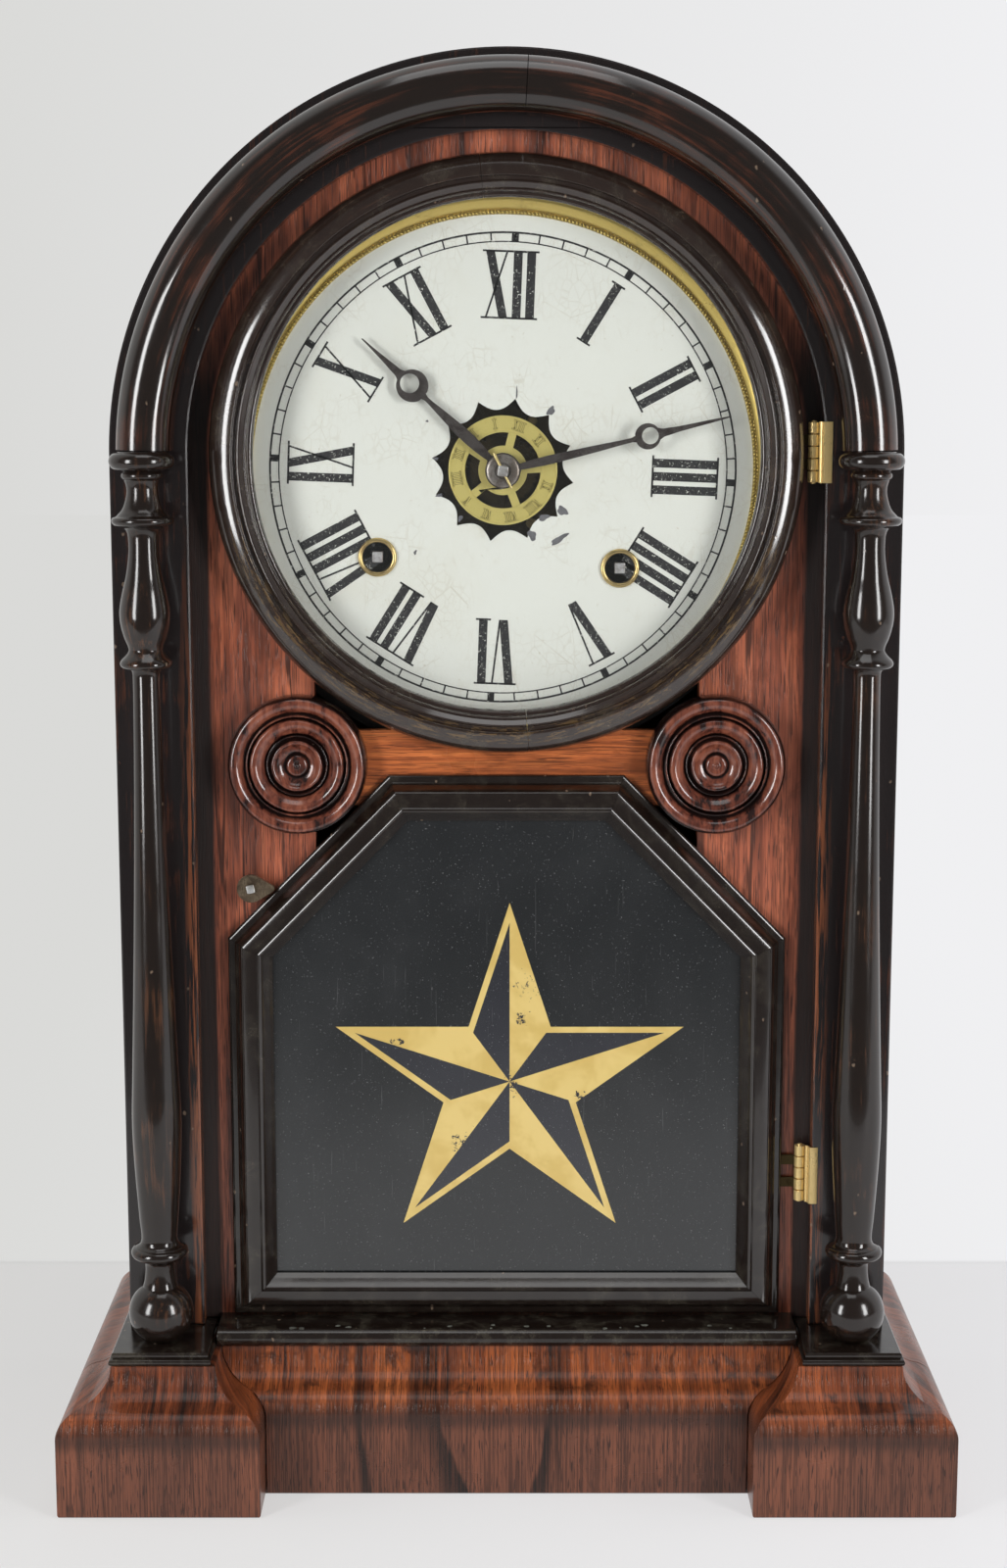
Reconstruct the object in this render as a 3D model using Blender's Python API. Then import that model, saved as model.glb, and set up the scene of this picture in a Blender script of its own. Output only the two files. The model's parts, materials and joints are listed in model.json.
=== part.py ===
"""Arch-top shelf clock: case, glazed figure-eight door, dial, hands and striking pendulum movement.

Lengths are millimetres until a mesh is written, which is in metres. +X is right, the front faces -Y and
+Z is up. The origin is on the floor under the middle of the base.
"""
import math

import bmesh
import bpy
from mathutils import Matrix, Vector
from mathutils.geometry import tessellate_polygon

MM = 0.001
GAP = 0.3
SMOOTH_DEG = 32.0

# Base
BASE_WIDTH = 285.6
BASE_DEPTH = 133.4
BASE_FACE_HEIGHT = 29.0
BASE_ROUND = 4.5
BASE_COVE = 11.0
BASE_BOARD = 22.0
FOOT_LENGTH = 64.7
FOOT_DEPTH = 45.0
RAIL_SETBACK = 17.5
CAP_HEIGHT = 4.0
CAP_WIDTH = 32.9
CAP_STEP = 1.0
CAP_EDGE = ((0.0, 0.0), (0.0, 0.45), (1.0, 0.5), (1.0, 0.95), (1.5, 1.0))
DUST_STRIP_DEPTH = 17.0
DUST_STRIP_RISE = 6.0

# Case
CASE_WIDTH = 248.4
CASE_WALL = 8.0
ARCH_CENTRE_Z = 332.8
FRAME_SETBACK = 40.5
FRAME_THICK = 6.0
FRAME_BAND = 24.4
PANEL_THICK = 7.0
BACKBOARD_THICK = 5.8
MOULDING_RADIUS = 112.5
MOULDING_WIDTH = 17.0
MOULDING_RISE = 14.7
COLUMN_X = 112.2
COLUMN_SETBACK = 12.5
COLUMN_HEIGHT = 284.7
COLUMN_BALL = 10.4
COLUMN_BALL_SHARE = 0.0327
COLUMN_SEAT = 0.2
COLUMN_NECK = ((5.3, 0.0755), (4.9, 0.0889), (6.6, 0.0976))
COLUMN_BEAD = (7.6, 1.7, 0.104)
COLUMN_SHAFT_FOOT = ((5.8, 0.1191), (6.3, 0.1437), (7.9, 0.2596), (7.2, 0.3052))
COLUMN_SHAFT_TOP = ((6.4, 0.4183), (4.5, 0.64), (4.0, 0.7636))
COLUMN_RING = ((6.6, 0.7682), (7.0, 0.7724), (6.4, 0.7766), (5.1, 0.7819))
COLUMN_VASE = ((6.7, 0.8184), (6.1, 0.8465), (4.5, 0.8971), (9.2, 0.9266), (9.5, 0.9291), (7.2, 0.9354))
COLUMN_SCOTIA = ((4.5, 0.9586), (5.8, 0.9716), (5.8, 0.9807))
COLUMN_COLLAR = (8.0, 2.1, 0.9909)
COLUMN_TOP = 7.6

# Door
DOOR_STANDOFF = 1.3
RING_OUTER = 93.3
RING_INNER = 79.5
RING_THICK = 9.5
RING_EDGE = 1.6
RING_ROUND_SHARE = 0.52
RING_BEADS = ((0.36, 0.6), (0.32, 1.9), (0.25, 1.2), (0.14, 2.6), (0.1, 4.2), (0.0, 5.4))
LOWER_HALF_WIDTH = 90.2
LOWER_BOTTOM_Z = 51.5
LOWER_SHOULDER_Z = 178.7
LOWER_TOP_Z = 232.0
LOWER_TOP_HALF_WIDTH = 37.7
LOWER_MOULDING = 14.5
LOWER_THICK = 7.8
LOWER_FILLET = ((0.0, 0.0), (0.0, 2.0), (2.2, 2.0), (2.6, 2.9))
LOWER_COVE = (3.0, 6.0, 3.2)
LOWER_RIDGE = ((10.4, 0.0), (11.2, 0.9))
LOWER_LIP = 1.0
GLASS_REBATE = 2.5
GLASS_THICK = 1.9
PANEL_HOLE_RADIUS = 90.0
PANEL_HOLE_LAP = 6.5
WAIST_CLEARANCE = 1.5
RAIL_HALF_LENGTH = 60.0
RAIL_BOTTOM_Z = 222.0
RAIL_TOP_Z = 246.4
RAIL_THICK = 4.0
ROUNDEL_X = 66.8
ROUNDEL_Z = 235.6
ROUNDEL_RADIUS = 22.4
ROUNDEL_RISE = 8.5
ROUNDEL_RIM_SHARE = ((0.0, 0.0), (1.0, 0.0), (1.0, 0.28), (0.985, 0.6), (0.915, 0.8), (0.83, 0.72), (0.75, 0.5))
ROUNDEL_RIDGE_SHARE = ((0.68, 0.74), (0.61, 0.8), (0.54, 0.72), (0.45, 0.4), (0.37, 0.62), (0.32, 0.64))
ROUNDEL_BUTTON_SHARE = ((0.26, 0.36), (0.16, 0.34), (0.15, 0.62), (0.08, 0.78), (0.0, 0.82))
HINGE_X = 96.2
KNUCKLE_RADIUS = 2.5
HINGE_PIN_RADIUS = 0.9
HINGE_LEAF = 0.7
HINGE_HEIGHT = 19.0
HINGE_LEAF_REACH = 12.0
KNUCKLES = 5
UPPER_HINGE_Z = 325.0
LOWER_HINGE_Z = 90.5
LATCH_X = -82.3
LATCH_Z = 195.4
LATCH_RADIUS = 4.5
LATCH_NOSE = 6.4
LATCH_TIP = 1.2
LATCH_BOSS = 3.3
LATCH_PLATE = 1.5
LATCH_BORE = 1.3
LATCH_SCREW_HEAD = 2.3

# Dial
DIAL_X = -1.2
DIAL_Z = 328.5
DIAL_TURN_DEG = 2.6
DIAL_RADIUS = 93.0
DIAL_THICK = 1.0
SASH_INNER = 79.5
SASH_OUTER = 85.0
SASH_RISE = 3.6
SASH_FLAT = 2.0
SASH_LIP = 1.2
STAR_SCALLOPS = 12
STAR_CUSP = 22.8
STAR_WAIST = 18.8
STAR_TURN_DEG = 12.0
WINDING_X = 38.8
WINDING_DROP = 29.3
GROMMET_OUTER = 6.2
GROMMET_INNER = 4.7
GROMMET_WALL = 0.9

# Hands, measured from their common axis
MINUTE_ANGLE_DEG = 76.7
MINUTE_LENGTH = 74.0
MINUTE_EYE = (47.0, 3.8, 2.5)
HOUR_ANGLE_DEG = 312.9
HOUR_LENGTH = 60.5
HOUR_EYE = (39.0, 5.0, 3.1)
HAND_BOSS = 5.6
HAND_THICK = 0.8
ALARM_OUTER = 17.3
ALARM_RIM = 12.0
ALARM_HUB = 6.0
ALARM_SPOKES = 5
ALARM_SPOKE = 2.6

# Movement
PLATE_HALF_WIDTH = 66.0
PLATE_BOTTOM = -60.0
PLATE_TOP = 58.0
PLATE_THICK = 1.8
PLATE_GAP = 29.2
PLATE_SETBACK_SHARE = 0.418
PILLAR_RADIUS = 3.0
PIVOT_RADIUS = 1.5
PIVOT_CLEARANCE = 0.3
ARBOR_RADIUS = 2.0
WHEEL_THICK = 1.5
PINION_LENGTH = 4.5
WINDING_SQUARE = 3.7
GREAT_TEETH = 40
SECOND_TEETH = 32
SECOND_LEAVES = 8
CENTRE_TEETH = 42
CENTRE_LEAVES = 8
THIRD_TEETH = 42
THIRD_LEAVES = 6
ESCAPE_TEETH = 30
ESCAPE_LEAVES = 6
GREAT_MODULE = 1.3
SECOND_MODULE = 1.0
CENTRE_MODULE = 0.75
THIRD_MODULE = 0.7
ESCAPE_RADIUS = 13.0
ESCAPE_RISE = 30.0
PALLET_CLEARANCE = 1.2
PALLET_ANGLES = (32.0, 38.0)
PALLET_BRIDGE = 5.6
VERGE_RISE = 47.0
WHEEL_TOOTH = (0.62, 0.85, 1.0)
PINION_TOOTH = (0.6, 0.75, 1.05)
CANNON_LEAVES = 8
MINUTE_TEETH = 24
MINUTE_LEAVES = 8
HOUR_TEETH = 32
MOTION_REACH = 14.0
PENDULUM_LENGTH = 182.0
PENDULUM_ROD_RADIUS = 1.2
BOB_RADIUS = 20.0
BOB_THICK = 9.0
PENDULUM_SETBACK_SHARE = 0.2066
CRUTCH_DROP = 36.0
STRIP_WIDTH = 18.0
STRIP_INSET = 12.0
GONG_X = 4.0
GONG_Z = 112.0
GONG_WIRE = 1.2
GONG_OUTER = 44.0
GONG_INNER = 17.0
GONG_TURN_COUNT = 4
GONG_STEP_COUNT = 24
GONG_POST_RADIUS = 9.0
GONG_POST_HEIGHT = 12.0
GONG_FLANGE = 3.0
GONG_CHAMFER = 2.0
HAMMER_X = -9.0
HAMMER_DROP = 50.0
HAMMER_HEAD = 6.0
BELL_INSET = 28.9
BELL_RADIUS = 19.0
BELL_HEIGHT = 15.0
BELL_Z = 96.0
BELL_POST_FOOT = 9.0
BELL_POST_FLANGE = 3.0
BELL_POST_RADIUS = 3.6
BELL_NUT = 2.5
BELL_NUT_TOP = 3.2
ALARM_BAR = 3.0
ALARM_BAR_RISE = 8.0
ALARM_HEAD = 4.0
ALARM_STEM = 1.0
ALARM_EYE = 3.2
STUD_REACH = 9.0
STUD_RISE = 20.0
STUD_RADIUS = 1.4
STUD_EYE_TOP = 5.0
CHEEK_HALF = 4.0
CHEEK_FACE = 0.5

# Levels worked out from the sizes above
FRONT_Y = -BASE_DEPTH / 2
BACK_Y = BASE_DEPTH / 2
BASE_RECESS = BASE_ROUND + BASE_COVE
BASE_TOP_Z = BASE_FACE_HEIGHT + BASE_RECESS
CAP_Z = BASE_TOP_Z + GAP
CAP_TOP_Z = CAP_Z + CAP_HEIGHT
CAP_OUTER_X = BASE_WIDTH / 2 - BASE_RECESS + CAP_STEP / 2
CAP_INNER_X = CAP_OUTER_X - CAP_WIDTH
CASE_FOOT_Z = CAP_TOP_Z + GAP
BELL_X = CAP_INNER_X - BELL_INSET
CASE_HALF = CASE_WIDTH / 2
FRAME_Y = FRONT_Y + FRAME_SETBACK
FRAME_BACK_Y = FRAME_Y + FRAME_THICK
PANEL_Y = FRAME_BACK_Y + GAP
PANEL_BACK_Y = PANEL_Y + PANEL_THICK
BACKBOARD_Y = BACK_Y - BACKBOARD_THICK
DOOR_Y = PANEL_Y - DOOR_STANDOFF
WAIST_HALF_WIDTH = RAIL_HALF_LENGTH + WAIST_CLEARANCE
HINGE_Y = PANEL_Y - GAP - KNUCKLE_RADIUS
COLUMN_Y = FRAME_Y - COLUMN_SETBACK
DIAL_Y = PANEL_BACK_Y + GAP
MOVEMENT_DEPTH = PLATE_GAP + 2.0 * PLATE_THICK
MOVEMENT_ROOM = BACKBOARD_Y - DIAL_Y - DIAL_THICK - MOVEMENT_DEPTH
FRONT_PLATE_Y = DIAL_Y + DIAL_THICK + PLATE_SETBACK_SHARE * MOVEMENT_ROOM
PLATE_INNER_Y = FRONT_PLATE_Y + PLATE_THICK
BACK_PLATE_Y = PLATE_INNER_Y + PLATE_GAP
MOVEMENT_BACK_Y = BACK_PLATE_Y + PLATE_THICK
PENDULUM_Y = MOVEMENT_BACK_Y + PENDULUM_SETBACK_SHARE * MOVEMENT_ROOM
CLOCKWISE = -math.radians(DIAL_TURN_DEG)


# Colours, roughness and metallic value of each finish
FINISHES = {
    "veneer": ((0.16, 0.045, 0.02), 0.32, 0.0),
    "ebonised": ((0.02, 0.016, 0.014), 0.28, 0.0),
    "pine": ((0.42, 0.27, 0.14), 0.6, 0.0),
    "brass": ((0.55, 0.4, 0.17), 0.35, 1.0),
    "steel": ((0.2, 0.18, 0.16), 0.4, 1.0),
    "dial_paint": ((0.8, 0.77, 0.68), 0.5, 0.0),
    "clear_glass": ((0.9, 0.95, 0.93), 0.05, 0.0),
    "black_glass": ((0.01, 0.01, 0.01), 0.08, 0.0),
}


def finish(obj, key):
    """Give the object a material of its own in one of the clock's finishes."""
    colour, roughness, metallic = FINISHES[key]
    material = bpy.data.materials.new(obj.name + "_" + key)
    material.use_nodes = True
    shader = material.node_tree.nodes["Principled BSDF"]
    shader.inputs["Base Color"].default_value = (*colour, 1.0)
    shader.inputs["Roughness"].default_value = roughness
    shader.inputs["Metallic"].default_value = metallic
    obj.data.materials.append(material)


def add(name, bm, key, origin=(0.0, 0.0, 0.0)):
    """Write a mesh as an object whose origin is the given point, in millimetres."""
    bmesh.ops.recalc_face_normals(bm, faces=bm.faces)
    mesh = bpy.data.meshes.new(name)
    bm.to_mesh(mesh)
    bm.free()
    mesh.transform(Matrix.Scale(MM, 4) @ Matrix.Translation(-Vector(origin)))
    mesh.shade_smooth()
    mesh.set_sharp_from_angle(angle=math.radians(SMOOTH_DEG))
    obj = bpy.data.objects.new(name, mesh)
    obj.location = Vector(origin) * MM
    bpy.context.collection.objects.link(obj)
    finish(obj, key)
    return obj


def combine(obj, tools, operation):
    """Join hidden helper solids to an object, or cut them from it."""
    for tool in tools:
        tool.hide_render = True
        tool.display_type = "WIRE"
        modifier = obj.modifiers.new(operation.lower() + "_" + tool.name, "BOOLEAN")
        modifier.operation = operation
        modifier.solver = "EXACT"
        modifier.object = tool
    return obj


def ring_points(radius, steps, centre=(0.0, 0.0), start=0.0):
    """Points around a circle."""
    turn = 2.0 * math.pi / steps
    return [
        (centre[0] + radius * math.cos(start + turn * i), centre[1] + radius * math.sin(start + turn * i))
        for i in range(steps)
    ]


def arc_points(centre, radius, start_deg, end_deg, steps):
    """Points along an arc, both ends included."""
    points = []
    for i in range(steps + 1):
        angle = math.radians(start_deg + (end_deg - start_deg) * i / steps)
        points.append((centre[0] + radius * math.cos(angle), centre[1] + radius * math.sin(angle)))
    return points


def plate(outline, y_front, y_back, holes=()):
    """A flat piece seen from the front: an outline in X and Z with holes, given a thickness along Y."""
    loops = [outline, *holes]
    flat = [Vector((x, z, 0.0)) for loop in loops for x, z in loop]
    bm = bmesh.new()
    front = [bm.verts.new((p.x, y_front, p.y)) for p in flat]
    back = [bm.verts.new((p.x, y_back, p.y)) for p in flat]
    for a, b, c in tessellate_polygon([[Vector((x, z, 0.0)) for x, z in loop] for loop in loops]):
        bm.faces.new((front[a], front[b], front[c]))
        bm.faces.new((back[c], back[b], back[a]))
    first = 0
    for loop in loops:
        for i in range(len(loop)):
            j = (i + 1) % len(loop)
            bm.faces.new((front[first + i], front[first + j], back[first + j], back[first + i]))
        first += len(loop)
    return bm


def turned(profile, steps, centre, axis="Z", hollow=False, start_deg=0.0, sweep_deg=360.0):
    """A turned piece from (radius, height) points along its axis, whole or over part of a turn."""
    whole = abs(sweep_deg - 360.0) < 0.001
    count = steps if whole else steps + 1
    bm = bmesh.new()
    rings = []
    for radius, height in profile:
        ring = []
        for i in range(count if radius > 0.0 else 1):
            angle = math.radians(start_deg + sweep_deg * i / steps)
            across = radius * math.cos(angle)
            up = radius * math.sin(angle)
            if axis == "Z":
                ring.append(bm.verts.new((centre[0] + across, centre[1] + up, height)))
            else:
                ring.append(bm.verts.new((centre[0] + across, height, centre[1] + up)))
        rings.append(ring)
    pairs = list(zip(rings, rings[1:]))
    if hollow:
        pairs.append((rings[-1], rings[0]))
    for upper, lower in pairs:
        for i in range(steps):
            j = (i + 1) % count
            corners = [upper[i % len(upper)], upper[j % len(upper)]]
            corners += [lower[j % len(lower)], lower[i % len(lower)]]
            face = list(dict.fromkeys(corners))
            if len(face) > 2:
                bm.faces.new(face)
    if not whole:
        bm.faces.new([ring[0] for ring in rings])
        bm.faces.new([ring[-1] for ring in reversed(rings)])
    elif not hollow:
        for ring in (rings[0], rings[-1]):
            if len(ring) > 2:
                bm.faces.new(ring)
    return bm


def block(x0, x1, y0, y1, z0, z1):
    """A plain board between two corners."""
    return plate([(x0, z0), (x1, z0), (x1, z1), (x0, z1)], y0, y1)


def inset(outline, distance):
    """Move every edge of an outline, drawn anticlockwise, inwards by the same distance."""
    moved = []
    for before, here, after in zip(outline[-1:] + outline[:-1], outline, outline[1:] + outline[:1]):
        lines = []
        for a, b in ((before, here), (here, after)):
            run = Vector((b[0] - a[0], b[1] - a[1])).normalized()
            normal = Vector((-run.y, run.x))
            lines.append((normal, normal.dot(Vector(a)) + distance))
        (n1, c1), (n2, c2) = lines
        cross = n1.x * n2.y - n1.y * n2.x
        moved.append(((c1 * n2.y - c2 * n1.y) / cross, (n1.x * c2 - n2.x * c1) / cross))
    return moved


def mitred(outline, profile, y_back):
    """A moulding of (inset, rise) points run round an outline with mitred corners."""
    bm = bmesh.new()
    rings = []
    for distance, rise in profile:
        rings.append([bm.verts.new((x, y_back - rise, z)) for x, z in inset(outline, distance)])
    for upper, lower in zip(rings, rings[1:] + rings[:1]):
        for i in range(len(outline)):
            j = (i + 1) % len(outline)
            bm.faces.new((upper[i], upper[j], lower[j], lower[i]))
    return bm


def tooth_ring(teeth, module, thickness, addendum, dedendum, turn=0.0):
    """Outline of a toothed wheel: straight-sided teeth that come to a point."""
    pitch = 2.0 * math.pi / teeth
    pitch_radius = teeth * module / 2
    points = []
    for i in range(teeth):
        middle = turn + pitch * i
        root = pitch_radius - dedendum * module
        tip = pitch_radius + addendum * module
        for radius, half in ((root, 0.6), (tip, 0.0), (root, -0.6)):
            angle = middle - half * thickness * pitch
            points.append((radius * math.cos(angle), radius * math.sin(angle)))
    return points


def shifted(points, centre):
    """Points moved so that their middle is the given centre."""
    return [(centre[0] + x, centre[1] + z) for x, z in points]


def movement_point(x, z):
    """World X and Z of a point of the movement, which hangs a little turned in its case."""
    return (
        DIAL_X + x * math.cos(CLOCKWISE) - z * math.sin(CLOCKWISE),
        DIAL_Z + x * math.sin(CLOCKWISE) + z * math.cos(CLOCKWISE),
    )


def meeting_point(first, first_reach, second, second_reach, side):
    """The point that lies at two given distances from two others, on one side of their line."""
    span = Vector(second) - Vector(first)
    length = span.length
    along = (first_reach ** 2 - second_reach ** 2 + length ** 2) / (2.0 * length)
    across = math.sqrt(first_reach ** 2 - along ** 2)
    unit = span / length
    normal = Vector((-unit.y, unit.x)) * side
    point = Vector(first) + unit * along + normal * across
    return (point.x, point.y)


# Places of the movement's arbors, measured from the dial's middle
TIME_ARBOR = (WINDING_X, -WINDING_DROP)
STRIKE_ARBOR = (-WINDING_X, -WINDING_DROP)
CENTRE_ARBOR = (0.0, 0.0)
ESCAPE_ARBOR = (0.0, ESCAPE_RISE)
VERGE_ARBOR = (0.0, VERGE_RISE)
HAMMER_ARBOR = (HAMMER_X, -HAMMER_DROP)
SECOND_ARBOR = meeting_point(
    CENTRE_ARBOR, (SECOND_TEETH + CENTRE_LEAVES) * SECOND_MODULE / 2,
    TIME_ARBOR, (GREAT_TEETH + SECOND_LEAVES) * GREAT_MODULE / 2, -1.0)
THIRD_ARBOR = meeting_point(
    CENTRE_ARBOR, (CENTRE_TEETH + THIRD_LEAVES) * CENTRE_MODULE / 2,
    ESCAPE_ARBOR, (THIRD_TEETH + ESCAPE_LEAVES) * THIRD_MODULE / 2, -1.0)
CANNON_MODULE = 2.0 * MOTION_REACH / (CANNON_LEAVES + MINUTE_TEETH)
HOUR_MODULE = 2.0 * MOTION_REACH / (MINUTE_LEAVES + HOUR_TEETH)
MINUTE_ARBOR = (-MOTION_REACH, 0.0)


def base_profile():
    """Depth behind the face and height of the ogee base, from the floor up and back down its inside."""
    points = [(0.0, 0.0), (0.0, BASE_FACE_HEIGHT)]
    for x, z in arc_points((BASE_ROUND, BASE_FACE_HEIGHT), BASE_ROUND, 180.0, 90.0, 5)[1:]:
        points.append((x, z))
    for x, z in arc_points((BASE_ROUND, BASE_TOP_Z), BASE_COVE, -90.0, 0.0, 7)[1:]:
        points.append((x, z))
    return points + [(BASE_BOARD, BASE_TOP_Z), (BASE_BOARD, 0.0)]


def moulded_run(profile, place_start, place_end):
    """A straight run of a profile between two ends, each a function of depth and height."""
    bm = bmesh.new()
    first = [bm.verts.new(place_start(d, z)) for d, z in profile]
    last = [bm.verts.new(place_end(d, z)) for d, z in profile]
    for i in range(len(profile)):
        j = (i + 1) % len(profile)
        bm.faces.new((first[i], first[j], last[j], last[i]))
    bm.faces.new(first)
    bm.faces.new(last)
    return bm


def stacked(levels, y_back):
    """A block of rectangular levels (left, right, front, height) that share one flat back."""
    bm = bmesh.new()
    rings = []
    for left, right, front, z in levels:
        corners = ((left, front, z), (right, front, z), (right, y_back, z), (left, y_back, z))
        rings.append([bm.verts.new(corner) for corner in corners])
    for lower, upper in zip(rings, rings[1:]):
        for i in range(4):
            j = (i + 1) % 4
            bm.faces.new((lower[i], lower[j], upper[j], upper[i]))
    bm.faces.new(rings[0])
    bm.faces.new(rings[-1])
    return bm


def build_base():
    """Ogee feet and side runs, the set-back rail between the feet, the caps, the dust strip and the floor."""
    profile = base_profile()
    half = BASE_WIDTH / 2
    inner = half - FOOT_LENGTH
    foot_back = FRONT_Y + FOOT_DEPTH
    for side, word in ((-1.0, "left"), (1.0, "right")):
        levels = []
        for d, z in profile[:-2]:
            x0, x1 = sorted((side * (inner + d), side * (half - d)))
            levels.append((x0, x1, FRONT_Y + d, z))
        add("base_foot_" + word, stacked(levels, foot_back), "veneer")
        add("base_side_" + word, moulded_run(
            profile,
            lambda d, z: (side * (half - d), foot_back + GAP, z),
            lambda d, z: (side * (half - d), BACK_Y, z)), "veneer")
        x0, x1 = sorted((side * CAP_INNER_X, side * CAP_OUTER_X))
        cap_front = FRONT_Y + BASE_RECESS - CAP_STEP / 2
        cap = []
        for step, share in CAP_EDGE:
            shrink = step * CAP_STEP
            cap.append((x0 + shrink, x1 - shrink, cap_front + shrink, CAP_Z + share * CAP_HEIGHT))
        add("foot_cap_" + word, stacked(cap, BACK_Y), "ebonised")
    rail_front = FRONT_Y + RAIL_SETBACK
    reach = inner - GAP
    levels = [(-reach - d, reach + d, rail_front + d, z) for d, z in profile[:-2]]
    add("base_front_rail", stacked(levels, rail_front + BASE_BOARD), "veneer")
    strip_half = CAP_INNER_X - GAP
    strip_back = FRAME_BACK_Y
    strip_front = strip_back - DUST_STRIP_DEPTH
    nose = DUST_STRIP_RISE / 2
    strip = [(strip_back, CAP_Z), (strip_back, CAP_Z + DUST_STRIP_RISE)]
    strip += arc_points((strip_front + nose, CAP_Z + nose), nose, 90.0, 270.0, 6)
    add("base_dust_strip", moulded_run(
        strip,
        lambda y, z: (-strip_half, y, z),
        lambda y, z: (strip_half, y, z)), "ebonised")
    add("case_floor", block(-strip_half, strip_half, PANEL_Y, BACKBOARD_Y - GAP, CAP_Z, CAP_TOP_Z), "pine")


def arch_outline(half, foot_z, steps):
    """Outline of an upright with a round top, drawn anticlockwise."""
    return [(-half, foot_z), (half, foot_z)] + arc_points((0.0, ARCH_CENTRE_Z), half, 0.0, 180.0, steps)


def build_case():
    """Sides and bent roof, backboard, front frame with its half-round moulding, and the front panel."""
    wall_back = BACKBOARD_Y - GAP
    inner = CASE_HALF - CASE_WALL
    for side, word in ((-1.0, "left"), (1.0, "right")):
        x0, x1 = sorted((side * inner, side * CASE_HALF))
        add("case_side_" + word, block(
            x0, x1, PANEL_Y, wall_back, CASE_FOOT_Z, ARCH_CENTRE_Z - GAP), "veneer")
    roof = [(CASE_HALF, PANEL_Y), (CASE_HALF, wall_back), (inner, wall_back), (inner, PANEL_Y)]
    add("case_arch", turned(
        roof, 36, (0.0, ARCH_CENTRE_Z), "Y", True, 0.0, 180.0), "veneer")
    add("backboard", plate(arch_outline(CASE_HALF, CASE_FOOT_Z, 36), BACKBOARD_Y, BACK_Y), "pine")
    frame_inner = CASE_HALF - FRAME_BAND
    frame = [(-CASE_HALF, CASE_FOOT_Z), (-frame_inner, CASE_FOOT_Z)]
    frame += arc_points((0.0, ARCH_CENTRE_Z), frame_inner, 180.0, 0.0, 36)
    frame += [(frame_inner, CASE_FOOT_Z), (CASE_HALF, CASE_FOOT_Z)]
    frame += arc_points((0.0, ARCH_CENTRE_Z), CASE_HALF, 0.0, 180.0, 36)
    add("front_frame", plate(frame, FRAME_Y, FRAME_BACK_Y), "ebonised")
    half_width = MOULDING_WIDTH / 2
    section = [(MOULDING_RADIUS + half_width, FRAME_Y - GAP)]
    for across, rise in arc_points((0.0, 0.0), 1.0, 0.0, 180.0, 6):
        flat = MOULDING_RISE - half_width
        section.append((MOULDING_RADIUS + half_width * across, FRAME_Y - GAP - flat - half_width * rise))
    section.append((MOULDING_RADIUS - half_width, FRAME_Y - GAP))
    lift = math.degrees(math.asin((CASE_FOOT_Z + COLUMN_HEIGHT + GAP - ARCH_CENTRE_Z) / MOULDING_RADIUS))
    add("arch_moulding", turned(
        section, 30, (0.0, ARCH_CENTRE_Z), "Y", True, lift, 180.0 - 2.0 * lift), "ebonised")
    add("front_panel", plate(
        arch_outline(inner - GAP, CASE_FOOT_Z, 36), PANEL_Y, PANEL_BACK_Y, [panel_opening()]), "veneer")


def lower_outline():
    """Outline of the door's lower frame, anticlockwise from its lower left corner."""
    return [
        (-LOWER_HALF_WIDTH, LOWER_BOTTOM_Z),
        (LOWER_HALF_WIDTH, LOWER_BOTTOM_Z),
        (LOWER_HALF_WIDTH, LOWER_SHOULDER_Z),
        (LOWER_TOP_HALF_WIDTH, LOWER_TOP_Z),
        (-LOWER_TOP_HALF_WIDTH, LOWER_TOP_Z),
        (-LOWER_HALF_WIDTH, LOWER_SHOULDER_Z),
    ]


def panel_opening():
    """Figure-eight hole behind the door: the lower frame's shape, a waist for the rail, the dial's circle."""
    lower = inset(lower_outline(), PANEL_HOLE_LAP)
    right = lower[2]
    slope = (lower[3][1] - right[1]) / (lower[3][0] - right[0])
    waist_z = right[1] + slope * (WAIST_HALF_WIDTH - right[0])
    lift = math.degrees(math.acos(WAIST_HALF_WIDTH / PANEL_HOLE_RADIUS))
    points = [lower[0], lower[1], right, (WAIST_HALF_WIDTH, waist_z)]
    points += arc_points((0.0, ARCH_CENTRE_Z), PANEL_HOLE_RADIUS, -lift, 180.0 + lift, 40)
    return points + [(-WAIST_HALF_WIDTH, waist_z), lower[5]]


def column_profile():
    """Radius and height of the turned column, from its ball foot to the collar under the arch."""
    foot = CASE_FOOT_Z
    top = foot + COLUMN_HEIGHT
    ball_z = foot + COLUMN_BALL_SHARE * COLUMN_HEIGHT
    points = [(0.0, foot)]
    for radius, z in arc_points((0.0, ball_z), COLUMN_BALL, -58.0, 58.0, 6):
        points.append((radius, max(z, foot + COLUMN_SEAT)))
    points += [(radius, foot + share * COLUMN_HEIGHT) for radius, share in COLUMN_NECK]
    middle, bead, share = COLUMN_BEAD
    points += arc_points((middle, foot + share * COLUMN_HEIGHT), bead, -70.0, 70.0, 2)
    shaft = COLUMN_SHAFT_FOOT + COLUMN_SHAFT_TOP
    for radius, share in shaft + COLUMN_RING + COLUMN_VASE + COLUMN_SCOTIA:
        points.append((radius, foot + share * COLUMN_HEIGHT))
    middle, bead, share = COLUMN_COLLAR
    points += arc_points((middle, foot + share * COLUMN_HEIGHT), bead, -80.0, 60.0, 2)
    return points + [(COLUMN_TOP, top), (0.0, top)]


def build_columns():
    """Two turned columns standing on the caps and carrying the ends of the arch moulding."""
    for side, word in ((-1.0, "left"), (1.0, "right")):
        centre = (side * COLUMN_X, COLUMN_Y)
        add("column_" + word, turned(
            column_profile(), 14, centre), "ebonised", (*centre, CASE_FOOT_Z))


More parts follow.
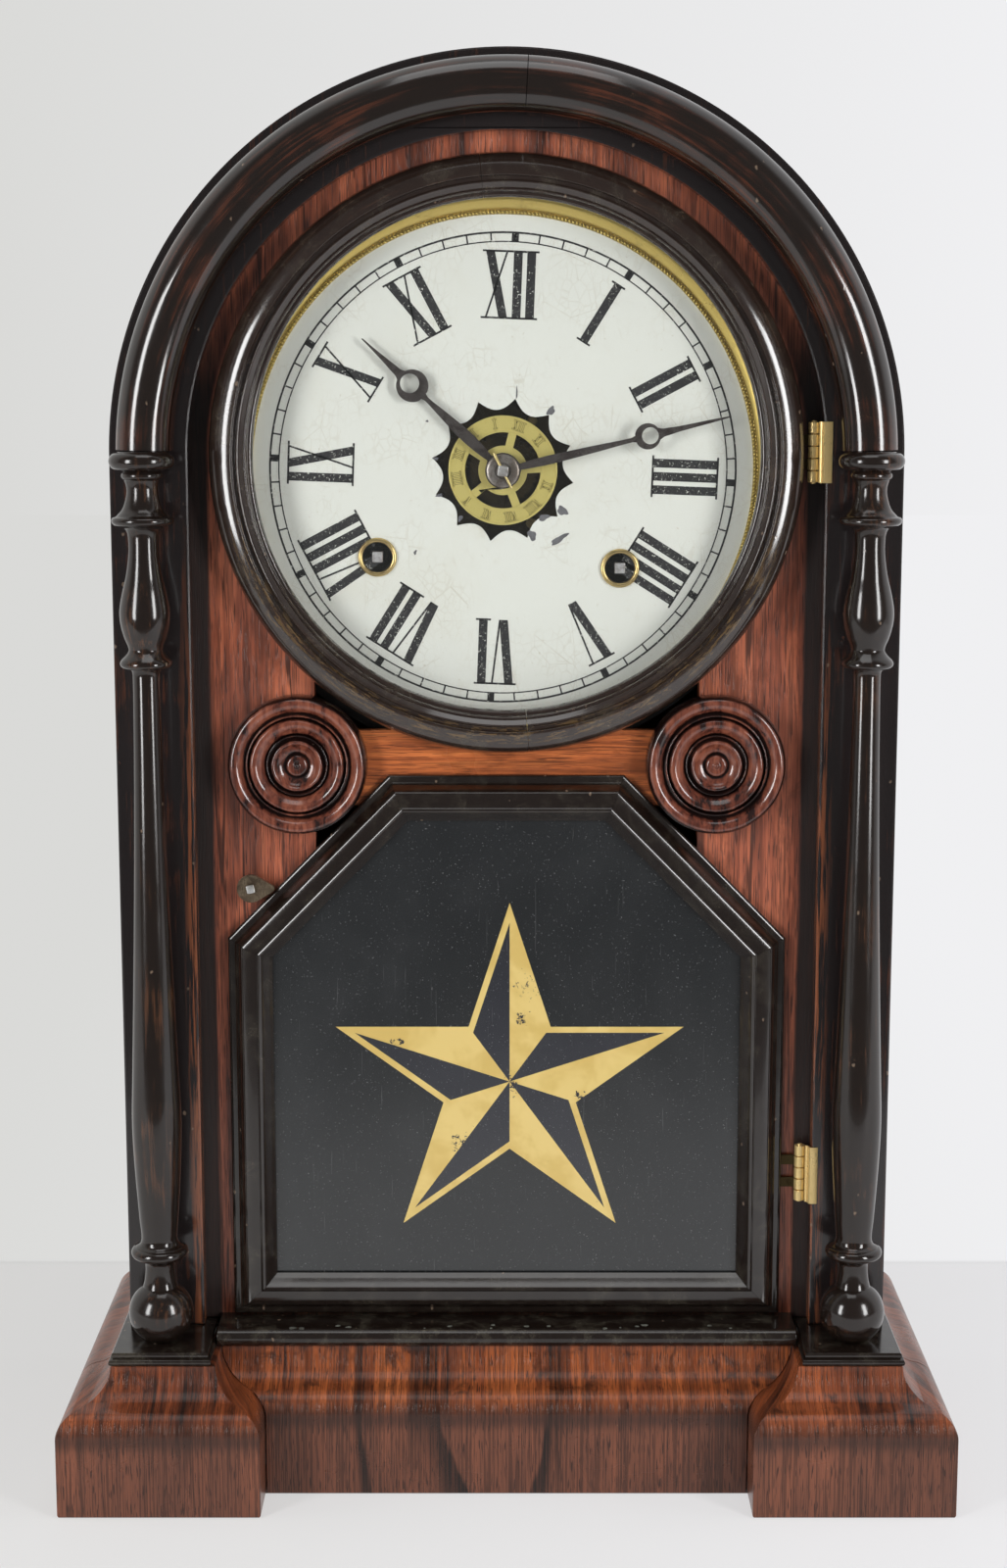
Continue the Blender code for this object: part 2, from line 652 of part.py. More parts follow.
def build_door():
    """Ring, lower frame, backing rail, roundels and glasses, all turning about the hinge line."""
    axis = (HINGE_X, HINGE_Y, 0.0)
    rebate = RING_INNER + GLASS_REBATE
    sight = GLASS_THICK + GAP
    ring = [(RING_OUTER, 0.0), (RING_OUTER, RING_EDGE)]
    width = RING_OUTER - RING_INNER
    round_width = width * RING_ROUND_SHARE
    for across, rise in arc_points((0.0, 0.0), 1.0, 0.0, 90.0, 4)[1:]:
        ring.append((RING_OUTER - round_width * (1.0 - across), RING_EDGE + (RING_THICK - RING_EDGE) * rise))
    ring += [(RING_INNER + width * share, RING_THICK - drop) for share, drop in RING_BEADS]
    ring += [(RING_INNER, sight), (rebate, sight), (rebate, 0.0)]
    ring = [(radius, DOOR_Y - rise) for radius, rise in ring]
    add("door_ring", turned(ring, 44, (0.0, ARCH_CENTRE_Z), "Y", True), "ebonised", axis)
    glass = rebate - GAP
    pane = [(0.0, DOOR_Y), (glass, DOOR_Y), (glass, DOOR_Y - GLASS_THICK), (0.0, DOOR_Y - GLASS_THICK)]
    add("dial_glass", turned(pane, 44, (0.0, ARCH_CENTRE_Z), "Y"), "clear_glass", axis)
    outline = lower_outline()
    sight_lap = LOWER_MOULDING - GLASS_REBATE
    moulding = list(LOWER_FILLET)
    cove_inset, cove_width, cove_foot = LOWER_COVE
    for across, rise in arc_points((0.0, 1.0), 1.0, -90.0, 0.0, 4):
        moulding.append((cove_inset + cove_width * across, cove_foot + (LOWER_THICK - cove_foot) * rise))
    moulding += [(distance, LOWER_THICK - drop) for distance, drop in LOWER_RIDGE]
    moulding.append((LOWER_MOULDING, sight + LOWER_LIP))
    moulding += [(LOWER_MOULDING, sight), (sight_lap, sight), (sight_lap, 0.0)]
    add("door_lower_frame", mitred(outline, moulding, DOOR_Y), "ebonised", axis)
    tablet = inset(outline, sight_lap + GAP)
    add("tablet_glass", plate(tablet, DOOR_Y - GLASS_THICK, DOOR_Y), "black_glass", axis)
    rail_front = DOOR_Y + GAP
    add("door_rail", block(
        -RAIL_HALF_LENGTH, RAIL_HALF_LENGTH, rail_front, rail_front + RAIL_THICK, RAIL_BOTTOM_Z, RAIL_TOP_Z),
        "veneer", axis)
    for side, word in ((-1.0, "left"), (1.0, "right")):
        add("roundel_" + word, turned(
            roundel_profile(), 20, (side * ROUNDEL_X, ROUNDEL_Z), "Y"), "ebonised", axis)


def roundel_profile():
    """Radius and Y of the turned roundel, from its back to the button in its middle."""
    shape = ROUNDEL_RIM_SHARE + ROUNDEL_RIDGE_SHARE + ROUNDEL_BUTTON_SHARE
    return [(ROUNDEL_RADIUS * radius, DOOR_Y - ROUNDEL_RISE * rise) for radius, rise in shape]


def build_hinges():
    """Two butt hinges: knuckles shared in turn between the door leaf and the case leaf with its pin."""
    axis = (HINGE_X, HINGE_Y, 0.0)
    pitch = HINGE_HEIGHT / KNUCKLES
    bore = HINGE_PIN_RADIUS + GAP
    leaf_y = (HINGE_Y + KNUCKLE_RADIUS - HINGE_LEAF, HINGE_Y + KNUCKLE_RADIUS)
    for word, foot in (("upper", UPPER_HINGE_Z), ("lower", LOWER_HINGE_Z)):
        pin = [(0.0, foot)]
        tubes = []
        for i in range(KNUCKLES):
            low = foot + pitch * i
            high = low + pitch
            if i % 2 == 0:
                pin += [(KNUCKLE_RADIUS, low), (KNUCKLE_RADIUS, high)]
                if i < KNUCKLES - 1:
                    pin += [(HINGE_PIN_RADIUS, high), (HINGE_PIN_RADIUS, high + pitch)]
            else:
                low += GAP
                high -= GAP
                wall = [(KNUCKLE_RADIUS, low), (KNUCKLE_RADIUS, high), (bore, high), (bore, low)]
                tubes.append(add(word + "_knuckle_%d" % i, turned(
                    wall, 10, (HINGE_X, HINGE_Y), "Z", True), "brass"))
                tubes.append(add(word + "_tab_%d" % i, block(
                    HINGE_X - HINGE_LEAF_REACH / 2, HINGE_X - bore, *leaf_y, low, high), "brass"))
        pin.append((0.0, foot + HINGE_HEIGHT))
        case_leaf = add(word + "_hinge_case_leaf", turned(pin, 10, (HINGE_X, HINGE_Y)), "brass")
        flaps = []
        for i in range(0, KNUCKLES, 2):
            low = foot + pitch * i
            flaps.append(add(word + "_flap_%d" % i, block(
                HINGE_X + HINGE_PIN_RADIUS, HINGE_X + KNUCKLE_RADIUS, *leaf_y,
                low + GAP / 2, low + pitch - GAP / 2), "brass"))
        combine(case_leaf, flaps, "UNION")
        door_leaf = add(word + "_hinge_door_leaf", block(
            HINGE_X - HINGE_LEAF_REACH, HINGE_X - KNUCKLE_RADIUS - GAP, *leaf_y, foot, foot + HINGE_HEIGHT),
            "brass", axis)
        combine(door_leaf, tubes, "UNION")


def build_latch():
    """Turn button: a boss on the panel carries a tapered nose that reaches over the door's edge."""
    back = PANEL_Y - GAP
    step = back - LATCH_BOSS
    front = step - LATCH_PLATE
    centre = (LATCH_X, LATCH_Z)
    slope = math.degrees(math.acos((LATCH_RADIUS - LATCH_TIP) / LATCH_NOSE))
    outline = arc_points(centre, LATCH_RADIUS, slope, 360.0 - slope, 18)
    outline += arc_points((LATCH_X + LATCH_NOSE, LATCH_Z), LATCH_TIP, -slope, slope, 6)
    bore = ring_points(LATCH_BORE, 12, centre)
    button = add("latch_button", plate(outline, front, step, [bore]), "brass", (LATCH_X, step, LATCH_Z))
    boss = [(LATCH_RADIUS - 1.0, back), (LATCH_RADIUS - 1.0, step - LATCH_PLATE / 2)]
    boss += [(LATCH_BORE, step - LATCH_PLATE / 2), (LATCH_BORE, back)]
    combine(button, [add("latch_boss", turned(boss, 12, centre, "Y", True), "brass")], "UNION")
    shank = LATCH_BORE - GAP
    screw = [(0.0, back), (shank, back), (shank, front - GAP), (LATCH_SCREW_HEAD, front - GAP)]
    screw += [(LATCH_SCREW_HEAD, front - GAP - 0.5), (LATCH_SCREW_HEAD / 2, front - GAP - 1.1)]
    screw.append((0.0, front - GAP - 1.2))
    add("latch_screw", turned(screw, 12, centre, "Y"), "steel")


def scallop_outline():
    """The dial's centre hole: a ring of scallops meeting in outward points."""
    points = []
    pitch = 360.0 / STAR_SCALLOPS
    for i in range(STAR_SCALLOPS):
        for share, bulge in ((0.0, 0.0), (0.25, 0.8), (0.5, 1.0), (0.75, 0.8)):
            angle = math.radians(STAR_TURN_DEG + pitch * (i + share))
            radius = STAR_CUSP - (STAR_CUSP - STAR_WAIST) * bulge
            points.append(movement_point(radius * math.cos(angle), radius * math.sin(angle)))
    return points


def build_dial():
    """Painted dial behind the panel, the brass sash round it and the two winding grommets."""
    centre = (DIAL_X, DIAL_Z)
    tube = GROMMET_INNER + GROMMET_WALL
    holes = [scallop_outline()]
    for x in (-WINDING_X, WINDING_X):
        holes.append(ring_points(tube + GAP, 16, movement_point(x, -WINDING_DROP)))
    add("dial_pan", plate(
        ring_points(DIAL_RADIUS, 44, centre), DIAL_Y, DIAL_Y + DIAL_THICK, holes), "dial_paint")
    sash_back = DIAL_Y - GAP
    sash = [(SASH_OUTER, sash_back), (SASH_OUTER, sash_back - SASH_RISE)]
    sash.append((SASH_OUTER - SASH_FLAT, sash_back - SASH_RISE))
    sash += [(SASH_INNER, sash_back - SASH_LIP), (SASH_INNER, sash_back)]
    add("dial_sash", turned(sash, 44, centre, "Y", True), "brass")
    for word, x in (("left", -WINDING_X), ("right", WINDING_X)):
        lip = [(GROMMET_OUTER, DIAL_Y - GAP), (GROMMET_OUTER - 0.4, DIAL_Y - GAP - 0.8)]
        lip += [(GROMMET_INNER, DIAL_Y - GAP - 0.6), (GROMMET_INNER, DIAL_Y + DIAL_THICK + 0.8)]
        lip += [(tube, DIAL_Y + DIAL_THICK + 0.8), (tube, DIAL_Y - GAP)]
        add("grommet_" + word, turned(lip, 16, movement_point(x, -WINDING_DROP), "Y", True), "brass")


def hand_outline(length, eye, boss, angle_deg):
    """A tapering hand with a round eye and a teardrop point, and its eye hole, at an angle from twelve."""
    reach, eye_radius, hole_radius = eye
    right = arc_points((0.0, 0.0), boss, -270.0, 72.0, 16)
    stem = [(1.3, boss + 6.0), (1.1, reach - eye_radius - 1.0)]
    bulge = arc_points((0.0, reach), eye_radius, -68.0, 62.0, 6)
    point = [(0.9, reach + eye_radius + 0.6), (0.7, length - 8.0), (1.5, length - 4.5), (0.25, length)]
    half = stem + bulge + point
    outline = [p for p in right if p[1] < boss * 0.93] + half + [(-x, z) for x, z in reversed(half)]
    hole = ring_points(hole_radius, 12, (0.0, reach + (eye_radius - hole_radius) * 0.35))
    turn = -math.radians(angle_deg)

    def turned_point(p):
        return (
            DIAL_X + p[0] * math.cos(turn) - p[1] * math.sin(turn),
            DIAL_Z + p[0] * math.sin(turn) + p[1] * math.cos(turn),
        )

    return [turned_point(p) for p in outline], [turned_point(p) for p in hole]


# Radii of the pipes on the centre line, each running in the next
CENTRE_TIP = 1.2
CANNON_PIPE = CENTRE_TIP + GAP + 0.8
HOUR_PIPE = CANNON_PIPE + GAP + 0.8
ALARM_Y = DIAL_Y - 0.4
HOUR_HAND_Y = ALARM_Y - 2.4
MINUTE_HAND_Y = HOUR_HAND_Y - 2.2


def build_hands():
    """Alarm disc in the dial's centre hole, then the hour hand and the minute hand in front of it."""
    centre = (DIAL_X, DIAL_Z)
    origin = (DIAL_X, DIAL_Y, DIAL_Z)
    rim = ring_points(ALARM_OUTER, 30, centre)
    windows = []
    pitch = 360.0 / ALARM_SPOKES
    for i in range(ALARM_SPOKES):
        low = 16.0 + pitch * i
        inner_half = math.degrees(math.asin(ALARM_SPOKE / 2 / ALARM_HUB))
        outer_half = math.degrees(math.asin(ALARM_SPOKE / 2 / ALARM_RIM))
        window = arc_points(centre, ALARM_RIM, low + outer_half, low + pitch - outer_half, 4)
        window += arc_points(centre, ALARM_HUB, low + pitch - inner_half, low + inner_half, 2)
        windows.append(window)
    windows.append(ring_points(HOUR_PIPE + GAP, 16, centre))
    add("alarm_disc", plate(rim, ALARM_Y, ALARM_Y + 1.0, windows), "brass", origin)
    outline, eye = hand_outline(HOUR_LENGTH, HOUR_EYE, HAND_BOSS, HOUR_ANGLE_DEG)
    bore = ring_points(HOUR_PIPE + GAP, 16, centre)
    back = HOUR_HAND_Y + HAND_THICK
    add("hour_hand", plate(outline, HOUR_HAND_Y, back, [eye, bore]), "steel", origin)
    outline, eye = hand_outline(MINUTE_LENGTH, MINUTE_EYE, HAND_BOSS, MINUTE_ANGLE_DEG)
    bore = ring_points(CANNON_PIPE + GAP, 12, centre)
    back = MINUTE_HAND_Y + HAND_THICK
    add("minute_hand", plate(outline, MINUTE_HAND_Y, back, [eye, bore]), "steel", origin)


def wheel(name, teeth, module, place, y_front, turn, bore):
    """A toothed brass wheel pierced for its arbor, helper to the arbor that carries it."""
    outline = tooth_ring(teeth, module, *WHEEL_TOOTH, turn)
    centre = movement_point(*place)
    return add(name, plate(
        shifted(outline, centre), y_front, y_front + WHEEL_THICK, [ring_points(bore, 8, centre)]), "brass")


def pinion(name, leaves, module, place, y_front, length, turn):
    """A leaved steel pinion, helper to the arbor that carries it."""
    outline = tooth_ring(leaves, module, *PINION_TOOTH, turn)
    return add(name, plate(shifted(outline, movement_point(*place)), y_front, y_front + length), "steel")


def arbor(name, place, steps, key="steel"):
    """A turned arbor from (radius, Y) points, with its origin on its own axis."""
    centre = movement_point(*place)
    return add(name, turned(steps, 10, centre, "Y"), key, (centre[0], FRONT_PLATE_Y, centre[1]))


def between_plates():
    """Radius and Y points of an arbor with a pivot in each plate."""
    front = FRONT_PLATE_Y + 0.2
    back = MOVEMENT_BACK_Y - 0.2
    return [
        (0.0, front), (PIVOT_RADIUS, front), (PIVOT_RADIUS, PLATE_INNER_Y + GAP),
        (ARBOR_RADIUS, PLATE_INNER_Y + GAP), (ARBOR_RADIUS, BACK_PLATE_Y - GAP),
        (PIVOT_RADIUS, BACK_PLATE_Y - GAP), (PIVOT_RADIUS, back), (0.0, back),
    ]


def direction(start, end):
    """Angle of the line from one arbor to another as they hang in the case."""
    a = Vector(movement_point(*start))
    b = Vector(movement_point(*end))
    return math.atan2(b.y - a.y, b.x - a.x)


def in_mesh(teeth, driver, driven):
    """Turn that puts a space between two teeth of a wheel on the line to its neighbour."""
    return direction(driver, driven) + math.pi / teeth


def build_plates():
    """Front plate and back plate with its pillars, pierced for the pivots, on two strips of the backboard."""
    corners = [
        (-PLATE_HALF_WIDTH, PLATE_BOTTOM), (PLATE_HALF_WIDTH, PLATE_BOTTOM),
        (PLATE_HALF_WIDTH, PLATE_TOP), (-PLATE_HALF_WIDTH, PLATE_TOP),
    ]
    outline = [movement_point(*p) for p in corners]
    pivots = [SECOND_ARBOR, THIRD_ARBOR, ESCAPE_ARBOR, VERGE_ARBOR, TIME_ARBOR, STRIKE_ARBOR, HAMMER_ARBOR]
    small = PIVOT_RADIUS + PIVOT_CLEARANCE
    large = ARBOR_RADIUS + 1.0 + PIVOT_CLEARANCE
    front_holes = [ring_points(small, 10, movement_point(*p)) for p in pivots[:4] + pivots[6:]]
    front_holes += [ring_points(large, 16, movement_point(*p)) for p in pivots[4:6]]
    front_holes.append(ring_points(PIVOT_RADIUS + PIVOT_CLEARANCE, 10, movement_point(*CENTRE_ARBOR)))
    add("movement_front_plate", plate(outline, FRONT_PLATE_Y, PLATE_INNER_Y, front_holes), "brass")
    back_holes = [ring_points(small, 10, movement_point(*p)) for p in pivots + [CENTRE_ARBOR]]
    back = add("movement_back_plate", plate(outline, BACK_PLATE_Y, MOVEMENT_BACK_Y, back_holes), "brass")
    pillars = []
    inset_by = 1.5 * PILLAR_RADIUS
    for i, (x, z) in enumerate(corners):
        place = movement_point(x - math.copysign(inset_by, x), z - math.copysign(inset_by, z))
        foot = PLATE_INNER_Y + GAP
        head = BACK_PLATE_Y + PLATE_THICK / 2
        post = [(0.0, foot), (PILLAR_RADIUS, foot), (PILLAR_RADIUS, head), (0.0, head)]
        pillars.append(add("pillar_%d" % i, turned(post, 10, place, "Y"), "brass"))
    cock_x, cock_z = movement_point(*VERGE_ARBOR)
    pillars.append(add("suspension_cock", block(
        cock_x - 4.0, cock_x + 4.0, BACK_PLATE_Y + PLATE_THICK / 2, PENDULUM_Y + 4.0,
        cock_z + 4.0, cock_z + 9.0), "brass"))
    combine(back, pillars, "UNION")
    for side, word in ((-1.0, "left"), (1.0, "right")):
        x0 = side * (PLATE_HALF_WIDTH - STRIP_INSET) - STRIP_WIDTH / 2
        add("mounting_strip_" + word, block(
            x0, x0 + STRIP_WIDTH, MOVEMENT_BACK_Y + GAP, BACKBOARD_Y - GAP,
            DIAL_Z + PLATE_BOTTOM + 2.0, DIAL_Z + PLATE_TOP), "pine")


def winding_arbor(name, place, turn):
    """A great wheel on its winding arbor, whose square shows through the dial's grommet."""
    front = DIAL_Y + DIAL_THICK / 2
    back = MOVEMENT_BACK_Y - 0.2
    thick = ARBOR_RADIUS + 1.0
    steps = [
        (0.0, PLATE_INNER_Y - PLATE_THICK - 6.0), (thick, PLATE_INNER_Y - PLATE_THICK - 6.0),
        (thick, BACK_PLATE_Y - GAP), (PIVOT_RADIUS, BACK_PLATE_Y - GAP), (PIVOT_RADIUS, back), (0.0, back),
    ]
    shaft = arbor(name, place, steps)
    x, z = movement_point(*place)
    half = WINDING_SQUARE / 2
    square = add(name + "_square", block(
        x - half, x + half, front, PLATE_INNER_Y - 4.0, z - half, z + half), "steel")
    great = wheel(name + "_teeth", GREAT_TEETH, GREAT_MODULE, place, PLATE_INNER_Y + 20.0, turn, ARBOR_RADIUS)
    return combine(shaft, [square, great], "UNION")


def build_train():
    """Time train from the great wheel up to the escape wheel, and the great wheel of the strike."""
    winding_arbor("time_great_wheel", TIME_ARBOR, in_mesh(GREAT_TEETH, TIME_ARBOR, SECOND_ARBOR))
    winding_arbor("strike_great_wheel", STRIKE_ARBOR, 0.0)
    layer = PLATE_INNER_Y
    second_turn = direction(SECOND_ARBOR, CENTRE_ARBOR)
    second = arbor("second_wheel", SECOND_ARBOR, between_plates())
    combine(second, [
        pinion("second_leaves", SECOND_LEAVES, GREAT_MODULE, SECOND_ARBOR, layer + 18.5, PINION_LENGTH,
               direction(SECOND_ARBOR, TIME_ARBOR)),
        wheel("second_teeth", SECOND_TEETH, SECOND_MODULE, SECOND_ARBOR, layer + 13.0,
              second_turn + math.pi / SECOND_TEETH, PIVOT_RADIUS)], "UNION")
    tip = MINUTE_HAND_Y - 1.6
    shoulder = FRONT_PLATE_Y - GAP
    steps = [(0.0, tip), (CENTRE_TIP, tip), (CENTRE_TIP, shoulder), (PIVOT_RADIUS, shoulder)]
    steps += between_plates()[2:]
    centre = arbor("centre_wheel", CENTRE_ARBOR, steps)
    combine(centre, [
        pinion("centre_leaves", CENTRE_LEAVES, SECOND_MODULE, CENTRE_ARBOR, layer + 11.5, PINION_LENGTH,
               direction(CENTRE_ARBOR, SECOND_ARBOR)),
        wheel("centre_teeth", CENTRE_TEETH, CENTRE_MODULE, CENTRE_ARBOR, layer + 5.0,
              in_mesh(CENTRE_TEETH, CENTRE_ARBOR, THIRD_ARBOR), PIVOT_RADIUS)], "UNION")
    slim = [(min(radius, PIVOT_RADIUS - 0.4), y) for radius, y in between_plates()]
    third = arbor("third_wheel", THIRD_ARBOR, slim)
    combine(third, [
        pinion("third_leaves", THIRD_LEAVES, CENTRE_MODULE, THIRD_ARBOR, layer + 3.5, PINION_LENGTH,
               direction(THIRD_ARBOR, CENTRE_ARBOR)),
        wheel("third_teeth", THIRD_TEETH, THIRD_MODULE, THIRD_ARBOR, layer + 18.0,
              in_mesh(THIRD_TEETH, THIRD_ARBOR, ESCAPE_ARBOR), PIVOT_RADIUS - 0.6)], "UNION")
    escape = arbor("escape_wheel", ESCAPE_ARBOR, slim)
    x, z = movement_point(*ESCAPE_ARBOR)
    rim = []
    pitch = 2.0 * math.pi / ESCAPE_TEETH
    for i in range(ESCAPE_TEETH):
        for share, radius in ((0.0, ESCAPE_RADIUS), (0.3, ESCAPE_RADIUS - 2.0), (0.9, ESCAPE_RADIUS - 2.0)):
            angle = -pitch * (i + share)
            rim.append((x + radius * math.cos(angle), z + radius * math.sin(angle)))
    bore = ring_points(PIVOT_RADIUS - 0.6, 10, (x, z))
    combine(escape, [
        pinion("escape_leaves", ESCAPE_LEAVES, THIRD_MODULE, ESCAPE_ARBOR, layer + 16.5, PINION_LENGTH,
               direction(ESCAPE_ARBOR, THIRD_ARBOR)),
        add("escape_teeth", plate(rim, layer + 24.0, layer + 25.0, [bore]), "brass")], "UNION")


def build_motion_work():
    """Cannon pinion, minute wheel and hour wheel, in front of the front plate."""
    centre = movement_point(*CENTRE_ARBOR)
    layer = FRONT_PLATE_Y - 5.0
    bore = CENTRE_TIP + GAP
    pipe = [(CANNON_PIPE, MINUTE_HAND_Y - 0.9), (CANNON_PIPE, layer + 4.0), (bore, layer + 4.0)]
    pipe.append((bore, MINUTE_HAND_Y - 0.9))
    origin = (DIAL_X, DIAL_Y, DIAL_Z)
    cannon = add("cannon_pinion", turned(pipe, 12, centre, "Y", True), "steel", origin)
    leaves = shifted(tooth_ring(
        CANNON_LEAVES, CANNON_MODULE, *PINION_TOOTH, direction(CENTRE_ARBOR, MINUTE_ARBOR)), centre)
    hole = ring_points(bore + 0.2, 12, centre)
    combine(cannon, [add("cannon_leaves", plate(leaves, layer + 1.0, layer + 4.0, [hole]), "steel")], "UNION")
    place = movement_point(*MINUTE_ARBOR)
    stud = [(0.0, layer - 4.0), (PIVOT_RADIUS, layer - 4.0), (PIVOT_RADIUS, FRONT_PLATE_Y - GAP)]
    stud.append((0.0, FRONT_PLATE_Y - GAP))
    minute = arbor("minute_wheel", MINUTE_ARBOR, stud)
    teeth = shifted(tooth_ring(
        MINUTE_TEETH, CANNON_MODULE, *WHEEL_TOOTH, in_mesh(MINUTE_TEETH, MINUTE_ARBOR, CENTRE_ARBOR)), place)
    combine(minute, [
        add("minute_teeth", plate(teeth, layer + 2.0, layer + 3.2, [ring_points(1.0, 12, place)]), "brass"),
        pinion("minute_leaves", MINUTE_LEAVES, HOUR_MODULE, MINUTE_ARBOR, layer - 3.5, 4.5,
               direction(MINUTE_ARBOR, CENTRE_ARBOR))], "UNION")
    running = CANNON_PIPE + GAP
    sleeve = [(HOUR_PIPE, HOUR_HAND_Y - 0.6), (HOUR_PIPE, layer - 0.5), (running, layer - 0.5)]
    sleeve.append((running, HOUR_HAND_Y - 0.6))
    hour = add("hour_wheel", turned(sleeve, 12, centre, "Y", True), "brass", origin)
    teeth = shifted(tooth_ring(
        HOUR_TEETH, HOUR_MODULE, *WHEEL_TOOTH, in_mesh(HOUR_TEETH, CENTRE_ARBOR, MINUTE_ARBOR)), centre)
    hole = ring_points(running + 0.3, 12, centre)
    combine(hour, [add("hour_teeth", plate(teeth, layer - 2.2, layer - 1.0, [hole]), "brass")], "UNION")


def build_escapement():
    """Verge with its crutch behind the back plate, and the pendulum that it keeps swinging."""
    x, z = movement_point(*VERGE_ARBOR)
    front = FRONT_PLATE_Y + 0.2
    eye = PENDULUM_ROD_RADIUS + 0.8
    eye_wall = 1.4
    reach = PENDULUM_Y - eye - eye_wall / 2
    slim = PIVOT_RADIUS - 0.4
    verge = arbor("verge", VERGE_ARBOR, [(0.0, front), (slim, front), (slim, reach), (0.0, reach)])
    wheel_z = z - (VERGE_RISE - ESCAPE_RISE)
    tip = ESCAPE_RADIUS + PALLET_CLEARANCE
    half = [(tip * math.sin(math.radians(a)), tip * math.cos(math.radians(a))) for a in PALLET_ANGLES]
    half = [(PALLET_BRIDGE, tip + 0.2), half[0], half[1], (PALLET_BRIDGE + 1.2, tip + 1.6)]
    pallets = [(x + a, wheel_z + b) for a, b in half] + [(x + 1.6, z + 1.8), (x - 1.6, z + 1.8)]
    pallets += [(x - a, wheel_z + b) for a, b in reversed(half)]
    strip_y = PLATE_INNER_Y + 23.0
    strip = add("verge_strip", plate(pallets, strip_y, strip_y + 3.0), "steel")
    arm = add("crutch_arm", block(x - 0.8, x + 0.8, reach - 2.0, reach, z - CRUTCH_DROP, z + 0.5), "steel")
    eye_z = z - CRUTCH_DROP
    loop = [(eye + eye_wall, eye_z), (eye + eye_wall, eye_z + 1.6), (eye, eye_z + 1.6), (eye, eye_z)]
    loop_centre = (x, PENDULUM_Y)
    ring = add("crutch_loop", turned(loop, 16, loop_centre, "Z", True), "steel")
    combine(verge, [strip, arm, ring], "UNION")
    bob_z = z - PENDULUM_LENGTH
    foot = bob_z + BOB_RADIUS + GAP
    rod = [(0.0, foot), (PENDULUM_ROD_RADIUS, foot), (PENDULUM_ROD_RADIUS, z - 14.0), (0.5, z - 12.0)]
    rod += [(0.5, z + 4.0 - GAP), (0.0, z + 4.0 - GAP)]
    add("pendulum_rod", turned(rod, 10, (x, PENDULUM_Y)), "steel", (x, PENDULUM_Y, z))
    half = BOB_THICK / 2
    lens = [(0.0, PENDULUM_Y - half), (BOB_RADIUS * 0.55, PENDULUM_Y - half * 0.8)]
    lens += [(BOB_RADIUS * 0.9, PENDULUM_Y - half * 0.35), (BOB_RADIUS, PENDULUM_Y)]
    lens += [(BOB_RADIUS * 0.9, PENDULUM_Y + half * 0.35), (BOB_RADIUS * 0.55, PENDULUM_Y + half * 0.8)]
    lens.append((0.0, PENDULUM_Y + half))
    add("pendulum_bob", turned(lens, 24, (x, bob_z), "Y"), "brass", (x, PENDULUM_Y, z))


def gong_path():
    """Points of the gong wire: a flat spiral from its outer end in to the post."""
    points = []
    count = GONG_TURN_COUNT * GONG_STEP_COUNT
    y = BACKBOARD_Y - 7.0
    for i in range(count + 1):
        angle = 2.0 * math.pi * i / GONG_STEP_COUNT
        radius = GONG_OUTER + (GONG_INNER - GONG_OUTER) * i / count
        points.append(Vector((GONG_X + radius * math.cos(angle), y, GONG_Z + radius * math.sin(angle))))
    end = points[-1]
    middle = Vector((GONG_X, y, GONG_Z))
    inward = (middle - end).normalized()
    stop = (middle - end).length - GONG_POST_RADIUS - GAP
    return points + [end + inward * stop * 0.5, end + inward * stop]


def least_gap(points, radius, skip):
    """Smallest clear distance between parts of a tube that are not neighbours along it."""
    nearest = min((a - b).length for i, a in enumerate(points) for b in points[i + skip:])
    return nearest - 2.0 * radius


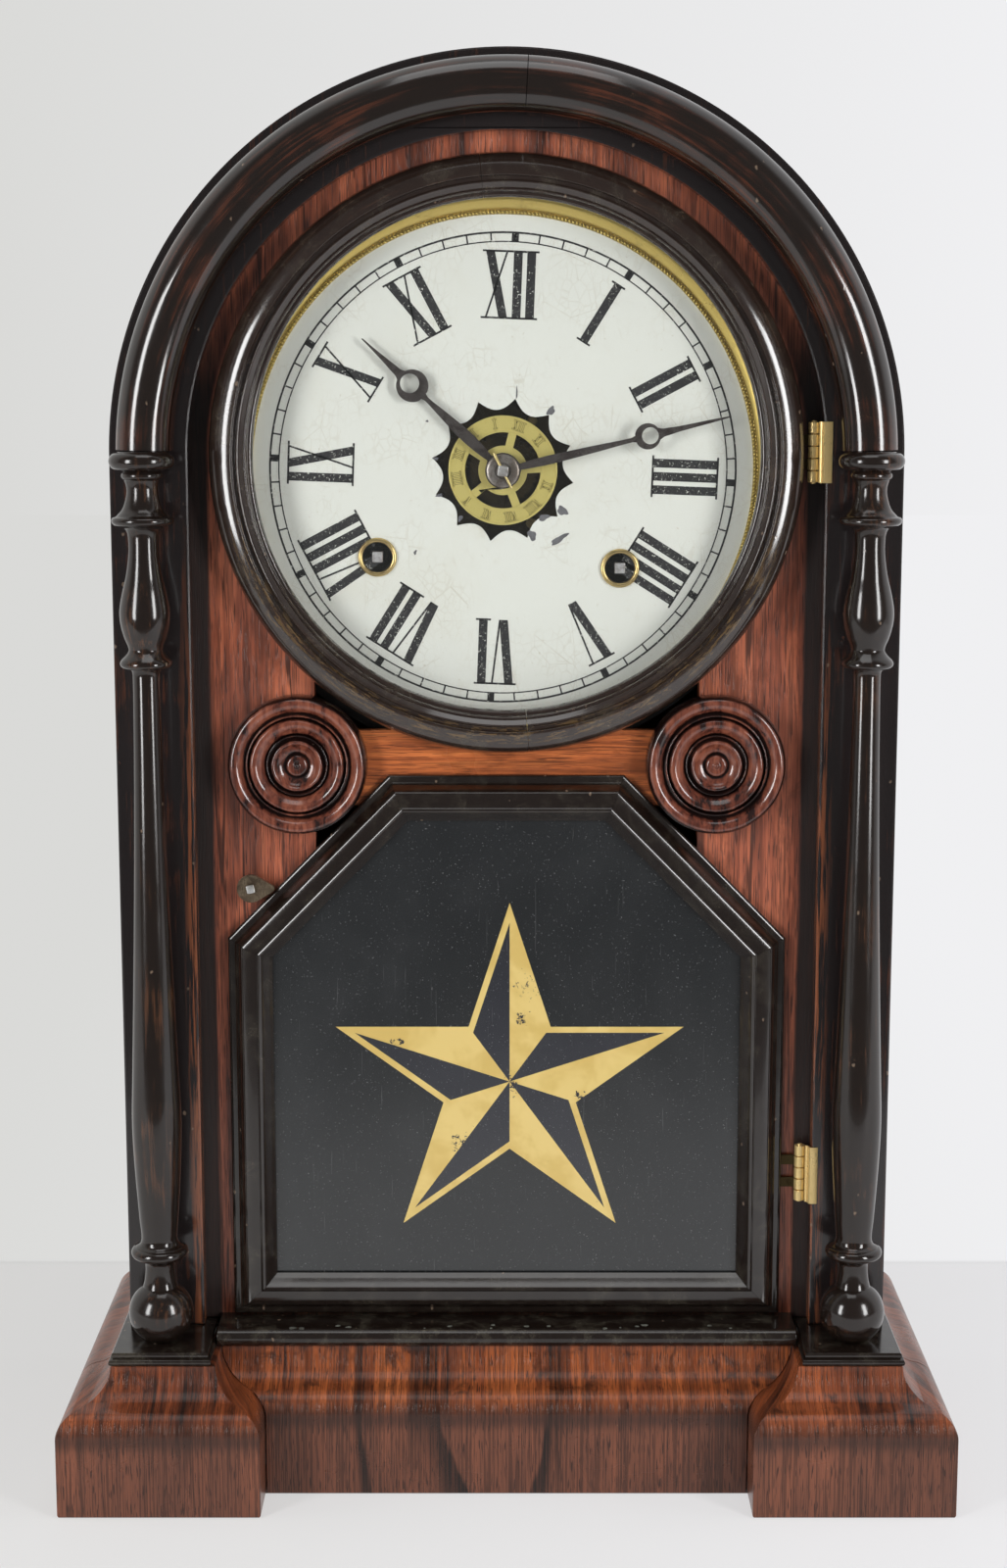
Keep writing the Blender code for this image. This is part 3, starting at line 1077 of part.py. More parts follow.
def build_strike():
    """Coil gong on its post, and the hammer that hangs from the movement beside it."""
    points = gong_path()
    print("gong wire, least gap to itself: %.2f mm" % least_gap(points, GONG_WIRE, GONG_STEP_COUNT // 2))
    curve = bpy.data.curves.new("coil_gong", "CURVE")
    curve.dimensions = "3D"
    curve.bevel_depth = GONG_WIRE * MM
    curve.bevel_resolution = 1
    curve.use_fill_caps = True
    spline = curve.splines.new("POLY")
    spline.points.add(len(points) - 1)
    for spot, point in zip(spline.points, points):
        spot.co = (*(point * MM), 1.0)
    gong = bpy.data.objects.new("coil_gong", curve)
    bpy.context.collection.objects.link(gong)
    finish(gong, "steel")
    back = BACKBOARD_Y - GAP
    flange = GONG_POST_RADIUS + GONG_FLANGE
    post = [(0.0, back), (flange, back), (flange, back - GONG_FLANGE), (GONG_POST_RADIUS, back - GONG_FLANGE)]
    post.append((GONG_POST_RADIUS, back - GONG_POST_HEIGHT + GONG_CHAMFER))
    post.append((GONG_POST_RADIUS - GONG_CHAMFER, back - GONG_POST_HEIGHT))
    post.append((0.0, back - GONG_POST_HEIGHT))
    add("gong_block", turned(post, 20, (GONG_X, GONG_Z), "Y"), "steel")
    x, z = movement_point(*HAMMER_ARBOR)
    head_z = GONG_Z + HAMMER_HEAD
    reach = BACKBOARD_Y - 7.0
    shaft = [(0.0, FRONT_PLATE_Y + 0.2), (PIVOT_RADIUS, FRONT_PLATE_Y + 0.2), (PIVOT_RADIUS, reach + 1.5)]
    hammer = arbor("strike_hammer", HAMMER_ARBOR, shaft + [(0.0, reach + 1.5)])
    head_right = GONG_X - GONG_OUTER - GONG_WIRE - 1.2
    head_left = head_right - 2.0 * HAMMER_HEAD
    rod_x = (head_left + head_right) / 2
    wire = [(rod_x - 1.0, head_z - 2.0), (rod_x + 1.0, head_z - 2.0), (x + 1.0, z), (x - 1.0, z)]
    stem = add("hammer_stem", plate(wire, reach - 1.0, reach + 1.0), "steel")
    head = add("hammer_head", block(
        head_left, head_right, reach - 3.5, reach + 3.5, GONG_Z - HAMMER_HEAD, GONG_Z + HAMMER_HEAD), "brass")
    combine(hammer, [stem, head], "UNION")


def build_alarm():
    """Alarm bell on its post in the corner of the case, with the hammer on a stud beside it."""
    y = (PANEL_BACK_Y + BACKBOARD_Y) / 2
    top = BELL_Z + BELL_HEIGHT
    wall = 1.2
    outer = [(BELL_RADIUS, BELL_Z), (BELL_RADIUS * 0.9, BELL_Z + BELL_HEIGHT * 0.45)]
    outer += [(BELL_RADIUS * 0.6, BELL_Z + BELL_HEIGHT * 0.85), (BELL_RADIUS * 0.3, top), (3.0, top)]
    inner = [(3.0, top - wall), (BELL_RADIUS * 0.3, top - wall), (BELL_RADIUS * 0.6 - wall, top - 3.0 * wall)]
    inner += [(BELL_RADIUS * 0.9 - wall, BELL_Z + BELL_HEIGHT * 0.42), (BELL_RADIUS - wall, BELL_Z)]
    add("alarm_bell", turned(outer + inner, 18, (BELL_X, y), "Z", True), "brass")
    foot = CAP_TOP_Z + GAP
    seat = top - wall - GAP
    shank = BELL_POST_RADIUS - wall
    nut = BELL_POST_FOOT / 2
    post = [(0.0, foot), (BELL_POST_FOOT, foot), (BELL_POST_FOOT, foot + BELL_POST_FLANGE)]
    post += [(BELL_POST_RADIUS, foot + BELL_POST_FLANGE), (BELL_POST_RADIUS, seat), (shank, seat)]
    post += [(shank, top + GAP), (nut, top + GAP), (nut, top + BELL_NUT), (0.0, top + BELL_NUT_TOP)]
    support = add("alarm_bell_post", turned(post, 16, (BELL_X, y)), "steel")
    stud_x = BELL_X - BELL_RADIUS - STUD_REACH
    left = stud_x - CHEEK_HALF
    bar_z = foot + ALARM_BAR_RISE
    bar = add("alarm_bar", block(
        left, BELL_X, y - ALARM_BAR, y + ALARM_BAR, bar_z, bar_z + ALARM_BAR), "steel")
    stud_z = foot + STUD_RISE
    cheek = add("alarm_cheek", block(
        left, stud_x + CHEEK_HALF, y + CHEEK_FACE, y + ALARM_BAR, bar_z, stud_z + CHEEK_HALF), "steel")
    stud_front = y - ALARM_BAR - CHEEK_FACE
    stud_back = y + 2.0 * CHEEK_FACE
    pivot = [(0.0, stud_front), (STUD_RADIUS, stud_front), (STUD_RADIUS, stud_back), (0.0, stud_back)]
    stud = add("alarm_stud", turned(pivot, 12, (stud_x, stud_z), "Y"), "steel")
    combine(support, [bar, cheek, stud], "UNION")
    head_z = BELL_Z + ALARM_HEAD
    eye = ALARM_EYE
    arm = [(-eye, -eye), (eye, -eye), (eye, eye), (ALARM_STEM, STUD_EYE_TOP)]
    arm = [(stud_x + x, stud_z + z) for x, z in arm]
    arm += [(stud_x + ALARM_STEM, head_z - ALARM_BAR), (stud_x + ALARM_HEAD, head_z - ALARM_BAR)]
    arm += [(stud_x + ALARM_HEAD, head_z + ALARM_BAR), (stud_x - ALARM_HEAD / 2, head_z + ALARM_BAR)]
    arm += [(stud_x - ALARM_STEM, stud_z + STUD_EYE_TOP), (stud_x - eye, stud_z + eye)]
    bore = ring_points(STUD_RADIUS + GAP, 12, (stud_x, stud_z))
    add("alarm_hammer", plate(
        arm, y - ALARM_BAR, y + CHEEK_FACE - GAP, [bore]), "steel", (stud_x, y, stud_z))


def main():
    """Clear the scene and build every sub-assembly."""
    for obj in list(bpy.data.objects):
        bpy.data.objects.remove(obj)
    build_base()
    build_case()
    build_columns()
    build_door()
    build_hinges()
    build_latch()
    build_dial()
    build_hands()
    build_plates()
    build_train()
    build_motion_work()
    build_escapement()
    build_strike()
    build_alarm()


main()
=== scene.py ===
"""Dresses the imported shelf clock: veneers, turned mouldings, dial work, gilt tablet and studio.

Sizes are in millimetres until a mesh is written. +X is right, the front faces -Y and +Z is up.
"""
import json
import logging
import math
import random
from dataclasses import dataclass
from enum import Enum
from typing import Any, Iterable, Sequence

import bmesh
import bpy
from mathutils import Matrix, Vector
from mathutils.geometry import tessellate_polygon

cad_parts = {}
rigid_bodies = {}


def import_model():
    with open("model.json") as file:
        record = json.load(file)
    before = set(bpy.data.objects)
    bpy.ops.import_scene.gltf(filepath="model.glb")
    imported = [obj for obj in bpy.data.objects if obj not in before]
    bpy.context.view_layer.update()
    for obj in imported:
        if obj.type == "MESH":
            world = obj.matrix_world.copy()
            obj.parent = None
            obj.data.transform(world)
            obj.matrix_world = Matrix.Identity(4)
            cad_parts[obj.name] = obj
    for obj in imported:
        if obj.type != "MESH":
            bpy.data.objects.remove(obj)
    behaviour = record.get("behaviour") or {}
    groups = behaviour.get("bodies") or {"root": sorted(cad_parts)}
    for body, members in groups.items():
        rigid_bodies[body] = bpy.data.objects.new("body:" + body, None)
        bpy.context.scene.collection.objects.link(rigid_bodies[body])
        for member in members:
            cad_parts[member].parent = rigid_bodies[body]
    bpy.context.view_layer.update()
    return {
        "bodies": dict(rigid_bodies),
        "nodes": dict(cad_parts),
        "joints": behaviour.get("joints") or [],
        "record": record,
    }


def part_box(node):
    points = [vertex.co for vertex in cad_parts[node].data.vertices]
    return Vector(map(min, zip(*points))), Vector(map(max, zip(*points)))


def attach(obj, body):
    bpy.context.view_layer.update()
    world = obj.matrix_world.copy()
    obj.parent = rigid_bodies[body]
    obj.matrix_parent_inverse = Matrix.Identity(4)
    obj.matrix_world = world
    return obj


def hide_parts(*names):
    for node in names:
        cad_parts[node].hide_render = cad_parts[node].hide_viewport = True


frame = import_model()

MM = 0.001
# Angle above which an edge stays sharp, and the shape of an eased edge
SMOOTH_DEG = 35.0
BEVEL_DEG = 40.0
BEVEL_STEPS = 3
# Clearance between pieces, and the depth that painted work is let into its ground
GAP = 0.3
LET_IN = 0.2
# X and Z that the arch and the dial are drawn about
ARCH_CENTRE = (0.0, 332.8)
DIAL_CENTRE = (-1.2, 328.5)
HOURS = ("XII", "I", "II", "III", "IIII", "V", "VI", "VII", "VIII", "IX", "X", "XI")
HOUR_DEG = 360.0 / len(HOURS)
GRAIN = "grain"

Point = tuple[float, float]
Colour = tuple[float, float, float]
Triple = tuple[float, float, float]
Level = tuple[float, float, float, float]
Mesh = bmesh.types.BMesh
Material = bpy.types.Material
Socket = bpy.types.NodeSocket

log = logging.getLogger("clock")


class Grain(Enum):
    """Axis that the wood's streaks follow."""

    ACROSS = 0
    UPRIGHT = 2


class Axis(Enum):
    """Axis that a turned piece is turned about."""

    UPRIGHT = "Z"
    FORWARD = "Y"


class Side(Enum):
    """Left and right hand of the case, as a sign along X."""

    LEFT = -1.0
    RIGHT = 1.0

    @property
    def word(self) -> str:
        """Name of the side as the nodes spell it."""
        return self.name.lower()


class Field:
    """A value that varies over a surface, so that shader maths reads as arithmetic."""

    def __init__(self, book: "NodeBook", socket: Socket) -> None:
        """Keep the socket and the book it belongs to."""
        self.book = book
        self.socket = socket

    def _math(self, operation: str, left: Any, right: Any) -> "Field":
        """Add one Math node.

        Args:
            operation: Name of the Math node's operation.
            left: First value or field.
            right: Second value or field.

        Returns:
            The node's result.
        """
        node = self.book.node("ShaderNodeMath", {"operation": operation}, {0: left, 1: right})
        return Field(self.book, node.outputs[0])

    def __add__(self, other: Any) -> "Field":
        """Sum."""
        return self._math("ADD", self, other)

    __radd__ = __add__

    def __sub__(self, other: Any) -> "Field":
        """Difference."""
        return self._math("SUBTRACT", self, other)

    def __rsub__(self, other: Any) -> "Field":
        """Difference with a number on the left."""
        return self._math("SUBTRACT", other, self)

    def __mul__(self, other: Any) -> "Field":
        """Product."""
        return self._math("MULTIPLY", self, other)

    __rmul__ = __mul__

    def __pow__(self, other: Any) -> "Field":
        """Power."""
        return self._math("POWER", self, other)

    def __abs__(self) -> "Field":
        """Size without its sign."""
        return self._math("ABSOLUTE", self, 0.0)

    def larger(self, other: Any) -> "Field":
        """The larger of two values."""
        return self._math("MAXIMUM", self, other)

    def angle(self, other: "Field") -> "Field":
        """Angle of the way given by two values, in radians."""
        return self._math("ARCTAN2", self, other)

    def hypot(self, other: "Field") -> "Field":
        """Length of the way given by two values."""
        return (self * self + other * other) ** 0.5

    def stepped(self, low: float, high: float) -> "Field":
        """Smooth step from 0 at the low value to 1 at the high value.

        Args:
            low: Value that gives 0.
            high: Value that gives 1.

        Returns:
            The step.
        """
        node = self.book.node("ShaderNodeMapRange", {"interpolation_type": "SMOOTHSTEP"},
                              {"Value": self, "From Min": low, "From Max": high})
        return Field(self.book, node.outputs[0])


class NodeBook:
    """Writes the nodes of one tree."""

    def __init__(self, tree: bpy.types.NodeTree) -> None:
        """Keep the tree."""
        self.tree = tree

    def feed(self, socket: Socket, value: Any) -> None:
        """Link a field or socket, or set a plain value.

        Args:
            socket: Socket that takes the value.
            value: Field, socket, number, colour or vector.
        """
        if isinstance(value, Field):
            self.tree.links.new(value.socket, socket)
        elif isinstance(value, Socket):
            self.tree.links.new(value, socket)
        elif socket.type == "RGBA" and len(value) == 3:
            socket.default_value = (*value, 1.0)
        else:
            socket.default_value = value

    def node(self, kind: str, settings: dict | None = None, sockets: dict | None = None) -> bpy.types.Node:
        """Make any node: its settings first, then its sockets.

        Args:
            kind: Type name of the node.
            settings: Properties of the node, or a ramp's stops.
            sockets: Values or links of its inputs, by name or index.

        Returns:
            The node.
        """
        made = self.tree.nodes.new(kind)
        for key, value in (settings or {}).items():
            if key == "stops":
                self._set_stops(made.color_ramp, value)
            else:
                setattr(made, key, value)
        for key, value in (sockets or {}).items():
            self.feed(made.inputs[key], value)
        return made

    @staticmethod
    def _set_stops(ramp: bpy.types.ColorRamp, stops: Sequence[tuple[float, Colour]]) -> None:
        """Give a ramp its stops in order.

        Args:
            ramp: Ramp to set.
            stops: Place and colour of each stop.
        """
        while len(ramp.elements) < len(stops):
            ramp.elements.new(0.5)
        for element, (place, colour) in zip(ramp.elements, stops):
            element.position = place
            element.color = (*colour, 1.0)

    def blend(self, share: Any, under: Socket, over: Socket) -> Socket:
        """Mix two shaders by a share."""
        return self.node("ShaderNodeMixShader", None, {0: share, 1: under, 2: over}).outputs[0]


class ShaderBook(NodeBook):
    """Writes the node tree of one material."""

    def __init__(self, name: str) -> None:
        """Start a material with its Principled shader.

        Args:
            name: Name of the material.
        """
        self.material = bpy.data.materials.new(name)
        self.material.use_nodes = True
        super().__init__(self.material.node_tree)
        self.shader = self.tree.nodes["Principled BSDF"]
        self.coordinates = self.node("ShaderNodeTexCoord").outputs["Object"]

    def space(self, sizes: Triple | float, shift: float, base: Socket | None = None) -> Socket:
        """Coordinates scaled so that one unit is the given size along each axis.

        Args:
            sizes: Length of one unit along X, Y and Z, or along all three, in millimetres.
            shift: Offset that moves the pattern.
            base: Coordinates to scale, or the object's own.

        Returns:
            The scaled coordinates.
        """
        each = (sizes, sizes, sizes) if isinstance(sizes, float) else sizes
        scale = tuple(1.0 / (size * MM) for size in each)
        node = self.node("ShaderNodeMapping", None, {
            "Vector": base or self.coordinates, "Location": (shift, shift * 0.7, shift * 1.3), "Scale": scale})
        return node.outputs[0]

    def noise(self, sizes: Triple | float, detail: float = 3.0, roughness: float = 0.55, distortion: float = 0.0,
              shift: float = 0.0, base: Socket | None = None) -> Field:
        """Cloudy noise with its own size along each axis.

        Args:
            sizes: Size of a cloud along X, Y and Z, or along all three, in millimetres.
            detail: Number of finer layers.
            roughness: Weight of the finer layers.
            distortion: Amount of swirl.
            shift: Offset that moves the pattern.
            base: Coordinates to use, or the object's own.

        Returns:
            Values around one half.
        """
        node = self.node("ShaderNodeTexNoise", None, {
            "Vector": self.space(sizes, shift, base), "Scale": 1.0, "Detail": detail,
            "Roughness": roughness, "Distortion": distortion})
        return Field(self, node.outputs[0])

    def cells(self, feature: str, sizes: Triple, shift: float) -> Field:
        """A measure of scattered cells with their own size along each axis.

        Args:
            feature: What is measured.
            sizes: Size of a cell along X, Y and Z, in millimetres.
            shift: Offset that moves the pattern.

        Returns:
            The measure.
        """
        node = self.node("ShaderNodeTexVoronoi", {"feature": feature},
                         {"Vector": self.space(sizes, shift), "Scale": 1.0})
        return Field(self, node.outputs[0])

    def cracks(self, sizes: Triple, shift: float = 0.0) -> Field:
        """Distance to the nearest line of a net of cracks, 0 on the line."""
        return self.cells("DISTANCE_TO_EDGE", sizes, shift)

    def specks(self, sizes: Triple, shift: float = 0.0) -> Field:
        """Distance to the nearest of many scattered points, 0 at the point."""
        return self.cells("F1", sizes, shift)

    def component(self, index: int, base: Socket | None = None) -> Field:
        """One of the object's coordinates, or of the coordinates given, in metres."""
        node = self.node("ShaderNodeSeparateXYZ", None, {0: base or self.coordinates})
        return Field(self, node.outputs[index])

    def attribute(self, name: str) -> Socket:
        """Coordinates that the mesh carries."""
        return self.node("ShaderNodeAttribute", {"attribute_name": name}).outputs["Vector"]

    def round_space(self, centre: Point) -> Socket:
        """Coordinates that follow rings about a centre in X and Z.

        Args:
            centre: X and Z of the centre, in millimetres.

        Returns:
            A vector of the length round the ring at 0.1 m radius, the depth and the radius.
        """
        x = self.component(0) - centre[0] * MM
        z = self.component(2) - centre[1] * MM
        node = self.node("ShaderNodeCombineXYZ", None, {0: x.angle(z) * 0.1, 1: self.component(1), 2: x.hypot(z)})
        return node.outputs[0]

    def ramp(self, value: Field, stops: Sequence[tuple[float, Colour]]) -> Socket:
        """Colour of a value between stops."""
        return self.node("ShaderNodeValToRGB", {"stops": stops}, {0: value}).outputs[0]

    def mix(self, mask: Any, under: Any, over: Any) -> Socket:
        """Lay one colour over another where the mask is 1.

        Args:
            mask: Share of the upper colour.
            under: Lower colour.
            over: Upper colour.

        Returns:
            The mixed colour.
        """
        return self.node("ShaderNodeMix", {"data_type": "RGBA"}, {0: mask, 6: under, 7: over}).outputs[2]

    def surface(self, colour: Any, roughness: Any, relief: Field | None = None, depth: float = 0.1,
                metallic: Any = 0.0, coat: float = 0.0, **fixed: Any) -> None:
        """Feed the shader.

        Args:
            colour: Base colour.
            roughness: Roughness.
            relief: Height field for the bump, 0 to 1.
            depth: Height of the bump, in millimetres.
            metallic: Metallic value.
            coat: Weight of the varnish coat.
            fixed: Other sockets of the shader by name with _ for a space, each a plain value.
        """
        values = {"Base_Color": colour, "Roughness": roughness, "Metallic": metallic, "Coat_Weight": coat, **fixed}
        for key, value in values.items():
            self.feed(self.shader.inputs[key.replace("_", " ")], value)
        if relief is not None:
            bump = self.node("ShaderNodeBump", None, {"Height": relief, "Distance": depth * MM, "Strength": 1.0})
            self.feed(self.shader.inputs["Normal"], bump.outputs[0])


@dataclass(frozen=True)
class Finish:
    """A surface that writes its own material."""

    def material(self, name: str) -> Material:
        """Make the material.

        Args:
            name: Name of the material.

        Returns:
            The material.
        """
        book = ShaderBook(name)
        self.write(book)
        return book.material

    def write(self, book: ShaderBook) -> None:
        """Write the surface into a new material."""
        raise NotImplementedError


@dataclass(frozen=True)
class Veneer(Finish):
    """Figured rosewood under old varnish."""

    grain: Grain
    pale: Colour
    red: Colour
    dark: Colour
    band: float = 22.0
    shift: float = 0.0
    level: float = 0.0
    gloss: float = 0.28
    sheen: float = 0.34
    shade_band: Triple | None = None

    def sizes(self, width: float, length: float) -> Triple:
        """Cloud size with its length along the grain.

        Args:
            width: Size across the grain.
            length: Size along the grain.

        Returns:
            Sizes along X, Y and Z.
        """
        sizes = [width, width, width]
        sizes[self.grain.value] = length
        return (sizes[0], sizes[1], sizes[2])

    def write(self, book: ShaderBook) -> None:
        """Write the wood: broad flame figure, black streaks, short pores, scuffs and varnish.

        Args:
            book: Material being written.
        """
        figure = book.noise(self.sizes(self.band, self.band * 7.0), 3.0, 0.55, 0.8, self.shift)
        streak = book.noise(self.sizes(self.band * 0.16, self.band * 7.0), 4.0, 0.65, 0.3, self.shift + 3.0)
        hair = book.noise(self.sizes(0.8, 46.0), 3.0, 0.6, 0.0, self.shift + 5.0)
        tone = (figure * 0.46 + streak * 0.34 + hair * 0.2 - 0.5) * 1.35 + 0.5 + self.level
        strokes = hair.stepped(0.5, 0.6) * 0.5
        middle = tuple(0.45 * a + 0.55 * b for a, b in zip(self.red, self.dark))
        colour = book.ramp(tone, [(0.36, self.dark), (0.44, middle), (0.52, self.red), (0.64, self.pale)])
        pores = book.noise(self.sizes(0.32, 9.0), 1.0, 0.5, 0.0, self.shift + 9.0).stepped(0.56, 0.64)
        black = book.noise(self.sizes(self.band * 0.3, self.band * 9.0), 3.0, 0.6, 1.2, self.shift + 14.0)
        lines = black.stepped(0.6, 0.66)
        marks = (pores * 0.72).larger(lines * 0.85).larger(strokes)
        colour = book.mix(marks, colour, tuple(0.4 * c for c in self.dark))
        old = book.noise(self.sizes(self.band * 0.9, self.band * 2.6), 5.0, 0.7, 0.6, self.shift + 31.0)
        colour = book.mix(old.stepped(0.5, 0.68) * 0.6, colour, tuple(0.3 * c for c in self.red))
        scuff = book.noise(2.2, 4.0, 0.7, 0.4, 2.0).stepped(0.7, 0.76)
        colour = book.mix(scuff * 0.35, colour, (0.3, 0.2, 0.14))
        smear = book.noise(34.0, 3.0, 0.6, 0.5, 7.0)
        roughness = smear * 0.28 + self.gloss - 0.12 + scuff * 0.2
        # Painted shade: a dark, rougher band on the panel beside the frame's inner edge
        if self.shade_band is not None:
            dirt = self.edge(book, streak)
            colour = book.mix(dirt, colour, tuple(0.1 * c for c in self.dark))
            roughness = roughness + dirt * 0.3
        relief = 1.0 - pores * 0.7 + smear * 0.5
        book.surface(colour, roughness, relief, 0.05, coat=0.12, Coat_Roughness=0.12,
                     Specular_IOR_Level=self.sheen)

    def edge(self, book: ShaderBook, streak: Field) -> Field:
        """Painted shade along the inside of a round-topped frame, where the panel meets the proud frame.

        Args:
            book: Material being written.
            streak: Fine figure that frays the edge.

        Returns:
            Share of the painted shade.
        """
        reach, centre_z, fade = self.shade_band or (0.0, 0.0, 0.0)
        up = (book.component(2) - centre_z * MM).larger(0.0)
        radius = book.component(0).hypot(up) + (streak - 0.5) * (3.0 * MM)
        low = book.component(2).stepped((fade + 40.0) * MM, fade * MM)
        return radius.stepped(reach * MM, (reach + 1.8) * MM) * low * 0.97


@dataclass(frozen=True)
class Flame:
    """A black flame in a veneer: sharp towards the pale heart, fading away from it."""

    top: float
    foot: float
    fade: float
    side: Side


@dataclass(frozen=True)
class BentVeneer(Finish):
    """Rosewood veneer bent over a moulding, its grain running up the section."""

    pale: Colour = (0.33, 0.086, 0.028)
    red: Colour = (0.16, 0.04, 0.015)
    dark: Colour = (0.016, 0.0075, 0.0055)
    plain: Colour = (0.215, 0.072, 0.038)
    dull: Colour = (0.09, 0.034, 0.021)
    shoulder: Point = (26.0, 34.0)
    length: float = 47.0
    shift: float = 0.0
    flames: tuple[Flame, ...] = ()

    def write(self, book: ShaderBook) -> None:
        """Write the wood: hair lines up the section, dull on the face and redder above the shoulder, with painted shade
        just under the shoulder.

        Args:
            book: Material being written.
        """
        wrapped = book.attribute(GRAIN)
        across, along = book.component(0, wrapped), book.component(2, wrapped)
        cloud = book.noise((24.0, 24.0, 70.0), 3.0, 0.55, 0.6, self.shift, wrapped)
        streak = book.noise((2.6, 2.6, 90.0), 4.0, 0.62, 0.25, self.shift + 3.0, wrapped)
        hair = book.noise((0.6, 0.6, 40.0), 2.0, 0.6, 0.1, self.shift + 5.0, wrapped)
        pores = book.noise((0.42, 0.42, 6.5), 1.0, 0.5, 0.0, self.shift + 9.0, wrapped).stepped(0.57, 0.66)
        tone = cloud * 0.42 + streak * 0.33 + hair * 0.25
        above = along.stepped(self.shoulder[0] * MM, self.shoulder[1] * MM)
        flat = book.ramp(tone, [(0.36, self.dull), (0.5, tuple((a + b) / 2 for a, b in zip(self.dull, self.plain))),
                                (0.6, self.plain)])
        rich = book.ramp(tone, [(0.4, self.dark), (0.47, self.red), (0.58, self.pale)])
        colour = book.mix(above, flat, rich)
        lines = (hair.stepped(0.48, 0.58) * 0.62).larger(pores * 0.8)
        colour = book.mix(lines, colour, self.dark)
        for flame in self.flames:
            colour = book.mix(self.burn(flame, across, along, streak, hair), colour, tuple(0.6 * c for c in self.dark))
        patches = book.noise((9.0, 9.0, 13.0), 4.0, 0.65, 0.6, self.shift + 12.0, wrapped)
        colour = book.mix(patches.stepped(0.52, 0.68) * above * 0.75, colour, self.dark)
        # Painted shade: the face is darkened in a band just under the shoulder's overhang
        under = along.stepped((self.shoulder[0] - 5.0) * MM, self.shoulder[0] * MM) * (1.0 - above)
        colour = book.mix(under * 0.6, colour, self.dark)
        scuff = book.noise((2.2, 2.2, 3.0), 4.0, 0.72, 0.4, self.shift + 2.0).stepped(0.69, 0.75)
        colour = book.mix(scuff * 0.4, colour, (0.3, 0.19, 0.12))
        smear = book.noise((22.0, 22.0, 16.0), 3.0, 0.6, 0.5, self.shift + 7.0)
        roughness = smear * 0.3 + 0.16 + scuff * 0.2
        relief = 1.0 - lines * 0.8 + smear * 0.2
        book.surface(colour, roughness, relief, 0.06, coat=0.12, Coat_Roughness=0.1, Specular_IOR_Level=0.32)

    def burn(self, flame: Flame, across: Field, along: Field, streak: Field, hair: Field) -> Field:
        """How dark a flame makes the wood.

        Args:
            flame: Flame to draw.
            across: Place across the grain.
            along: Place up the grain.
            streak: Figure that frays the flame.
            hair: Fine lines in its fading side.

        Returns:
            Share of black.
        """
        low = 1.0 - along * (1.0 / (self.length * MM))
        line = low.larger(0.0) ** 2.2 * ((flame.foot - flame.top) * MM) + flame.top * MM
        off = (across - line) * float(flame.side.value) + (streak - 0.5) * (7.0 * MM)
        sharp = off.stepped(-0.5 * MM, 0.9 * MM)
        fading = off.stepped(flame.fade * MM, 1.5 * MM)
        return sharp * fading * ((hair - 0.5) * 1.4 + 0.86)


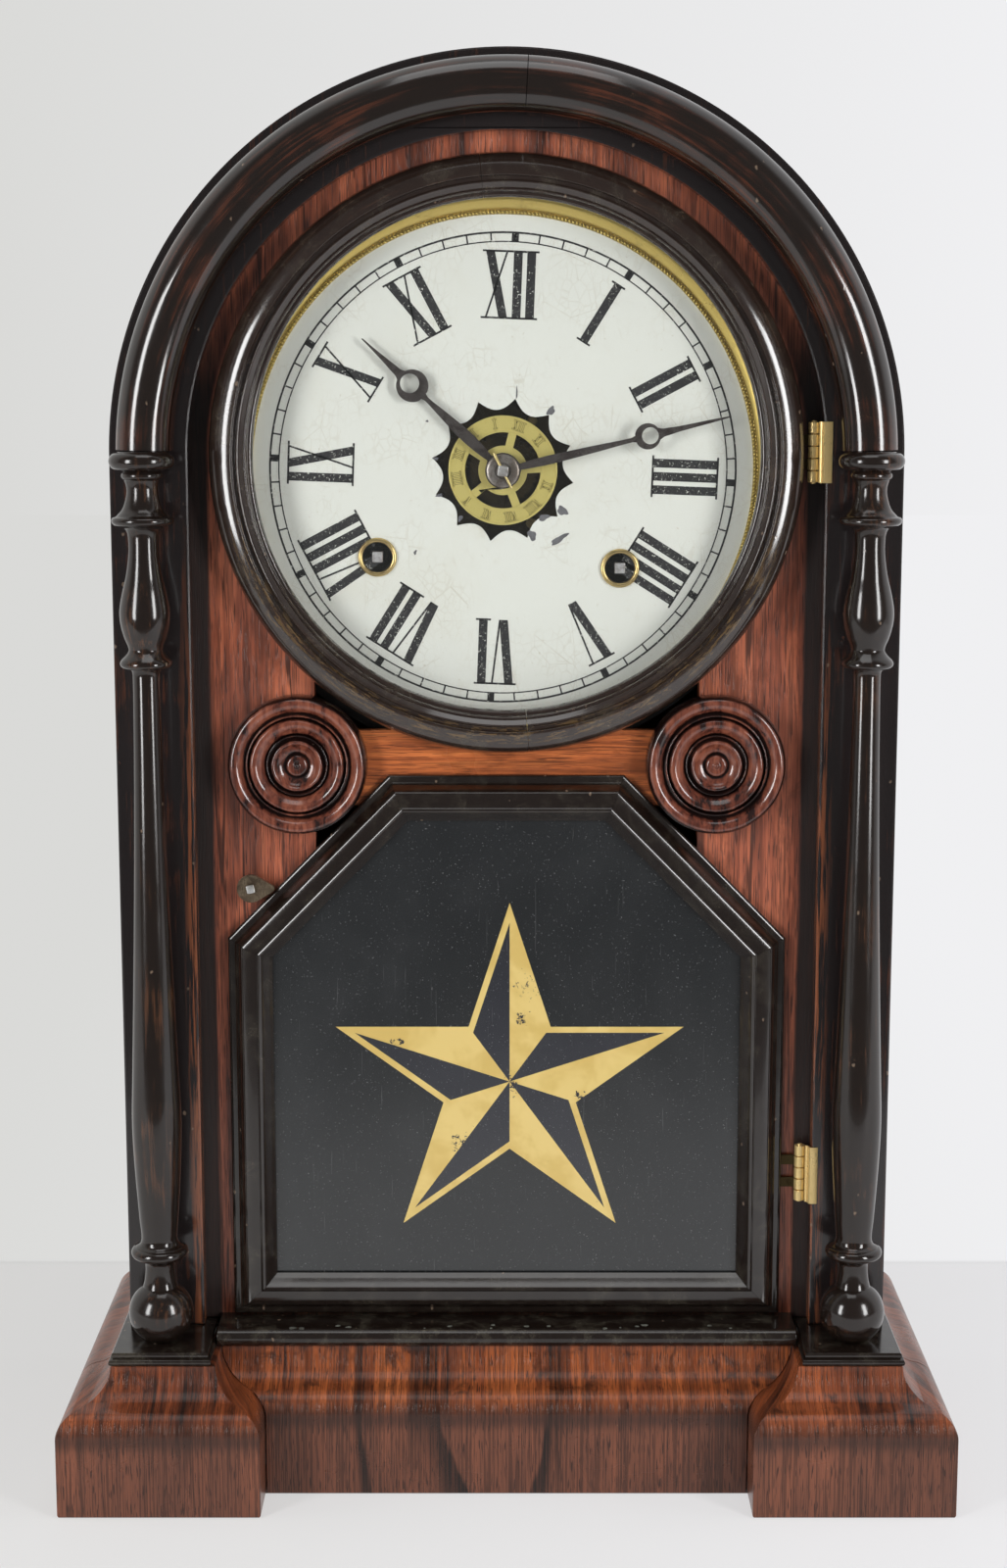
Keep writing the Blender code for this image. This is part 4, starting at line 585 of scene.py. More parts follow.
@dataclass(frozen=True)
class Ebonised(Finish):
    """Black-stained wood, French polished, with brown showing where it has been handled."""

    grain: Grain = Grain.UPRIGHT
    ring_centre: Point | None = None
    black: Colour = (0.0105, 0.0066, 0.005)
    brown: Colour = (0.07, 0.03, 0.015)
    rubbed: Colour = (0.13, 0.065, 0.033)
    wear: float = 0.5
    gloss: float = 0.22
    shift: float = 0.0
    dust: float = 0.0
    flecks: Point | None = None
    edge: float = 0.0
    polish: float = 0.5

    def write(self, book: ShaderBook) -> None:
        """Write the stain, its grain along the piece or round the ring, rubbed places, nicks and dust.

        Args:
            book: Material being written.
        """
        long = [1.3, 1.3, 1.3]
        base = None
        if self.ring_centre is not None:
            base = book.round_space(self.ring_centre)
            long[0] = 30.0
        else:
            long[self.grain.value] = 34.0
        streaks = book.noise((long[0], long[1], long[2]), 4.0, 0.62, 0.2, self.shift, base)
        cloud = book.noise(26.0, 3.0, 0.6, 0.4, self.shift + 4.0)
        brown = (streaks * 0.55 + cloud * 0.45).stepped(0.62 - 0.16 * self.wear, 0.8 - 0.16 * self.wear)
        colour = book.mix(brown, self.black, self.brown)
        rub = book.noise((6.0, 6.0, 9.0), 5.0, 0.72, 0.3, self.shift + 8.0).stepped(0.66, 0.74)
        colour = book.mix(rub * self.wear * 0.8, colour, self.rubbed)
        if self.edge > 0.0:
            near = abs(book.component(0)).stepped((self.edge + 4.0) * MM, self.edge * MM)
            low = book.component(2).stepped(320.0 * MM, 200.0 * MM)
            colour = book.mix(near * low * streaks.stepped(0.44, 0.56) * 0.9, colour, self.rubbed)
        if self.flecks is not None and self.ring_centre is not None:
            radius = book.component(2, base)
            inner, outer = self.flecks
            within = radius.stepped(inner * MM, (inner + 1.6) * MM) * radius.stepped(outer * MM, (outer - 1.6) * MM)
            low = book.component(2).stepped((self.ring_centre[1] - 5.0) * MM, (self.ring_centre[1] - 45.0) * MM)
            fleck = book.noise((7.0, 1.0, 1.0), 5.0, 0.75, 0.3, 23.0, base).stepped(0.5, 0.6)
            colour = book.mix(fleck * within * low * 0.6, colour, (0.15, 0.09, 0.033))
        nick = book.specks((7.0, 7.0, 10.0), self.shift + 2.0)
        ragged = book.noise((1.0, 1.0, 1.6), 2.0, 0.6, 0.0, self.shift)
        nicks = (nick + ragged * 0.16).stepped(0.16, 0.12)
        colour = book.mix(nicks * 0.55, colour, (0.24, 0.17, 0.12))
        if self.dust > 0.0:
            film = book.noise(9.0, 5.0, 0.7, 0.5, self.shift + 17.0).stepped(0.46, 0.7)
            grit = book.noise(0.8, 3.0, 0.7, 0.0, self.shift + 19.0).stepped(0.6, 0.68)
            colour = book.mix((film * 0.22 + grit * film * 0.6) * self.dust, colour, (0.3, 0.27, 0.2))
        smear = book.noise((18.0, 18.0, 30.0), 4.0, 0.6, 0.6, self.shift + 6.0)
        roughness = smear * 0.2 + self.gloss - 0.14 + rub * 0.15
        relief = streaks * 0.5 + smear * 0.6 - nicks * 0.5
        book.surface(colour, roughness, relief, 0.035, coat=0.4 * self.polish, Coat_Roughness=0.05,
                     Specular_IOR_Level=self.polish)


@dataclass(frozen=True)
class TurnedWood(Finish):
    """Red-brown turned wood, black in its grooves, one of a pair mirrored about X."""

    centre: Point
    grooves: tuple[Point, ...]
    red: Colour = (0.125, 0.034, 0.02)
    pale: Colour = (0.24, 0.075, 0.042)
    dark: Colour = (0.016, 0.006, 0.005)

    def write(self, book: ShaderBook) -> None:
        """Write the wood with streaks across, darker in the grooves, and with rubbed crests.

        Args:
            book: Material being written.
        """
        off = abs(book.component(0)) - self.centre[0] * MM
        radius = off.hypot(book.component(2) - self.centre[1] * MM)
        streak = book.noise((2.2, 2.2, 20.0), 4.0, 0.65, 0.4, 3.0)
        cloud = book.noise((9.0, 9.0, 12.0), 4.0, 0.6, 0.6, 9.0)
        tone = streak * 0.5 + cloud * 0.5
        colour = book.ramp(tone, [(0.4, self.dark), (0.49, self.red), (0.6, self.pale)])
        # Darker towards each groove's radius
        dirt = radius.stepped(1000.0, 999.0)
        for place, half in self.grooves:
            away = abs(radius - place * MM) + (cloud - 0.5) * (1.2 * MM)
            dirt = dirt * away.stepped(half * 0.25 * MM, half * MM)
        colour = book.mix(1.0 - dirt, colour, tuple(0.5 * c for c in self.dark))
        grit = book.noise(1.2, 3.0, 0.7, 0.0, 5.0).stepped(0.7, 0.76)
        colour = book.mix(grit * 0.4, colour, (0.32, 0.22, 0.16))
        roughness = cloud * 0.2 + 0.1 + grit * 0.2
        book.surface(colour, roughness, streak * 0.4 + cloud * 0.6, 0.05, coat=0.4, Coat_Roughness=0.1)


@dataclass(frozen=True)
class AgedBrass(Finish):
    """Old lacquered brass, browned in patches."""

    bright: Colour = (0.62, 0.47, 0.2)
    brown: Colour = (0.27, 0.18, 0.075)
    tarnish: float = 0.5
    gloss: float = 0.3
    metal: float = 1.0

    def write(self, book: ShaderBook) -> None:
        """Write the metal with tarnish patches, spots and fine scratches.

        Args:
            book: Material being written.
        """
        patch = book.noise(7.0, 5.0, 0.65, 0.4)
        spots = book.noise(0.9, 2.0, 0.6, 0.0, 4.0).stepped(0.66, 0.76)
        tarnish = patch.stepped(0.66 - 0.26 * self.tarnish, 0.86 - 0.26 * self.tarnish)
        colour = book.mix(tarnish.larger(spots * 0.6), self.bright, self.brown)
        scratch = book.noise((0.25, 3.0, 5.0), 2.0, 0.6, 0.0, 8.0)
        roughness = patch * 0.3 + scratch * 0.12 + self.gloss - 0.18
        book.surface(colour, roughness, scratch, 0.008, metallic=self.metal)


@dataclass(frozen=True)
class DarkSteel(Finish):
    """Steel gone brown-grey with age."""

    bright: Colour = (0.2, 0.18, 0.165)
    brown: Colour = (0.075, 0.058, 0.048)
    gloss: float = 0.38
    metal: float = 0.85

    def write(self, book: ShaderBook) -> None:
        """Write the steel with rust-brown clouding and a fine file grain.

        Args:
            book: Material being written.
        """
        cloud = book.noise(5.0, 5.0, 0.7, 0.3)
        filed = book.noise((0.2, 0.2, 2.4), 2.0, 0.6, 0.0, 5.0)
        colour = book.mix(cloud.stepped(0.42, 0.62), self.bright, self.brown)
        roughness = cloud * 0.3 + filed * 0.14 + self.gloss - 0.2
        book.surface(colour, roughness, filed + cloud, 0.015, metallic=self.metal)


@dataclass(frozen=True)
class DialPaint(Finish):
    """Old white paint on zinc: hairline crazing, ochre stains and chips round the openings."""

    centre: Point
    white: Colour = (0.67, 0.69, 0.63)
    cream: Colour = (0.62, 0.62, 0.53)
    stain: Colour = (0.4, 0.35, 0.24)
    hole: float = 22.0
    painted: float = 85.6

    def write(self, book: ShaderBook) -> None:
        """Write the paint.

        Args:
            book: Material being written.
        """
        cloud = book.noise(38.0, 4.0, 0.6, 0.5)
        colour = book.mix(cloud.stepped(0.5, 0.78) * 0.6, self.white, self.cream)
        net = book.cracks((2.6, 2.6, 3.8))
        wide = book.cracks((11.0, 11.0, 15.0), 5.0)
        fine = book.noise(14.0, 3.0, 0.6, 0.0, 3.0).stepped(0.42, 0.64)
        lines = (net.stepped(0.07, 0.02) * 0.55).larger(wide.stepped(0.012, 0.004)) * fine
        colour = book.mix(lines * 0.3, colour, self.stain)
        x = book.component(0) - self.centre[0] * MM
        z = book.component(2) - self.centre[1] * MM
        radius = x.hypot(z)
        near = radius.stepped((self.hole + 15.0) * MM, self.hole * MM)
        dirt = book.noise(3.5, 5.0, 0.72, 0.3, 6.0)
        colour = book.mix((near * dirt.stepped(0.52, 0.76)) * 0.28, colour, self.stain)
        dots = book.noise(0.8, 1.0, 0.5, 0.0, 9.0).stepped(0.74, 0.8)
        colour = book.mix(dots * 0.6, colour, self.stain)
        chips = book.noise(1.6, 3.0, 0.7, 0.2, 12.5).stepped(0.77, 0.785)
        colour = book.mix(chips * 0.8, colour, (0.11, 0.105, 0.1))
        bare = radius.stepped(self.painted * MM, (self.painted + 0.4) * MM)
        colour = book.mix(bare, colour, (0.012, 0.011, 0.01))
        roughness = cloud * 0.2 + 0.36
        book.surface(colour, roughness, cloud * 0.4 - lines * 0.5 - chips, 0.05)


@dataclass(frozen=True)
class Ink(Finish):
    """Black lettering paint, thin in places."""

    black: Colour = (0.012, 0.012, 0.013)
    thin: Colour = (0.1, 0.1, 0.095)
    ground: Colour = (0.6, 0.61, 0.55)

    def write(self, book: ShaderBook) -> None:
        """Write the ink with worn pinholes.

        Args:
            book: Material being written.
        """
        wear = book.noise(1.1, 4.0, 0.7, 0.0)
        colour = book.mix(wear.stepped(0.56, 0.76), self.black, self.thin)
        lost = book.noise(0.75, 3.0, 0.75, 0.0, 5.0).stepped(0.62, 0.65)
        colour = book.mix(lost * 0.9, colour, self.ground)
        book.surface(colour, wear * 0.3 + 0.3, wear, 0.02)


@dataclass(frozen=True)
class GiltLeaf(Finish):
    """Gold leaf behind glass, with flakes lost to the black ground."""

    gold: Colour = (0.62, 0.44, 0.13)
    pale: Colour = (0.72, 0.54, 0.19)
    ground: Colour = (0.016, 0.017, 0.024)
    losses: tuple[Triple, ...] = ((2.0, 130.0, 7.5), (7.0, 163.0, 8.0), (5.0, 152.0, 5.0), (-15.0, 110.0, 6.5),
                                  (24.0, 126.0, 4.5), (-18.0, 100.0, 5.0), (-36.0, 144.0, 4.0))

    def write(self, book: ShaderBook) -> None:
        """Write the leaf with cloudy tone and flaked places.

        Args:
            book: Material being written.
        """
        cloud = book.noise(16.0, 3.0, 0.6, 0.4)
        colour = book.mix(cloud.stepped(0.4, 0.62), self.gold, self.pale)
        flakes = book.noise((2.2, 2.2, 2.0), 5.0, 0.75, 0.3, 3.4)
        x, z = book.component(0), book.component(2)
        near = flakes * 0.0
        for middle_x, middle_z, reach in self.losses:
            away = (x - middle_x * MM).hypot(z - middle_z * MM)
            near = near.larger(away.stepped(reach * MM, 0.15 * reach * MM))
        lost = (flakes + near * 0.17).stepped(0.7, 0.715)
        colour = book.mix(lost, colour, self.ground)
        grain = book.noise(0.7, 2.0, 0.6)
        book.surface(colour, grain * 0.2 + 0.3, cloud * 0.3 + grain * 0.4 - lost, 0.02,
                     metallic=(1.0 - lost) * 0.12, coat=0.5, Coat_Roughness=0.06)


@dataclass(frozen=True)
class TabletBlack(Finish):
    """Glass painted black behind: deep gloss, dusty film and a few scratches."""

    black: Colour = (0.0105, 0.012, 0.0132)
    dust: Colour = (0.065, 0.067, 0.07)

    def write(self, book: ShaderBook) -> None:
        """Write the tablet.

        Args:
            book: Material being written.
        """
        film = book.noise((40.0, 40.0, 60.0), 4.0, 0.65, 0.5)
        grit = book.noise(0.5, 1.0, 0.5, 0.0, 4.0).stepped(0.72, 0.77)
        scratch = book.noise((0.5, 0.5, 26.0), 2.0, 0.6, 0.9, 6.0).stepped(0.71, 0.74)
        marks = (grit * 0.6).larger(scratch * 0.3)
        colour = book.mix(film.stepped(0.4, 0.8) * 0.16, self.black, self.dust)
        colour = book.mix(marks, colour, (0.2, 0.2, 0.2))
        book.surface(colour, film * 0.05 + 0.22 + grit * 0.2, film, 0.01, Specular_IOR_Level=0.9)


@dataclass(frozen=True)
class PaneGlass(Finish):
    """Thin old window glass, clear with a little dust."""

    tint: Colour = (0.88, 0.92, 0.9)

    def write(self, book: ShaderBook) -> None:
        """Write the pane as a faint film over what is behind it.

        Args:
            book: Material being written.
        """
        film = book.noise((30.0, 30.0, 45.0), 4.0, 0.65, 0.5)
        grit = book.noise(0.6, 1.0, 0.5, 0.0, 4.0).stepped(0.76, 0.82)
        book.feed(book.shader.inputs["Alpha"], film * 0.012 + 0.003 + grit * 0.05)
        book.surface(self.tint, film * 0.1 + 0.02, film, 0.01)


@dataclass(frozen=True)
class Pine(Finish):
    """Plain softwood gone brown inside the case."""

    pale: Colour = (0.36, 0.22, 0.11)
    brown: Colour = (0.17, 0.092, 0.04)

    def write(self, book: ShaderBook) -> None:
        """Write the softwood with broad year rings and dirt.

        Args:
            book: Material being written.
        """
        rings = book.noise((7.0, 7.0, 190.0), 4.0, 0.6, 0.4)
        dirt = book.noise(40.0, 5.0, 0.7, 0.3, 5.0)
        colour = book.mix((rings * 0.6 + dirt * 0.4).stepped(0.38, 0.64), self.pale, self.brown)
        book.surface(colour, dirt * 0.2 + 0.55, rings, 0.15)


def arc(centre: Point, radius: float, start: float, end: float, steps: int) -> list[Point]:
    """Points along an arc, both ends included.

    Args:
        centre: Centre of the arc.
        radius: Radius of the arc.
        start: First angle in degrees.
        end: Last angle in degrees.
        steps: Number of equal steps.

    Returns:
        The points.
    """
    angles = [math.radians(start + (end - start) * i / steps) for i in range(steps + 1)]
    return [(centre[0] + radius * math.cos(a), centre[1] + radius * math.sin(a)) for a in angles]


def swung(point: Point, centre: Point, degrees: float) -> Point:
    """Turn a point drawn about 0 anticlockwise and move it to a centre.

    Args:
        point: Point about 0.
        centre: Where 0 goes.
        degrees: Angle of the turn.

    Returns:
        The moved point.
    """
    c, s = math.cos(math.radians(degrees)), math.sin(math.radians(degrees))
    return (centre[0] + point[0] * c - point[1] * s, centre[1] + point[0] * s + point[1] * c)


def square(centre: Point, half: float, degrees: float = 0.0) -> list[Point]:
    """Corners of a square, anticlockwise."""
    corners = ((-half, -half), (half, -half), (half, half), (-half, half))
    return [swung(corner, centre, degrees) for corner in corners]


def distinct(points: Sequence[Point], least: float = 0.02) -> list[Point]:
    """A run of points without those that all but repeat the one before.

    Args:
        points: Points in order.
        least: Smallest distance kept between two of them.

    Returns:
        The thinner run.
    """
    kept = [points[0]]
    for point in points[1:]:
        if (Vector(point) - Vector(kept[-1])).length > least:
            kept.append(point)
    return kept


def circle(radius: float, steps: int, centre: Point = (0.0, 0.0)) -> list[Point]:
    """Points around a whole circle."""
    return arc(centre, radius, 0.0, 360.0, steps)[:-1]


def flowing(points: Sequence[Point], steps: int = 6) -> list[Point]:
    """A smooth run through points. A point given twice in a row stays a sharp corner.

    Args:
        points: Points to pass through.
        steps: Steps between two points.

    Returns:
        The finer run.
    """
    run: list[Point] = [points[0]]
    for i in range(len(points) - 1):
        a, b = Vector(points[i]), Vector(points[i + 1])
        if (b - a).length < 1e-6:
            continue
        before = Vector(points[i - 1]) if i > 0 else a
        after = Vector(points[i + 2]) if i + 2 < len(points) else b
        span = (b - a).length
        lead = (b - before).normalized() * span if (a - before).length > 1e-6 else b - a
        trail = (after - a).normalized() * span if (after - b).length > 1e-6 else b - a
        for k in range(1, steps + 1):
            t = k / steps
            p = ((2 * t ** 3 - 3 * t ** 2 + 1) * a + (t ** 3 - 2 * t ** 2 + t) * lead
                 + (3 * t ** 2 - 2 * t ** 3) * b + (t ** 3 - t ** 2) * trail)
            run.append((p.x, p.y))
    return run


def lathe(profile: Sequence[Point], steps: int, centre: Point, axis: Axis, hollow: bool = False,
          start: float = 0.0, sweep: float = 360.0) -> Mesh:
    """Turn a profile of (radius, place along the axis) points.

    Args:
        profile: Points of the section.
        steps: Steps round the turn.
        centre: X and Y of an upright axis, X and Z of a forward one.
        axis: Axis of the turn.
        hollow: Whether the section is a closed loop off the axis.
        start: First angle in degrees.
        sweep: Angle turned in degrees.

    Returns:
        A closed mesh.
    """
    whole = abs(sweep) > 359.999
    count = steps if whole else steps + 1
    bm = bmesh.new()
    rings = []
    for radius, place in profile:
        ring = []
        for i in range(count if radius > 1e-6 else 1):
            angle = math.radians(start + sweep * i / steps)
            x, v = centre[0] + radius * math.cos(angle), centre[1] + radius * math.sin(angle)
            ring.append(bm.verts.new((x, v, place) if axis is Axis.UPRIGHT else (x, place, v)))
        rings.append(ring)
    pairs = list(zip(rings, rings[1:])) + ([(rings[-1], rings[0])] if hollow else [])
    for upper, lower in pairs:
        for i in range(steps):
            j = (i + 1) % count
            corners = [upper[i % len(upper)], upper[j % len(upper)], lower[j % len(lower)], lower[i % len(lower)]]
            face = list(dict.fromkeys(corners))
            if len(face) > 2:
                bm.faces.new(face)
    if not whole:
        bm.faces.new([ring[0] for ring in rings])
        bm.faces.new([ring[-1] for ring in reversed(rings)])
    elif not hollow:
        for ring in (rings[0], rings[-1]):
            if len(ring) > 2:
                bm.faces.new(ring)
    return bm


def hoop(radius: float, width: float, front: float, back: float, steps: int, centre: Point) -> Mesh:
    """A flat ring that faces the front.

    Args:
        radius: Radius to the middle of its width.
        width: Width of the ring.
        front: Y of its front.
        back: Y of its back.
        steps: Steps round the turn.
        centre: X and Z of its centre.

    Returns:
        A closed mesh.
    """
    outer, inner = radius + width / 2, radius - width / 2
    return lathe([(outer, back), (outer, front), (inner, front), (inner, back)], steps, centre, Axis.FORWARD, True)


def slab(outline: Sequence[Point], front: float, back: float, holes: Iterable[Sequence[Point]] = ()) -> Mesh:
    """A flat piece seen from the front, with holes, given a thickness along Y.

    Args:
        outline: Outer edge in X and Z.
        front: Y of its front.
        back: Y of its back.
        holes: Edges of the holes.

    Returns:
        A closed mesh.
    """
    loops = [list(outline), *[list(hole) for hole in holes]]
    flat = [Vector((x, z, 0.0)) for loop in loops for x, z in loop]
    bm = bmesh.new()
    fore = [bm.verts.new((p.x, front, p.y)) for p in flat]
    rear = [bm.verts.new((p.x, back, p.y)) for p in flat]
    for a, b, c in tessellate_polygon([[Vector((x, z, 0.0)) for x, z in loop] for loop in loops]):
        bm.faces.new((fore[a], fore[b], fore[c]))
        bm.faces.new((rear[c], rear[b], rear[a]))
    first = 0
    for loop in loops:
        for i in range(len(loop)):
            j = (i + 1) % len(loop)
            bm.faces.new((fore[first + i], fore[first + j], rear[first + j], rear[first + i]))
        first += len(loop)
    return bm


def block(low: Triple, high: Triple) -> Mesh:
    """A plain board between two corners."""
    return slab([(low[0], low[2]), (high[0], low[2]), (high[0], high[2]), (low[0], high[2])], low[1], high[1])


def together(*meshes: Mesh) -> Mesh:
    """Put several closed meshes into one.

    Args:
        meshes: Meshes to join, which are freed.

    Returns:
        The joined mesh.
    """
    joined = bmesh.new()
    for bm in meshes:
        bmesh.ops.recalc_face_normals(bm, faces=bm.faces)
        held = bpy.data.meshes.new("held")
        bm.to_mesh(held)
        bm.free()
        joined.from_mesh(held)
        bpy.data.meshes.remove(held)
    return joined


def inset(outline: Sequence[Point], distance: float) -> list[Point]:
    """Move every edge of an anticlockwise outline inwards.

    Args:
        outline: Corner points.
        distance: Distance moved.

    Returns:
        The new corners.
    """
    moved = []
    for before, here, after in zip([*outline[-1:], *outline[:-1]], outline, [*outline[1:], *outline[:1]]):
        lines = []
        for a, b in ((before, here), (here, after)):
            run = Vector((b[0] - a[0], b[1] - a[1])).normalized()
            normal = Vector((-run.y, run.x))
            lines.append((normal, normal.dot(Vector(a)) + distance))
        (n1, c1), (n2, c2) = lines
        cross = n1.x * n2.y - n1.y * n2.x
        moved.append(((c1 * n2.y - c2 * n1.y) / cross, (n1.x * c2 - n2.x * c1) / cross))
    return moved


def spanned(near: Sequence[Triple], far: Sequence[Triple]) -> Mesh:
    """A length of anything between two matching loops of corners.

    Args:
        near: Corners of one end.
        far: Corners of the other end, in the same order.

    Returns:
        A closed mesh.
    """
    bm = bmesh.new()
    ends = [[bm.verts.new(corner) for corner in loop] for loop in (near, far)]
    for i in range(len(near)):
        j = (i + 1) % len(near)
        bm.faces.new((ends[0][i], ends[0][j], ends[1][j], ends[1][i]))
    bm.faces.new(ends[0])
    bm.faces.new(ends[1])
    return bm


def prism(edge: Sequence[Point], low: float, high: float) -> Mesh:
    """A flat piece with an outline in X and Y between two heights."""
    return spanned([(x, y, low) for x, y in edge], [(x, y, high) for x, y in edge])


def mitred(outline: Sequence[Point], profile: Sequence[Point], back: float, seam: float) -> Mesh:
    """Lengths of moulding round an outline, cut to mitres with a hairline between them.

    Args:
        outline: Corners, anticlockwise.
        profile: (inset, rise) points of the closed section.
        back: Y of the moulding's back.
        seam: Half the width of the hairline.

    Returns:
        One closed mesh for each length, together.
    """
    rings = [inset(outline, distance) for distance, _ in profile]
    lengths = []
    for i in range(len(outline)):
        j = (i + 1) % len(outline)
        run = (Vector(outline[j]) - Vector(outline[i])).normalized() * seam
        lengths.append(spanned(*[
            [(ring[k][0] + shift.x, back - rise, ring[k][1] + shift.y) for ring, (_, rise) in zip(rings, profile)]
            for k, shift in ((i, run), (j, -run))]))
    return together(*lengths)


def stacked(levels: Sequence[Level], back: float) -> Mesh:
    """A block of rectangular levels (left, right, front, height) that share one flat back.

    Args:
        levels: Levels from one end to the other.
        back: Y of the back.

    Returns:
        A closed mesh.
    """
    bm = bmesh.new()
    rings = []
    for left, right, front, z in levels:
        corners = ((left, front, z), (right, front, z), (right, back, z), (left, back, z))
        rings.append([bm.verts.new(corner) for corner in corners])
    for lower, upper in zip(rings, rings[1:]):
        for i in range(4):
            j = (i + 1) % 4
            bm.faces.new((lower[i], lower[j], upper[j], upper[i]))
    bm.faces.new(rings[0])
    bm.faces.new(rings[-1])
    return bm


def box_of(node: str) -> tuple[Triple, Triple]:
    """Lowest and highest corner of a node, in millimetres."""
    low, high = (tuple(value / MM for value in corner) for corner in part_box(node))
    return low, high


class SubAssembly:
    """Pieces of the clock that belong together."""

    def piece(self, name: str, bm: Mesh, material: Material, body: str, slot: str,
              nodes: Sequence[str] = (), bevel: float = 0.0, smooth: float = SMOOTH_DEG) -> bpy.types.Object:
        """Write a mesh as a finished piece that rides on a body.

        Args:
            name: Name of the piece.
            bm: Closed mesh in millimetres.
            material: Finish of the piece.
            body: Body that it moves with.
            slot: Record slot that the finish belongs to.
            nodes: Nodes that the piece stands for.
            bevel: Width of the eased edges.
            smooth: Angle above which an edge stays sharp.

        Returns:
            The piece.
        """
        bmesh.ops.recalc_face_normals(bm, faces=bm.faces)
        mesh = bpy.data.meshes.new(name)
        bm.to_mesh(mesh)
        bm.free()
        mesh.transform(Matrix.Scale(MM, 4))
        obj = bpy.data.objects.new(name, mesh)
        bpy.context.scene.collection.objects.link(obj)
        if bevel > 0.0:
            mesh.shade_smooth()
            mesh.set_sharp_from_angle(angle=math.radians(smooth))
            eased = obj.modifiers.new("eased", "BEVEL")
            eased.width = bevel * MM
            eased.segments = BEVEL_STEPS
            eased.limit_method = "ANGLE"
            eased.angle_limit = math.radians(BEVEL_DEG)
            eased.harden_normals = True
            self.settle(obj)
            return self.place(obj, material, body, slot, nodes, None)
        return self.place(obj, material, body, slot, nodes, smooth)

    @staticmethod
    def settle(obj: bpy.types.Object) -> None:
        """Turn an object's live modifiers into its plain mesh.

        Args:
            obj: Object to settle.
        """
        evaluated = obj.evaluated_get(bpy.context.evaluated_depsgraph_get())
        mesh = bpy.data.meshes.new_from_object(evaluated)
        obj.modifiers.clear()
        obj.data = mesh

    @staticmethod
    def place(obj: bpy.types.Object, material: Material, body: str, slot: str,
              nodes: Sequence[str] = (), smooth: float | None = SMOOTH_DEG) -> bpy.types.Object:
        """Give a settled object its finish and body.

        Args:
            obj: Object whose place is in its mesh.
            material: Finish.
            body: Body that it moves with.
            slot: Not used.
            nodes: Nodes that it stands for.
            smooth: Angle above which an edge stays sharp, or None where the mesh has its shading.

        Returns:
            The piece.
        """
        obj.data.materials.clear()
        obj.data.materials.append(material)
        if smooth is not None:
            obj.data.shade_smooth()
            obj.data.set_sharp_from_angle(angle=math.radians(smooth))
        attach(obj, body)
        if nodes:
            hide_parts(*nodes)
        log.info("%s rides on %s, %d faces", obj.name, body, len(obj.data.polygons))
        return obj

    @staticmethod
    def dress(nodes: Iterable[str], material: Material) -> None:
        """Give nodes that stay in view a finish.

        Args:
            nodes: Names of the nodes.
            material: Finish.
        """
        for node in nodes:
            for held in frame["nodes"][node].material_slots:
                held.material = material
            log.info("%s keeps its shape, finish %s", node, material.name)


class Mark(Enum):
    """Shape that a ring of marks repeats."""

    BAR = "bar"
    BEAD = "bead"


